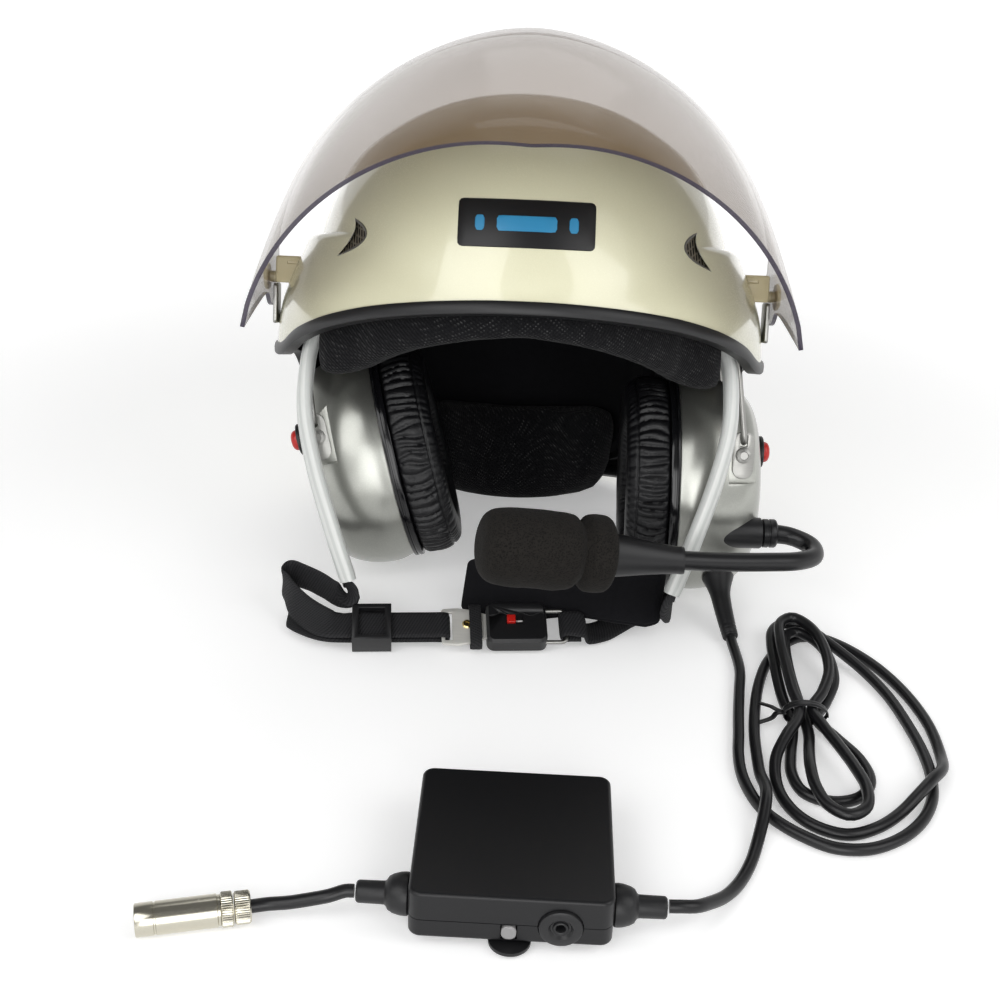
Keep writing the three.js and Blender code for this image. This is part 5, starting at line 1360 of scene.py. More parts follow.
@dataclass
class Dome:
    """The shell's outside in the head's frame: a dome, and a wider band over the ears."""

    crown: float = 100.0
    back: float = 20.0
    half_width: float = 112.0
    half_length: float = 138.0
    band_width: float = 130.0
    band_length: float = 141.0
    brow_level: float = -11.5
    side_level: float = -38.5
    nape_level: float = -113.0
    ear_back: float = 46.0
    band_top_share: float = 0.2254
    banded: bool = True
    columns: int = 240
    dome_line: Places = field(default_factory=lambda: profile_line((
        (0, 1), (0.2, 0.985), (0.4, 0.93), (0.6, 0.82), (0.79, 0.65), (0.92, 0.4), (0.975, 0.15), (1, -0.25),
        (0.985, -0.6), (0.92, -1), (0.78, -1.5))))
    band_line: Places = field(default_factory=lambda: profile_line((
        (0.83, 0.2255), (0.865, 0.225), (0.885, 0.205), (0.9, 0.16), (0.94, 0.04), (0.98, -0.11), (1, -0.32),
        (0.985, -0.6), (0.93, -0.95), (0.79, -1.5))))

    def spread(self, line: Places, height: float) -> float:
        """How wide a side line is at a height share."""
        return float(np.interp(-height, -line[:, 1], line[:, 0]))

    def reach(self, turn: float, height: float, grow: float) -> float:
        """How far the outside stands from the axis.

        Args:
            turn: the way round, 0 in front and a quarter turn on the right.
            height: above the pivot.
            grow: how far the body is grown all over.

        Returns:
            The distance.
        """
        s, c = math.sin(turn), math.cos(turn)

        def ring(share: float, half_width: float, half_length: float) -> float:
            """How far out an oval of these half sizes is, this way round."""
            a, b = share * (half_width + grow), share * (half_length + grow)
            return 1.0 / math.sqrt((s / max(a, 1e-6)) ** 2 + (c / max(b, 1e-6)) ** 2)

        level = height / self.crown
        level -= grow * min(max(level / 0.2, 0.0), 1.0) / self.crown
        dome = ring(self.spread(self.dome_line, level), self.half_width, self.half_length)
        if not self.banded or level > self.band_top_share:
            return dome
        band = ring(self.spread(self.band_line, level), self.band_width, self.band_length)
        soft = 2.0
        gap = band - dome
        if abs(gap) < soft:
            return max(band, dome) + (soft - abs(gap)) ** 2 / (4 * soft)
        return max(band, dome)

    def point(self, turn: float, height: float, grow: float) -> np.ndarray:
        """A place on the outside."""
        r = self.reach(turn, height, grow)
        return np.array((r * math.sin(turn), self.back - r * math.cos(turn), height))

    def rim_height(self, y: float, lift: tuple[float, float, float] = (0, 0, 0)) -> float:
        """The rim's height at a place along the head, from brow to nape.

        Args:
            y: the place.
            lift: how far the brow, side and nape are lifted.

        Returns:
            The height.
        """
        brow, side, nape = self.brow_level + lift[0], self.side_level + lift[1], self.nape_level + lift[2]
        front = ((0, 0), (0.245, 0.2), (0.457, 0.41), (0.7, 0.685), (0.83, 0.89), (0.915, 0.975), (1, 1))
        rear = ((0, 0), (0.22, 0.06), (0.38, 0.25), (0.52, 0.55), (0.68, 0.82), (0.84, 0.96), (1, 1))
        ys = [mix(-118, -24, a) for a, _ in front] + [mix(self.ear_back, 98, a) for a, _ in rear]
        zs = [mix(brow, side, b) for _, b in front] + [mix(side, nape, b) for _, b in rear]
        return float(np.interp(y, ys, zs))

    def rim_of(self, turn: float, grow: float, lift: tuple[float, float, float] = (0, 0, 0)) -> float:
        """The height at which one column meets the rim.

        Args:
            turn: the column's way round.
            grow: how far the body is grown.
            lift: as rim_height takes it.

        Returns:
            The height.
        """
        high, low = 15.0, -140.0
        for _ in range(40):
            middle = (high + low) / 2
            y = self.point(turn, middle, grow)[1]
            if middle > self.rim_height(y, lift):
                high = middle
            else:
                low = middle
        return (high + low) / 2

    def turns(self) -> list[float]:
        """The columns' turns round the head."""
        return [2 * math.pi * i / self.columns for i in range(self.columns)]

    def rows(self, grow: float, lift: tuple[float, float, float] = (0, 0, 0), lower: int = 34) -> list[Places]:
        """Rings of points from near the crown down to the rim.

        Args:
            grow: how far the body is grown.
            lift: as rim_height takes it.
            lower: how many rings lead from the ledge down to the rim.

        Returns:
            The rings.
        """
        top = self.crown + grow
        ledge = 0.225 * self.crown + grow
        upper = [ledge + 0.6 + (top - 0.15 - ledge - 0.6) * math.cos(math.pi / 2 * i / 30) for i in range(31)]
        upper += [ledge, ledge - 0.15, ledge - 0.7, ledge - 1.6, ledge - 2.8, ledge - 4.5] if self.banded else []
        rims = [self.rim_of(t, grow, lift) for t in self.turns()]
        rings = [np.array([self.point(t, z, grow) for t in self.turns()]) for z in upper]
        start = upper[-1]
        for i in range(1, lower + 1):
            rings.append(np.array([
                self.point(t, mix(start, rim, i / lower), grow) for t, rim in zip(self.turns(), rims)]))
        return rings

    def shell_of(
        self, name: str, outer: float, inner: float, lift: tuple[float, float, float] = (0, 0, 0),
        push: Callable[[Places], Places] | None = None, degrees: float = 30.0,
    ) -> bpy.types.Object:
        """A closed shell between two grown copies of the outside.

        Args:
            name: the piece's name.
            outer: how far its outer face is grown.
            inner: how far its inner face is grown.
            lift: how far its rim is raised at brow, side and nape.
            push: moves the inner face's points.
            degrees: the angle past which an edge stays a crease.

        Returns:
            The piece, in the head's frame.
        """
        out, within = self.rows(outer, lift), self.rows(inner, lift)
        if push is not None:
            within = [push(ring) for ring in within]
        made = skin(name, [*out, *reversed(within)], degrees=degrees)
        return made


def swept_rim(
    name: str, dome: Dome, section: Sequence[Point], grow: float = 0.0, degrees: float = 40.0,
) -> bpy.types.Object:
    """A section of [out, up] points carried round the rim.

    Args:
        name: the piece's name.
        dome: the body whose rim it follows.
        section: the section's points.
        grow: how far the rim's line lies outside the body.
        degrees: the angle under which its faces are smoothed.

    Returns:
        The piece.
    """
    turns = dome.turns()
    heights = [dome.rim_of(t, grow) for t in turns]
    rim = np.array([dome.point(t, z, grow) for t, z in zip(turns, heights)])
    for _ in range(2):
        rim = (np.roll(rim, 1, axis=0) + 2 * rim + np.roll(rim, -1, axis=0)) / 4
    along = unit(np.roll(rim, -1, axis=0) - np.roll(rim, 1, axis=0))
    rings = []
    for i, (t, z) in enumerate(zip(turns, heights)):
        step = 0.5
        wide = dome.point(t, z + step, grow) - dome.point(t, z - step, grow)
        round_ = dome.point(t + 0.004, z, grow) - dome.point(t - 0.004, z, grow)
        out = unit(np.cross(round_, wide))
        up = unit(np.cross(out, along[i]))
        if up[2] < 0 and abs(up[2]) > 0.2:
            up = -up
        rings.append(np.array([rim[i] + a * out + b * up for a, b in section]))
    return skin(name, rings, looped=True, degrees=degrees)


@dataclass
class HelmetShell:
    """The lacquered shell with its vents, rubber edge, foam liner, lining and pivot blocks."""

    wall: float = 3.5
    vent: Point = (84.0, 0.0, 20.0)
    vent_size: float = 20.0
    pivot_end: float = 129.5
    pivot_low: float = -3.0
    pivot_high: float = 11.0
    pivot_half: float = 8.0
    screw_at: float = 133.56
    screw_radius: float = 7.0
    dome: Dome = field(default_factory=Dome)

    def build(self) -> None:
        """Makes all of it."""
        self.shell()
        self.trim()
        self.linings()
        for side in Side:
            self.vent_mesh(side)
            self.pivot(side)
        self.badge()

    def crescent(self, share: float, steps: int = 14) -> list[tuple[float, float]]:
        """The right vent's outline in the frame's X and Z.

        Args:
            share: its size about its middle, 1 for the whole of it.
            steps: how many stretches each of its two curves has.

        Returns:
            The outline's points.
        """
        middle, tip, tail, outer, inner = (-0.2, 0.04), (-0.05, 0.45), (0.35, -0.45), (-0.9, 0.0), (-0.2, 0.15)

        def at(p: Point) -> np.ndarray:
            """A share of the vent's size as a place, shrunk about its middle.

            Args:
                p: the share.

            Returns:
                The place.
            """
            return np.array((
                self.vent[0] + mix(middle[0], p[0], share) * self.vent_size,
                self.vent[2] + mix(middle[1], p[1], share) * self.vent_size))

        def curve(a: Point, b: Point, c: Point) -> list[tuple[float, float]]:
            """A curve from a to c that b pulls on, without its last point.

            Args:
                a: its start.
                b: what pulls on it.
                c: its end.

            Returns:
                Its points.
            """
            p, q, r = at(a), at(b), at(c)
            out = []
            for i in range(steps):
                t = i / steps
                out.append(tuple((1 - t) ** 2 * p + 2 * t * (1 - t) * q + t * t * r))
            return out

        return curve(tip, outer, tail) + curve(tail, inner, tip)

    def front_face(self, x: float, z: float, grow: float) -> float:
        """How far forward the outside is at a place seen from the front.

        Args:
            x: the place's width.
            z: its height.
            grow: how far the body is grown.

        Returns:
            The place's Y.
        """
        low, high = 0.0, math.pi / 2
        for _ in range(32):
            turn = (low + high) / 2
            if self.dome.point(turn, z, grow)[0] < abs(x):
                low = turn
            else:
                high = turn
        return float(self.dome.point((low + high) / 2, z, grow)[1])

    def shell(self) -> None:
        """The shell, with the two crescent vents cut through it."""
        made = self.dome.shell_of("shell_skin", 0.0, -self.wall)
        dress(made, SHELL_PEARL, CORE_FOAM)
        columns = self.dome.columns
        outside = len(made.data.vertices) // 2
        for face in made.data.polygons:
            face.material_index = int(min(face.vertices) >= outside - columns)
        cutters = []
        for side in Side:
            outline = self.crescent(1.0)
            rings = [np.array([(side.value * x, y, z) for x, z in outline]) for y in (-160.0, -30.0)]
            cutters.append(skin("vent_cutter", rings))
        carve(made, *cutters)
        smooth(made, 28)
        settle(made, FRAMES.head, SHELL_PEARL, "helmet", "pearl_shell", "shell")

    def trim(self) -> None:
        """The rubber channel over the shell's rim."""
        out, under, up, inside = 1.6, 1.5, 4.6, -self.wall - 1.6
        section = (
            (inside + 0.6, -under), (out - 0.7, -under), (out, -under + 0.8), (out + 0.1, 2.0), (out - 0.1, up - 1.1),
            (out - 0.7, up), (inside + 0.7, up), (inside, up - 0.9), (inside, -under + 0.8))
        rubber = swept_rim("rim_rubber", self.dome, section)
        settle(rubber, FRAMES.head, TRIM_RUBBER, "helmet", "rubber_trim", "edge_trim")

    def linings(self) -> None:
        """The foam liner and the quilted lining inside it."""
        bare = Dome(banded=False, ear_back=52.0, columns=168)
        foam = bare.shell_of("foam_liner", -self.wall - 1.3, -self.wall - 18.3, (8.0, 25.0, 12.0), degrees=50)
        settle(foam, FRAMES.head, CORE_FOAM, "helmet", "eps_foam", "impact_liner")

        def quilt(ring: Places) -> Places:
            """Swells the inner face between its seams, and leaves the seams where they are.

            Args:
                ring: one ring's points.

            Returns:
                The swollen ring.
            """
            out = []
            for x, y, z in ring:
                turn = math.atan2(x, self.dome.back - y)
                swell = abs(math.sin(turn * 4)) ** 0.45 * (0.35 + 0.65 * abs(math.sin(z * math.pi / 62)) ** 0.5)
                r = math.hypot(x, y - self.dome.back)
                pull = 1 - 1.8 * (swell - 0.9) / max(r, 12.0)
                out.append((x * pull, self.dome.back + (y - self.dome.back) * pull, z - 0.8 * (swell - 0.9)))
            return np.array(out)

        cloth = bare.shell_of("head_lining", -22.5, -28.6, (12.0, 29.0, 16.0), quilt, degrees=60)
        settle(cloth, FRAMES.head, LINING, "helmet", "lining_cloth", "comfort_lining")

    def vent_mesh(self, side: Side) -> None:
        """The woven grille in one vent, with its bright rim.

        Args:
            side: which vent.
        """
        s = side.value
        rings = []
        for share in (0.02, 0.3, 0.6, 0.86):
            rings.append(np.array([
                (s * x, self.front_face(x, z, 0.0) + 1.3, z) for x, z in self.crescent(share)]))
        back = [ring + np.array((0.0, 1.6, 0.0)) for ring in rings]
        grille = skin(f"vent_grille_{side.word}", [*rings, *reversed(back)])
        settle(grille, FRAMES.head, WIRE_CLOTH, "helmet", "bright_steel", f"vent_mesh_{side.word}")
        line = np.array([(s * x, self.front_face(x, z, 0.0) + 0.1, z) for x, z in self.crescent(0.97)])
        rings = []
        middle = line.mean(axis=0)
        for p in line:
            inward = unit(middle - p)
            rings.append(np.array([
                p + inward * 0.75 * math.cos(a) + np.array((0, 1, 0)) * 0.75 * math.sin(a)
                for a in np.linspace(0, 2 * math.pi, 8, endpoint=False)]))
        rim = skin(f"vent_rim_{side.word}", rings, looped=True)
        settle(rim, FRAMES.head, STEEL, "helmet", "bright_steel")

    def pivot(self, side: Side) -> None:
        """The block on the shell's side that carries the visor, its screw and the bright plate below.

        Args:
            side: which side of the shell.
        """
        w = side.word
        inner = 104.0
        body = block(
            f"pivot_block_{w}", (inner, -self.pivot_half, self.pivot_low),
            (self.pivot_end, self.pivot_half, self.pivot_high), 1.3, 3)
        slot = block(
            "slot", (inner + 4, -self.pivot_half - 2, 6.6), (self.pivot_end - 6, -self.pivot_half + 1.4, 8.4), 0.4, 2)
        carve(body, slot)
        smooth(body, 30)
        settle(body, FRAMES.flank(side), PIVOT_CREAM, "helmet", "pearl_shell")
        r = self.screw_radius
        head = turned(f"pivot_screw_{w}", [
            (0, -4), (3, -4), (3, 0), (r - 0.5, 0), (r, 0.4), (r, 1.3), (r - 0.4, 2.0), (r - 1.5, 2.5),
            (3.4, 2.6), (3.2, 1.2), (0, 1.2)])
        place(head, Matrix.Translation((self.screw_at + 0.1, 0, 0)))
        settle(head, FRAMES.flank(side), PIVOT_CREAM, "helmet", "pearl_shell", f"visor_pivot_screw_{w}")
        plate = refined(f"visor_hinge_plate_{w}", f"hinge_plate_{w}", 0.5, 2)
        dress(plate, STEEL)
        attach(plate, "helmet")

    def sheet_on(
        self, name: str, low: Point, high: Point, stand: float, counts: tuple[int, int] = (30, 12),
    ) -> bpy.types.Object:
        """A thin plate bent over the front of the shell.

        Args:
            name: the piece's name.
            low: its lowest [x, z].
            high: its highest [x, z].
            stand: how far its face stands in front of the shell.
            counts: the faces across and up.

        Returns:
            The plate, in the head's frame.
        """
        across, up = counts
        corner = 2.2
        rings = []
        for j in range(up + 1):
            share = (1 - math.cos(math.pi * j / up)) / 2
            z = mix(low[1], high[1], share)
            near = min(z - low[1], high[1] - z, corner) / corner
            inset = corner * (1 - math.sqrt(max(0.0, 1 - (1 - near) ** 2)))
            front, rear = [], []
            for i in range(across + 1):
                x = mix(low[0] + inset, high[0] - inset, i / across)
                edge = min(1.0, min(j, up - j, i, across - i) / 1.0)
                y = self.front_face(x, z, 0.0)
                front.append((x, y - stand * (0.4 + 0.6 * edge), z))
                rear.append((x, y + 0.6, z))
            rings.append(np.array(front + rear[::-1]))
        return skin(name, rings, degrees=30)

    def badge(self) -> None:
        """The plain black plate on the brow, with three short bars in place of any words."""
        plate = self.sheet_on("brow_plate", (-31.5, 17.0), (31.5, 39.0), 0.7)
        settle(plate, FRAMES.head, PLATE_BLACK, "helmet", "black_plastic")
        bars = [
            self.sheet_on(f"bar_{i}", (x, 24.2), (x + wide, 31.8), 0.95, (8, 6))
            for i, (x, wide) in enumerate(((-24.0, 5.0), (-16.0, 32.0), (19.0, 5.0)))]
        settle(joined("brow_plate_bars", *bars), FRAMES.head, PLATE_BLUE, "helmet", "black_plastic")


@dataclass
class HeadPads:
    """The knitted brow pad and neck roll."""

    back: float = 20.0
    outline: Places = field(default_factory=lambda: np.array((
        (0.15, 0), (0.5, -0.02), (0.85, 0), (1, 0.16), (1.03, 0.5), (1, 0.84), (0.85, 1), (0.5, 1.02), (0.15, 1),
        (0, 0.84), (-0.04, 0.5), (0, 0.16), (0.15, 0))))

    def roll(
        self, name: str, half: Point, thickness: float, turns: Point, top: Callable[[float], float],
        bottom: Callable[[float], float], lean: float, steps: int, flare: float = 0.0,
    ) -> bpy.types.Object:
        """A soft roll that follows the head round.

        Args:
            name: the piece's name.
            half: the half width and half length of its outside.
            thickness: through the roll.
            turns: where it starts and ends, in degrees.
            top: its top at a share from the middle to an end.
            bottom: its bottom at such a share.
            lean: how far its bottom leans inwards.
            steps: how many stretches it has.
            flare: how far its low ends spread outwards under the rim.

        Returns:
            The piece.
        """
        section = Course(self.outline).run(44)[:-1]
        rings = []
        for i in range(steps + 1):
            t = i / steps
            turn = math.radians(mix(turns[0], turns[1], t))
            share = abs(2 * t - 1)
            closing = math.sqrt(max(0.0, 1 - share ** 14))
            ring = []
            for a, b in section:
                height = mix(bottom(share), top(share), mix(0.5, b, closing))
                lump = noise.noise(Vector((turn * 9, a * 2.3, b * 2.9))) * 0.9 * closing
                spread = flare * smoothstep(share, 0.72, 0.99) * smoothstep(-height, -top(1.0), 7 - top(1.0))
                out = mix(-thickness, 0, mix(0.5, a, closing)) + lean * (1 - b) - max(0.0, lump) + spread
                ring.append((
                    (half[0] + out) * math.sin(turn), self.back - (half[1] + out) * math.cos(turn),
                    height + lump * 0.5))
            rings.append(np.array(ring))
        return skin(name, rings, degrees=60)

    def build(self) -> None:
        """Makes both pads."""
        brow = self.roll(
            "brow_knit", (107, 131.6), 13, (-63, 63), lambda t: mix(-7.5, -14.4, t),
            lambda t: mix(-23.5, -54, t ** 1.7), 0.0, 120, 11.0)
        puffed(brow, 3.0, 0.7)
        settle(brow, FRAMES.head, PAD_KNIT, "helmet", "lining_cloth", "brow_pad")
        nape = self.roll(
            "nape_knit", (82.6, 99.4), 26.5, (128, 232), lambda t: mix(-72, -68, t),
            lambda t: mix(-126, -112, t * t), -7.0, 96)
        puffed(nape, 4.0, 0.9)
        settle(nape, FRAMES.head, PAD_KNIT, "helmet", "lining_cloth", "neck_roll")


@dataclass
class Visor:
    """The clear visor, drawn closed and then raised."""

    top: float = 27.5
    bottom: float = -113.0
    top_width: float = 132.0
    bottom_width: float = 138.0
    top_reach: float = 129.0
    bottom_reach: float = 139.0
    bulge: float = 17.0
    sheet: float = 2.2
    power: float = 1.82
    soft: float = 0.0016
    top_drop: float = 20.0
    bottom_rise: float = 24.0
    last_turn: float = 72.0
    ear: tuple[Point, ...] = (
        (-25, 10, -86), (-18, 11.6, -66), (-11, 13.2, -44), (-5, 14.4, -26), (0, 15, -16), (5, 14.1, -14.1),
        (9, 12, -12), (12.5, 8.3, -8.3), (14.7, 3, -3))

    def eased(self, share: float) -> float:
        """A share raised to the outline's power, rounded near nought."""
        return (share + self.soft) ** (1 / self.power)

    def size_at(self, z: float) -> tuple[float, float, float, float]:
        """The visor's half width and reach at a height, and how fast each changes.

        Args:
            z: the height.

        Returns:
            The half width, the reach and how fast each changes.
        """
        span = self.top - self.bottom
        t = (self.top - z) / span
        width = mix(self.top_width, self.bottom_width, t)
        reach = mix(self.top_reach, self.bottom_reach, t) + self.bulge * (1 - (2 * t - 1) ** 2)
        reach_rate = (self.top_reach - self.bottom_reach - 2 * self.bulge * (2 - 4 * t)) / span
        return width, reach, (self.top_width - self.bottom_width) / span, reach_rate

    def pair(self, x_share: float | None, back: float, turn: float | None, z: float) -> tuple[np.ndarray, np.ndarray]:
        """A place on the outer face and the same place on the inner one.

        Args:
            x_share: the place's share of the half width, on the ears.
            back: how far behind the pivot it is, on the ears.
            turn: the way round, on the curved front.
            z: its height.

        Returns:
            The outer place and the inner one.
        """
        p = self.power
        width, reach, width_rate, reach_rate = self.size_at(z)
        if turn is not None:
            x = width * math.copysign(abs(math.sin(turn)) ** (2 / p), turn)
            y = -reach * max(0.0, math.cos(turn)) ** (2 / p)
        else:
            x, y = width * x_share, back
            if y < 0:
                x *= (1 - (-y / reach) ** p) ** (1 / p)
        xs, ys = abs(x) / width, max(0.0, -y) / reach
        normal = unit(np.array((
            math.copysign(xs ** (p - 1), x) / width, -(ys ** (p - 1)) / reach,
            -(xs ** p * width_rate) / width - (ys ** p * reach_rate) / reach)))
        outer = np.array((x, y, z))
        return outer, outer - normal * self.sheet

    def build(self) -> None:
        """Makes the sheet with its flat-cut edge and end caps."""
        rows = 30
        columns: list[tuple[float | None, float, float | None, float, float]] = []
        ears = Course(self.ear).run(40)
        for back, top, bottom in reversed(ears):
            columns.append((-1.0, float(back), None, float(top), float(bottom)))
        last = math.radians(self.last_turn)
        for i in range(121):
            turn = mix(-last, last, i / 120)
            share = (self.eased(math.sin(turn) ** 2) - self.eased(0.0)) / (self.eased(1.0) - self.eased(0.0))
            columns.append((
                None, 0.0, turn, self.top - self.top_drop * share ** 1.4, self.bottom + self.bottom_rise * share))
        for back, top, bottom in ears:
            columns.append((1.0, float(back), None, float(top), float(bottom)))
        rings = []
        for x_share, back, turn, top, bottom in columns:
            pairs = [self.pair(x_share, back, turn, mix(top, bottom, i / rows)) for i in range(rows + 1)]
            rings.append(np.array([p for p, _ in pairs] + [q for _, q in reversed(pairs)]))
        made = skin("visor_sheet", rings, degrees=50)
        dress(made, VISOR_FILM, VISOR_EDGE, VISOR_RIM)
        size = 2 * (rows + 1)
        for face in made.data.polygons:
            slots = {v % size for v in face.vertices}
            if slots == {rows, rows + 1}:
                face.material_index = 1
            elif slots == {0, size - 1} or len(face.vertices) > 4:
                face.material_index = 2
        settle(made, FRAMES.visor, VISOR_FILM, "visor", "clear_visor", "visor_shield")


# Headset


def oval_ring(
    name: str, half: Point, steps: int, section: Callable[[float], Places], degrees: float = 40.0,
) -> bpy.types.Object:
    """A section carried round an upright oval in the Y and Z directions.

    Args:
        name: the piece's name.
        half: the oval's half width and half height.
        steps: how many stretches go round.
        section: gives the [out, along X] points at a share of the way round.
        degrees: the angle past which an edge stays a crease.

    Returns:
        The ring.
    """
    rings = []
    for i in range(steps):
        angle = 2 * math.pi * i / steps
        s = section(i / steps)
        rings.append(np.stack([
            s[:, 1], (half[0] + s[:, 0]) * math.cos(angle), (half[1] + s[:, 0]) * math.sin(angle)], axis=1))
    return skin(name, rings, looped=True, degrees=degrees)


@dataclass
class EarCup:
    """One ear cup with its cushion, plate, yoke wire, bracket and button."""

    side: Side
    half_width: float = 42.0
    half_height: float = 56.0
    depth: float = 46.0
    wall: float = 2.6
    flat: Point = (25.0, 33.0, 5.0)
    pleats: int = 74
    per_pleat: int = 7
    open_half: Point = (21.0, 33.0)
    pad_half: Point = (43.0, 57.0)
    pad_start: float = -5.3
    pad_depth: float = 22.0
    wire: float = 1.5
    button_rise: float = 18.0

    @property
    def word(self) -> str:
        """The side's name in the pieces' names."""
        return self.side.word

    @property
    def body(self) -> str:
        """The body that the cup rides on."""
        return f"cup_{self.word}"

    def put(self, obj: bpy.types.Object, finish: Finish, slot: str, *nodes: str) -> bpy.types.Object:
        """Settles a piece in the cup's frame."""
        return settle(obj, FRAMES.cup(self.side), finish, self.body, slot, *nodes)

    def build(self) -> None:
        """Makes all of it."""
        self.shell()
        self.plate()
        self.cushion()
        self.speaker()
        self.bracket()
        self.button()
        self.yoke()

    def dome(self, name: str, grow: float, foot: float) -> bpy.types.Object:
        """The cup's domed body, grown all over, closed across its foot.

        Args:
            name: its name.
            grow: how far it is grown.
            foot: where its foot lies; at or above nought it starts just over the plate instead.

        Returns:
            The body.
        """
        line = profile_line((
            (1, 0), (1.035, 0.16), (1.03, 0.36), (0.99, 0.56), (0.9, 0.76), (0.74, 0.9), (0.42, 0.985), (0, 1)), 9)
        profile = [(0, foot), (1, foot)] if foot < 0 else [(0, 0.3)]
        profile += [(max(0.0, float(r)), 0.3 + float(h) * (self.depth + grow)) for r, h in line]
        made = turned(name, profile, 96)
        return place(made, Matrix.Diagonal((1, self.half_width + grow, self.half_height + grow, 1)))

    def flats(self, shrink: float) -> list[bpy.types.Object]:
        """The two blocks that flatten the cup under its brackets.

        Args:
            shrink: how far they are moved in.

        Returns:
            The blocks.
        """
        x, y, z = (v - shrink for v in self.flat)
        far = 90
        return [
            block(f"flat_{way}", (x, min(way * y, way * far), z), (far, max(way * y, way * far), far))
            for way in (-1, 1)]

    def shell(self) -> None:
        """The silver dome, hollow, with its flats and its button hole."""
        outer = carve(self.dome("cup_skin", 0.0, 0.0), *self.flats(0.0))
        modify(
            outer, "BEVEL", width=1.1, segments=3, limit_method="ANGLE", angle_limit=math.radians(42),
            use_clamp_overlap=True)
        inner = carve(self.dome("cup_hollow", -self.wall, -4.0), *self.flats(self.wall))
        hole = turned("button_hole", [(0, 36), (7.5, 36), (7.5, 60), (0, 60)], 40)
        place(hole, Matrix.Translation((0, 0, self.button_rise)))
        carve(outer, inner, hole)
        outer.name = outer.data.name = f"cup_dome_{self.word}"
        smooth(outer, 30)
        self.put(outer, CUP_SILVER, "silver_cup", f"ear_cup_{self.word}")
        screw = turned(f"cup_screw_{self.word}", [
            (0, -3), (1.5, -3), (1.5, 0), (2.5, 0), (2.6, 0.7), (1.9, 1.2), (0.5, 1.3), (0.4, 0.7), (0, 0.7)], 24)
        turn = Matrix.Rotation(math.radians(-72), 4, "Z")
        place(screw, Matrix.Translation((27.5, -36.6, -9)) @ turn)
        self.put(screw, STEEL, "bright_steel")

    def plate(self) -> None:
        """The gloss plate behind the cushion, with its groove."""
        section = np.array((
            (0, -0.8), (0, -1.7), (-0.8, -1.95), (-0.8, -2.75), (0, -3.0), (0, -4.3), (-0.25, -4.8), (-0.8, -5),
            (-17.6, -5), (-18, -4.6), (-18, -0.3), (-17.7, 0), (-0.8, 0), (-0.25, -0.25)))
        made = oval_ring(f"cup_lip_{self.word}", (self.half_width + 2, self.half_height + 2), 120, lambda t: section)
        self.put(made, GLOSS_PLASTIC, "black_plastic", f"cup_plate_{self.word}")

    def cushion(self) -> None:
        """The padded ring: smooth faces, a sewn seam, and small tucks drawn in all round its walls."""
        knots = (
            (0.1, 0), (0.5, 0.0), (0.9, 0), (0.985, 0.08), (1.02, 0.3), (1.03, 0.52), (0.985, 0.72), (0.955, 0.775),
            (0.93, 0.83), (0.82, 0.95), (0.66, 1.0), (0.48, 1.005), (0.3, 0.97), (0.12, 0.85), (0.0, 0.64),
            (-0.02, 0.4), (0.02, 0.15), (0.1, 0))
        outline = Course(knots).run(64)[:-1]
        rings = []
        steps = self.pleats * self.per_pleat
        for i in range(steps):
            angle = 2 * math.pi * i / steps
            way = (math.cos(angle), math.sin(angle))
            ring = []
            for across, deep in outline:
                drift = noise.noise(Vector((way[0] * 5.2, way[1] * 5.2, deep * 1.6 + self.side.value)))
                place_ = i / self.per_pleat + 0.75 * drift
                number = math.floor(place_)
                near = 2 * min(place_ - number, 1 - place_ + number)
                chance = noise.noise(Vector((number * 1.7, 3.1, self.side.value)))
                length = noise.noise(Vector((number * 2.3, 9.4, deep * 2.2)))
                tuck = (1 - near) ** 2.0 * max(0.15, 0.85 + 1.1 * chance + 0.7 * length)
                wall = smoothstep(across, 0.8, 0.97) * smoothstep(deep, 0.0, 0.12) * (1 - smoothstep(deep, 0.6, 0.86))
                face = smoothstep(across, 0.66, 0.93) * smoothstep(deep, 0.76, 0.9)
                inside = (1 - smoothstep(across, 0.02, 0.3)) * smoothstep(deep, 0.1, 0.5)
                seam = math.exp(-((across - 0.955) ** 2 + (deep - 0.775) ** 2) / 0.0006)
                wave = noise.noise(Vector((way[0] * 2.4, way[1] * 2.4, across * 1.3 + deep)))
                out = (0.3 * near - 1.3 * tuck) * wall - 0.6 * tuck * face - 0.8 * seam + 0.6 * wave
                out += 0.8 * tuck * inside
                y = (mix(self.open_half[0], self.pad_half[0], across) + out) * way[0]
                z = (mix(self.open_half[1], self.pad_half[1], across) + out) * way[1]
                sink = 0.6 * tuck * face + 0.3 * wave * smoothstep(deep, 0.5, 0.9) + 0.5 * seam
                ring.append((self.pad_start - deep * self.pad_depth + sink, y, z))
            rings.append(np.array(ring))
        made = skin(f"cushion_{self.word}", rings, looped=True, degrees=75)
        self.put(made, LEATHER, "black_leather", f"ear_cushion_{self.word}")

    def speaker(self) -> None:
        """The cloth-covered speaker inside the cushion."""
        profile = [
            (0, -7.6), (8, -7.5), (15, -7.0), (19, -6.0), (21.3, -4.0), (22, -2.0), (22, 2.2), (25.2, 2.2), (25.4, 2.3),
            (0, 2.3)]
        made = turned(f"speaker_cover_{self.word}", profile, 64)
        rim = np.array(((0, 0.3), (0, 2.3), (-5, 2.3), (-5, 0.3)))
        flange = oval_ring("flange", (29, 41), 64, lambda t: rim)
        cloth = turned("cloth", [(0, -1.2), (0.9, -1.1), (1.0, 0.4), (1.0, 1.4), (0, 1.4)], 64)
        place(cloth, Matrix.Diagonal((1, 28.6, 40.6, 1)))
        self.put(
            joined(f"speaker_cover_{self.word}", made, flange, cloth), SPEAKER_CLOTH, "black_plastic",
            f"speaker_{self.word}")

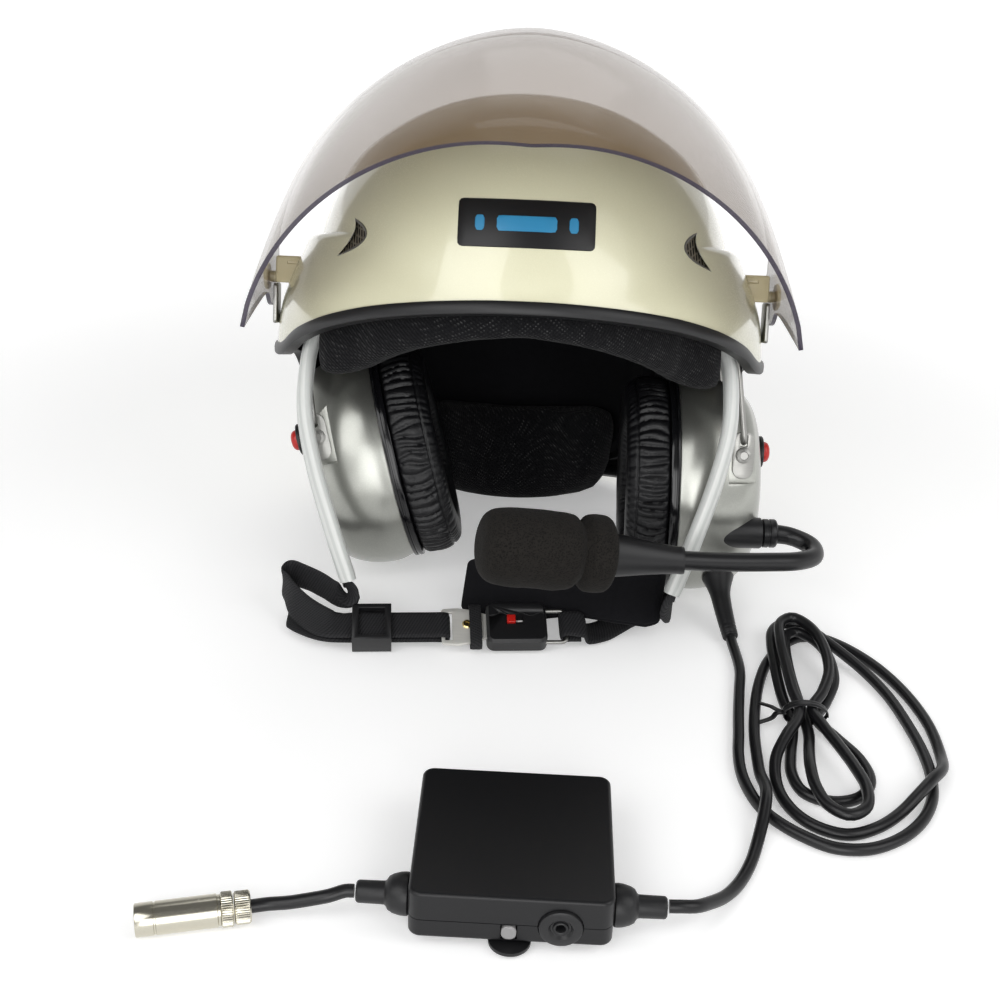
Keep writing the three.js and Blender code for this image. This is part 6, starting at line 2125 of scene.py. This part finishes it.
    def bracket(self) -> None:
        """The slotted steel plate with its rivet head, on the cup's front flat, and its twin at the back."""
        made = refined(f"cup_bracket_{self.word}", f"steel_bracket_{self.word}", 0.3, 2)
        dress(made, STEEL)
        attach(made, self.body)
        head = turned(f"rivet_{self.word}", [
            (0, 0), (3.4, 0), (3.7, 0.25), (3.6, 0.7), (2.2, 1.15), (2.0, 0.75), (0, 0.75)], 32)
        place(head, Matrix.Translation((33, -36.6, 19.5)) @ Matrix.Rotation(math.radians(-90), 4, "Z"))
        self.put(head, STEEL, "bright_steel")

    def button(self) -> None:
        """The red push button in its black collar."""
        collar = turned(f"collar_{self.word}", [
            (0, 36), (7.2, 36), (7.2, 46.4), (8.2, 46.4), (8.6, 46.8), (8.6, 47.9), (8.1, 48.4), (6.3, 48.4),
            (5.9, 48.0), (5.9, 38), (0, 38)], 48)
        place(collar, Matrix.Translation((0, 0, self.button_rise)))
        self.put(collar, BLACK_PLASTIC, "black_plastic", f"button_collar_{self.word}")
        cap = turned(f"red_cap_{self.word}", [
            (0, 41.5), (5.6, 41.5), (5.6, 49.4), (5.45, 50.3), (5.0, 51.1), (4.2, 51.75), (3.0, 52.2), (1.5, 52.45),
            (0, 52.5)], 48)
        place(cap, Matrix.Translation((0, 0, self.button_rise)))
        settle(cap, FRAMES.cup(self.side), BUTTON_RED, f"button_{self.word}", "red_plastic", f"push_button_{self.word}")

    def yoke(self) -> None:
        """The bent wire fork and the block that it swings in."""
        corners = [(6, -27, -49), (6, -37, -49), (0, -37, 0), (0, 37, 0), (6, 37, -49), (6, 27, -49)]
        line = spaced(bent(corners, 5.0, 10), 150)
        wire = carried(f"wire_fork_{self.word}", line, lambda t: oval(self.wire, self.wire, 16))
        settle(wire, FRAMES.yoke(self.side), STEEL, f"yoke_{self.word}", "bright_steel", f"yoke_wire_{self.word}")
        mount = refined(f"yoke_mount_{self.word}", f"wire_mount_{self.word}", 0.6, 2)
        dress(mount, BLACK_PLASTIC)
        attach(mount, "helmet")


@dataclass
class Boom:
    """The boom microphone on the right cup."""

    forward: float = 30.0
    lower: float = 22.0
    tube: float = 4.8
    path: tuple[Point, ...] = (
        (50.4, -30, -22), (61, -30, -23.5), (70, -36, -27), (70, -47, -30.5), (60, -58, -31.5), (42, -66.5, -31),
        (18, -77, -29.6), (-6, -87, -27.5))
    neck: tuple[Point, ...] = ((-2.0, -85.4, -27.9), (-24, -92, -25.5), (-43, -97, -23.6))
    foam_length: float = 65.0
    foam_radius: float = 19.4

    def put(self, obj: bpy.types.Object, finish: Finish, body: str, slot: str, *nodes: str) -> bpy.types.Object:
        """Settles a piece in the right cup's frame."""
        return settle(obj, FRAMES.cup(Side.RIGHT), finish, body, slot, *nodes)

    def build(self) -> None:
        """Makes the mount, the arm, the microphone and its foam."""
        at = Matrix.Translation((0, -self.forward, -self.lower))
        mount = turned("boom_base", [
            (0, 20), (8.2, 20), (8.2, 43.9), (7.9, 44.6), (7.2, 45), (2.4, 45), (2.4, 50), (0, 50)], 48)
        self.put(place(mount, at), BLACK_PLASTIC, "cup_right", "black_plastic", "boom_mount")
        hub = turned("hub", [
            (0, 45.3), (7.0, 45.3), (7.6, 45.8), (7.6, 48.2), (7.2, 48.5), (7.2, 49.0), (7.6, 49.3), (7.6, 51.6),
            (7.1, 52.5), (6.2, 53), (3.2, 53), (2.8, 52.4), (0, 52.4)], 48)
        place(hub, at)
        line = spaced(Course(self.path).run(160), 110)
        arm = carried("arm", line, lambda t: oval(*(2 * [self.tube * (1 + 0.06 * (1 - smoothstep(t, 0.0, 0.12)))]), 24))
        self.put(joined("boom_arm", hub, arm), CABLE_BLACK, "mic_arm", "cable_rubber", "mic_boom")
        course = Course(self.neck)
        line = course.run(48)
        rings = []
        for i, p in enumerate(line):
            t = i / 48
            swell = 0.75 * t + 0.25 * smoothstep(t, 0.1, 0.95)
            lip = 1 + 0.03 * (smoothstep(t, 0.0, 0.02) - smoothstep(t, 0.05, 0.07))
            soft = math.sqrt(max(0.0, 1 - max(0.0, (t - 0.955) / 0.045) ** 2 * 0.35))
            s = oval(mix(6.0, 8, swell) * lip * soft, mix(6.6, 11.4, swell) * lip * soft, 36)
            rings.append(np.array([(p[0] + 0 * a, p[1] + a, p[2] + b) for a, b in s]))
        neck = skin("neck", rings, degrees=50)
        self.put(neck, BLACK_PLASTIC, "mic_arm", "black_plastic", "mic_body")
        neck.name = neck.data.name = "mic_neck"
        self.foam()

    def foam(self) -> None:
        """The foam windscreen: a collar, a drawn-in waist and a full round end."""
        way = Vector(self.neck[2]) - Vector(self.neck[1])
        way.normalize()
        start = Vector(self.neck[2]) + way * -2.7
        shares = (
            (0, 0), (0.8, 0.0), (0.93, 0.012), (0.99, 0.045), (1.0, 0.11), (0.98, 0.17), (0.85, 0.21), (0.79, 0.235),
            (0.86, 0.262), (0.955, 0.3), (0.995, 0.37), (1.0, 0.58), (0.995, 0.78), (0.95, 0.88), (0.82, 0.95),
            (0.55, 0.99), (0.25, 1.0), (0, 1.0))
        line = Course(shares).run(68)
        profile = [(max(0.0, float(r)) * self.foam_radius, float(h) * self.foam_length) for r, h in line]
        made = turned("foam_screen", profile, 72, 60)
        for vertex in made.data.vertices:
            p = vertex.co
            lump = noise.noise(p * 0.09) * 0.5 + noise.noise(p * 0.35) * 0.16
            r = math.hypot(p.y, p.z)
            if r > 0.01:
                grow = 1 + (lump - 0.35) / max(r, 6.0)
                p.y, p.z = p.y * grow, p.z * grow
        turn = way.to_track_quat("X", "Z").to_matrix().to_4x4()
        place(made, Matrix.Translation(start) @ turn)
        self.put(made, FOAM_BLACK, "mic_arm", "black_foam", "mic_windscreen")


# Chin strap


FOLD = -34.8
RING = 25.5
WRAP = 2.6


def chain_knot(x: float, y: float, z: float, across: Point = (0, 1, 0)) -> tuple[float, ...]:
    """A strap's knot and across direction given in the buckle's frame, for the table's frame.

    Args:
        x: along the strap.
        y: across it.
        z: up from it.
        across: the strap's across direction.

    Returns:
        The place and the across direction, one after the other.
    """
    turn = FRAMES.table.inverted() @ FRAMES.chain
    at = turn @ Vector((x, y, z))
    way = (turn.to_3x3() @ Vector(across)).normalized()
    return (*at, *way)


@dataclass
class ChinStrap:
    """The two sleeves, the webbing, the slider, the buckle and the padded chin piece."""

    width: float = 15.0
    thickness: float = 1.8
    sleeve: Point = (6.1, 4.0)

    def build(self) -> None:
        """Makes all of it."""
        for side in Side:
            self.sleeve_tube(side)
        self.webbings()
        self.hardware()
        self.pad()

    def sleeve_tube(self, side: Side) -> None:
        """The white sleeve from the shell down to the strap.

        Args:
            side: which sleeve.
        """
        knots = (
            (95.5, -33, -13.8, 0, 1, 0), (104.8, -36, -30, 0, 1, 0), (107.6, -40, -46, 0.1, 1, 0),
            (107.8, -43, -66, 0.3, 1, 0.1), (103, -44, -92, 0.5, 1, 0.1), (92, -45, -128, 0.7, 1, 0.1),
            (83, -46, -153, 0.8, 1, 0.1))

        def section(t: float) -> Places:
            """The sleeve's ribbed oval at a share of its length.

            Args:
                t: the share.

            Returns:
                The oval's points.
            """
            turns = np.linspace(0, 2 * math.pi, 54, endpoint=False)
            ribs = 1 + 0.012 * np.cos(turns * 5 + 1.6 * math.sin(t * 6)) + 0.008 * np.cos(turns * 11)
            pinch = 1 - 0.06 * smoothstep(t, 0.97, 1.0)
            return np.stack([self.sleeve[0] * np.cos(turns), self.sleeve[1] * np.sin(turns)], axis=1) * (
                ribs * pinch)[:, None]

        made = self.along(f"sleeve_{side.word}", knots, 90, section)
        settle(made, FRAMES.flank(side), SLEEVE_SATIN, "helmet", "white_strap", f"strap_sleeve_{side.word}")

    def along(
        self, name: str, knots: Sequence[Point], steps: int, section: Callable[[float], Places],
        degrees: float = 50.0,
    ) -> bpy.types.Object:
        """A section carried along knots that give a place and an across direction.

        Args:
            name: its name.
            knots: the knots.
            steps: how many stretches it has.
            section: gives the section at a share of the length.
            degrees: the angle for its soft shading.

        Returns:
            The piece.
        """
        k = np.array([tuple(knot) for knot in knots], float)
        line, sides = Course(k[:, :3]).run(steps), Course(k[:, 3:]).run(steps)
        return carried(name, line, section, sides, degrees=degrees)

    def webbings(self) -> None:
        """The left strap through the slider and the tongue, and the right strap round the wire."""
        start = -84.0
        left = [
            (-82.85, -95.75, 28.5, 0.8, -0.97, 0.25), (-81.6, -97, 25.2, 0.8, -0.9, 0.4),
            (-83, -96.4, 21.4, 0.5, -0.6, 0.8), (-89, -92, 18.8, 0.2, -0.2, 1), (-98, -84.5, 19.4, 0, 0, 1),
            (-108, -78, 20, 0, 0, 1), (-115.5, -74.5, 19.6, 0, 0.1, 1), (-118.6, -78.5, 18.2, 0, 0.2, 1),
            (-115.6, -85.5, 16, 0, 0.3, 1), (-108, -96.5, 12.8, 0.1, 0.6, 0.8),
            chain_knot(start - 13, 1.5, 2.0, (0.05, 1, 0.15)), chain_knot(start - 6, 0, 2.1), chain_knot(start, 0, 2.2),
            chain_knot(start + 12, 0, 2.2), chain_knot(start + 26, 0, 2.2), chain_knot(FOLD - 8, 0, 2.2),
            chain_knot(FOLD - 2.4, 0, 2.2), chain_knot(FOLD - 0.4, 0, 1.4), chain_knot(FOLD, 0, 0),
            chain_knot(FOLD - 0.4, 0, -1.4), chain_knot(FOLD - 2.4, 0, -2.2), chain_knot(FOLD - 8, 0, -2.2),
            chain_knot(start + 26, 0, -2.2), chain_knot(start + 12, 0, -2.2), chain_knot(start, 0, -2.2),
            chain_knot(start - 10, 0.3, -2.6, (0, 1, -0.1)), (-106, -100, 4.6, 0.5, 0.85, 0),
            (-115, -88, 3.4, 0.7, 0.7, 0)]

        def left_section(t: float) -> Places:
            """The webbing's section, gathered at the sleeve and rounded at the free tail."""
            wide = min(1.0, 0.45 + 12 * t, 0.1 + (1 - t) / 0.03)
            return strap(self.width * wide, self.thickness)

        made = self.along("strap_left", left, 330, left_section, 60)
        place(made, FRAMES.table)
        dress(made, WEBBING)
        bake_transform(made)
        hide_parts("chin_webbing_left")
        right = [
            chain_knot(RING + 8, 0, -WRAP), chain_knot(RING + 3, 0, -WRAP), chain_knot(RING - 0.4, 0, -WRAP),
            chain_knot(RING - WRAP, 0, 0), chain_knot(RING - 0.4, 0, WRAP), chain_knot(RING + 3, 0, WRAP),
            chain_knot(RING + 9, 0, 0.8), (41, -98, 5.4, 0, 1, 0.02), (50, -92.4, 3.8, 0, 0.98, 0.15),
            (62, -84.4, 9, 0, 0.77, 0.64), (74, -82.4, 13.4, 0, 0.77, 0.64), (81.4, -83.6, 15.4, 0, 0.7, 0.7),
            (84, -87.8, 17, 0.05, 0.5, 0.85), (82.4, -94, 19.6, 0.25, 0.6, 0.7), (81.4, -97.3, 24.6, 0.6, 0.9, 0.1),
            (82.85, -95.75, 28.5, 0.8, 0.97, -0.25)]

        def right_section(t: float) -> Places:
            """The webbing's section, gathered where it enters the sleeve."""
            return strap(self.width * min(1.0, 0.45 + (1 - t) * 8), self.thickness)

        made = self.along("strap_right", right, 210, right_section, 60)
        settle(made, FRAMES.table, WEBBING, "helmet", "black_webbing", "chin_webbing_right")

    def hardware(self) -> None:
        """The slider, the tongue with its clip and keeper, the buckle with its tab, and the wire loop."""
        for node, name, body, slot, finish, bevel in (
            ("ladder_lock", "ladder_slider", "helmet", "black_plastic", BLACK_PLASTIC, 1.0),
            ("buckle_tongue", "steel_tongue", "buckle_tongue", "bright_steel", TONGUE_STEEL, 0.35),
            ("release_tab", "red_tab", "release_tab", "red_plastic", BUTTON_RED, 0.4),
        ):
            made = refined(node, name, bevel, 3)
            dress(made, finish)
            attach(made, body)
        shell = refined("buckle_body", "buckle_shell", 0.0)
        wave = np.array([(x, 4.4 + 0.9 * math.sin(x * 0.62), 5.0) for x in np.linspace(-17, 17, 60)])
        groove = carried("seam_cutter", wave, lambda t: oval(0.32, 0.45, 8), np.tile((0.0, 1.0, 0.0), (60, 1)))
        carve(shell, place(groove, FRAMES.chain))
        smooth(shell, 32)
        dress(shell, BLACK_PLASTIC)
        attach(shell, "helmet")
        # A pale strip beside the red tab, riding on the tab: a painted highlight where the slot's edge catches light.
        slot_highlight = block("white_mark", (-0.2, 0.55, 3.0), (3.3, 1.45, 3.55), 0.12, 2)
        settle(slot_highlight, FRAMES.chain, SLOT_HIGHLIGHT_WHITE, "release_tab", "black_plastic")
        clip = turned("brass_clip", [(0, 0), (2.5, 0), (2.6, 0.5), (2.0, 1.0), (1.1, 1.1), (0.9, 0.6), (0, 0.6)], 28)
        place(clip, Matrix.Translation((-25.2, 1.0, 0.9)) @ Matrix.Rotation(math.radians(-90), 4, "Y"))
        settle(clip, FRAMES.chain, BRASS, "buckle_tongue", "bright_steel")
        hoop = [(-21.0, -12.4, 0), (-21.0, -12.2, 1.9), (-21.0, 12.2, 1.9), (-21.0, 12.4, 0), (-21.0, 12.2, -1.9),
                (-21.0, -12.2, -1.9), (-21.0, -12.4, 0)]
        line = spaced(Course(hoop).run(120), 80)
        keeper = carried("strap_keeper", line, lambda t: strap(6.0, 1.1, 6), np.tile((1.0, 0.0, 0.0), (81, 1)))
        settle(keeper, FRAMES.chain, WEBBING, "buckle_tongue", "black_webbing")
        half = 9.8
        loop = spaced(bent([(12.5, -half, 0), (25.5, -half, 0), (25.5, half, 0), (12.5, half, 0)], 3.0, 8), 90)
        wire = carried("wire_ring", loop, lambda t: oval(1.1, 1.1, 14))
        settle(wire, FRAMES.chain, STEEL, "helmet", "bright_steel", "buckle_wire_loop")

    def pad(self) -> None:
        """The padded chin piece with its piped edges."""
        knots = (
            (-24, -70, 14.6, 0, 0.77, 0.64), (5, -74, 15, 0, 0.77, 0.64), (34, -76, 20, 0, 0.77, 0.64),
            (60, -82.6, 21.2, 0, 0.77, 0.64), (80, -86, 21, 0, 0.77, 0.64))
        outline = Course([
            (1, 0), (0.985, 0.12), (0.95, 0.13), (0.93, 0.3), (0.75, 0.5), (0.38, 0.56), (0, 0.56), (-0.38, 0.56),
            (-0.75, 0.5), (-0.93, 0.3), (-0.95, 0.13), (-0.985, 0.12), (-1, 0), (-0.985, -0.12), (-0.95, -0.13),
            (-0.93, -0.3), (-0.75, -0.5), (-0.38, -0.54), (0, -0.54), (0.38, -0.54), (0.75, -0.5), (0.93, -0.3),
            (0.95, -0.13), (0.985, -0.12), (1, 0)]).run(72)[:-1]

        def section(t: float) -> Places:
            """The padded piece's outline, rounded at its ends and pulled in at its two seams.

            Args:
                t: the share of its length.

            Returns:
                The outline's points.
            """
            wide = min(1.0, 0.72 + 0.28 * math.sqrt(min(1.0, min(t, 1 - t) / 0.09)))
            deep = 0.35 + 0.65 * min(1.0, min(t, 1 - t) / 0.05) ** 0.5
            dent = 1 - 0.16 * math.exp(-((t - 0.36) / 0.012) ** 2) - 0.16 * math.exp(-((t - 0.7) / 0.012) ** 2)
            return np.stack([outline[:, 0] * 17 * wide, outline[:, 1] * 7 * deep * dent], axis=1)

        made = self.along("chin_rest", knots, 150, section, 60)
        settle(made, FRAMES.table, LINING, "helmet", "lining_cloth", "chin_pad")


# Control box and connector


@dataclass
class ControlBox:
    """The control box: two halves, light, socket, glands and belt clip."""

    half: Point = (40.0, 39.0)
    split: float = 9.0
    lid_top: float = 22.15
    corner: float = 5.0
    bevel: float = 1.6
    wall: float = 2.0
    open_area: float = 2000.0

    def put(self, obj: bpy.types.Object, finish: Finish, slot: str, *nodes: str) -> bpy.types.Object:
        """Settles a piece in the box's frame."""
        return settle(obj, FRAMES.box, finish, "helmet", slot, *nodes)

    def build(self) -> list[bpy.types.Object]:
        """Makes all of it.

        Returns:
            The right and the left gland.
        """
        self.halves()
        self.light()
        self.socket()
        self.clip()
        return [self.gland(side) for side in Side]

    def tray(self, name: str, low: float, high: float, upward: bool) -> bpy.types.Object:
        """One half of the box, hollowed from its parting line.

        Args:
            name: the piece's name.
            low: its lowest height.
            high: its highest height.
            upward: whether its closed side is on top.

        Returns:
            The half.
        """
        w, d = self.half
        made = block(name, (-w, -d, low), (w, d, high))
        shut, open_ = (high, low) if upward else (low, high)

        def upright(obj: bpy.types.Object, edge: object) -> bool:
            """Whether an edge stands up."""
            a, b = (obj.data.vertices[i].co for i in edge.vertices)
            return abs(a.z - b.z) > 1

        def on_shut(obj: bpy.types.Object, edge: object) -> bool:
            """Whether an edge lies on the closed side."""
            return all(abs(obj.data.vertices[i].co.z - shut) < 0.01 for i in edge.vertices)

        def open_face(obj: bpy.types.Object, face: object) -> bool:
            """Whether a face is the large one on the open side, not one of the strips round it."""
            level = all(abs(obj.data.vertices[i].co.z - open_) < 0.01 for i in face.vertices)
            return level and face.area > self.open_area

        with chosen(made, "EDGE", upright):
            bpy.ops.mesh.bevel(offset=self.corner, segments=8, affect="EDGES")
        with chosen(made, "EDGE", on_shut):
            bpy.ops.mesh.bevel(offset=self.bevel, segments=5, affect="EDGES")
        with chosen(made, "FACE", open_face):
            bpy.ops.mesh.inset(thickness=0.35, depth=0.0)
        with chosen(made, "FACE", open_face):
            bpy.ops.mesh.inset(thickness=self.wall - 0.35, depth=0.0)
        with chosen(made, "FACE", open_face):
            bpy.ops.mesh.extrude_region_move(
                TRANSFORM_OT_translate={"value": (0, 0, (1 if upward else -1) * (high - low - self.wall))})
        return made

    def halves(self) -> None:
        """The lid and the base, with holes for the socket, the glands and the light."""
        lid = self.tray("box_cover", self.split + 0.15, self.lid_top, True)
        base = self.tray("box_tub", 0.0, self.split - 0.15, False)
        for piece in (lid, base):
            tools = []
            hole = turned("hole", [(0, -60), (9.0, -60), (9.0, -20), (0, -20)], 48)
            place(hole, Matrix.Translation((19.5, 0, self.split)) @ Matrix.Rotation(math.radians(90), 4, "Z"))
            tools.append(hole)
            bore = turned("bore", [(0, -90), (4.5, -90), (4.5, 90), (0, 90)], 32)
            tools.append(place(bore, Matrix.Translation((0, -25, self.split))))
            carve(piece, *tools)
        window = block("window", (-3.8, -60, 1.7), (2.8, -20, 8.7), 0.0)
        carve(base, window)
        lugs = []
        for way in (-1, 1):
            near, far = sorted((way * 8.8, way * 12.2))
            lug = block("lug", (near, 6.0, -4.7), (far, 11.0, 2.0), 0.8, 3)
            bore = turned("lug_bore", [(0, -20), (1.45, -20), (1.45, 20), (0, 20)], 24)
            carve(lug, place(bore, Matrix.Translation((0, 8.5, -2.5))))
            lugs.append(lug)
        feet = []
        for x, y in ((-32, -31), (32, -31), (-32, 31), (32, 31)):
            screw = turned("screw", [
                (0, -0.35), (0.9, -0.35), (1.1, 0.1), (2.4, 0.15), (2.6, -0.2), (2.6, 1), (0, 1)], 20)
            feet.append(place(screw, Matrix.Translation((x, y, 0)) @ Matrix.Rotation(math.radians(-90), 4, "Y")))
        base = joined("box_tub", base, *lugs)
        smooth(base, 30)
        smooth(lid, 30)
        self.put(lid, BOX_BLACK, "box_plastic", "box_lid")
        self.put(base, BOX_BLACK, "box_plastic", "box_base")
        self.put(joined("base_screws", *feet), STEEL, "bright_steel")

    def light(self) -> None:
        """The milky light in the front."""
        made = block("box_light", (-3.5, -39.8, 2.0), (2.5, -35.8, 8.4), 0.0)

        def upper(obj: bpy.types.Object, edge: object) -> bool:
            """Whether an edge runs from front to back."""
            a, b = (obj.data.vertices[i].co for i in edge.vertices)
            return abs(a.y - b.y) > 1

        with chosen(made, "EDGE", upper):
            bpy.ops.mesh.bevel(offset=2.6, segments=7, affect="EDGES")
        modify(made, "BEVEL", width=0.5, segments=3, limit_method="ANGLE", angle_limit=math.radians(50))
        smooth(made, 30)
        self.put(made, LIGHT_LENS, "light_lens", "status_light")

    def socket(self) -> None:
        """The round audio socket at the parting line."""
        made = turned("socket_ring", [
            (0, -31.0), (1.8, -31.0), (1.8, -39.4), (2.1, -39.9), (2.5, -40.1), (2.9, -39.9),
            (3.2, -39.3), (4.0, -39.5), (4.6, -40.2), (5.0, -40.6), (7.9, -40.55), (8.45, -40.2), (8.7, -39.6),
            (8.7, -35.4), (4.2, -35.4), (4.2, -27.0), (0, -27.0)], 64)
        at = Matrix.Translation((19.5, 0, self.split)) @ Matrix.Rotation(math.radians(90), 4, "Z")
        self.put(place(made, at), BLACK_PLASTIC, "black_plastic", "audio_socket")

    def gland(self, side: Side) -> bpy.types.Object:
        """A ribbed rubber gland over the cord.

        Args:
            side: which side.

        Returns:
            The piece.
        """
        profile = [
            (0, -4.3), (4.2, -4.3), (4.2, 0), (8.0, 0), (8.5, 0.5), (8.6, 1.6), (8.4, 3.6), (7.6, 6.4), (6.6, 8.2),
            (5.2, 9.0), (4.7, 9.6), (4.6, 10.4), (4.5, 19.9), (4.3, 20.5), (3.7, 21.0), (0, 21.0)]
        made = turned(f"gland_{side.word}", profile, 48)
        place(made, Matrix.Translation((0, -25, self.split)) @ Matrix.Diagonal((side.value, 1, 1, 1)) @
              Matrix.Translation((40.3, 0, 0)))
        return self.put(made, TRIM_RUBBER, "cable_rubber", f"box_gland_{side.word}")

    def clip(self) -> None:
        """The belt clip under the base."""
        made = refined("belt_clip", "spring_clip", 0.35, 2)
        dress(made, BLACK_PLASTIC)
        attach(made, "belt_clip")


@dataclass
class Connector:
    """The round nickel connector with its knurled nut."""

    radius: float = 6.6

    def knurled(self, name: str, profile: Sequence[Point], low: float, high: float, teeth: int) -> bpy.types.Object:
        """A turned ring whose outside is cut into fine teeth between two places along it.

        Args:
            name: its name.
            profile: its side line.
            low: where the teeth start.
            high: where they end.
            teeth: how many there are.

        Returns:
            The piece.
        """
        rings = []
        columns = teeth * 4
        for r, x in profile:
            ring = []
            for i in range(columns):
                a = 2 * math.pi * i / columns
                cut = 0.28 if low <= x <= high and i % 4 in (0, 3) else 0.0
                ring.append((x, (r - cut) * math.cos(a), (r - cut) * math.sin(a)))
            rings.append(np.array(ring))
        return skin(name, rings, degrees=28)

    def build(self) -> list[bpy.types.Object]:
        """Makes it.

        Returns:
            The nut and the barrel.
        """
        nut = self.knurled("plug_nut", [
            (3.4, 0), (5.9, 0), (6.4, -0.5), (6.6, -0.9), (6.6, -5.6), (6.3, -6.1), (5.9, -6.5), (3.4, -6.5)],
            -5.7, -0.8, 44)
        settle(nut, FRAMES.plug, NICKEL, "connector_nut", "nickel", "connector_nut")
        ring = self.knurled("ring", [
            (3.4, -6.8), (6.2, -6.8), (6.8, -7.2), (7.0, -7.5), (7.0, -11.1), (6.8, -11.4), (6.2, -11.8), (3.4, -11.8)],
            -11.2, -7.4, 46)
        barrel = turned("barrel", [
            (3.4, -11.0), (6.2, -11.9), (6.2, -12.8), (6.6, -13.1), (6.6, -36.6), (6.3, -36.8), (6.3, -37.4),
            (6.6, -37.6), (6.6, -44.3), (6.35, -44.7), (6.0, -44.8), (5.6, -44.8), (5.4, -44.5), (5.4, -34.0),
            (3.4, -33.5), (3.4, -11.0)], 64)
        core = turned("core", [(0, -11.0), (3.4, -11.0), (3.4, -33.4), (0, -33.4)], 40)
        screw = turned("screw", [(0, 5.9), (1.4, 5.9), (1.4, 6.75), (1.1, 6.9), (0.3, 6.9), (0.3, 6.6), (0, 6.6)], 18)
        place(screw, Matrix.Translation((-22, 0, 0)) @ Matrix.Rotation(math.radians(-62), 4, "Y"))
        body = joined("plug_barrel", barrel, ring, core, screw)
        settle(body, FRAMES.plug, NICKEL, "helmet", "nickel", "connector_body")
        disc = turned("plug_insert", [(0, -36.0), (5.3, -36.0), (5.3, -34.2), (0, -34.2)], 40)
        settle(disc, FRAMES.plug, BLACK_PLASTIC, "helmet", "black_plastic")
        pins = []
        for i in range(5):
            a = math.radians(90 + (i - 2) * 58)
            pin = turned("pin", [(0, -41.6), (0.35, -41.5), (0.6, -41.0), (0.6, -35.5), (0, -35.5)], 14)
            pins.append(place(pin, Matrix.Translation((0, 3.1 * math.cos(a), 3.1 * math.sin(a)))))
        settle(joined("plug_pins", *pins), FRAMES.plug, BRASS, "helmet", "nickel")
        return [nut, body]


PLAIN_LOOKS: dict[str, Finish] = {
    "pearl_shell": SHELL_PEARL, "rubber_trim": TRIM_RUBBER, "eps_foam": CORE_FOAM, "lining_cloth": LINING,
    "clear_visor": VISOR_FILM, "bright_steel": STEEL, "silver_cup": CUP_SILVER, "black_plastic": BLACK_PLASTIC,
    "black_leather": LEATHER, "red_plastic": BUTTON_RED, "black_foam": FOAM_BLACK, "white_strap": SLEEVE_SATIN,
    "black_webbing": WEBBING, "cable_rubber": CABLE_BLACK, "box_plastic": BOX_BLACK, "board_green": BOARD_GREEN,
    "light_lens": LIGHT_LENS, "nickel": NICKEL,
}


def dress_frame() -> None:
    """Gives every CAD node that still shows its slot's finish."""
    slots = {row["node"]: row["material_slot"] for row in FRAME["record"]["subparts"]}
    for name, obj in FRAME["nodes"].items():
        dress(obj, PLAIN_LOOKS[slots[name]])


def main() -> None:
    """Builds the object and its studio."""
    logging.basicConfig(level=logging.INFO, format="%(name)s: %(message)s")
    Studio().build()
    dress_frame()
    HelmetShell().build()
    HeadPads().build()
    Visor().build()
    for side in Side:
        EarCup(side).build()
    Boom().build()
    ChinStrap().build()
    gland, _ = ControlBox().build()
    Cords().build([gland], Connector().build())
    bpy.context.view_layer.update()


if __name__ == "__main__":
    main()
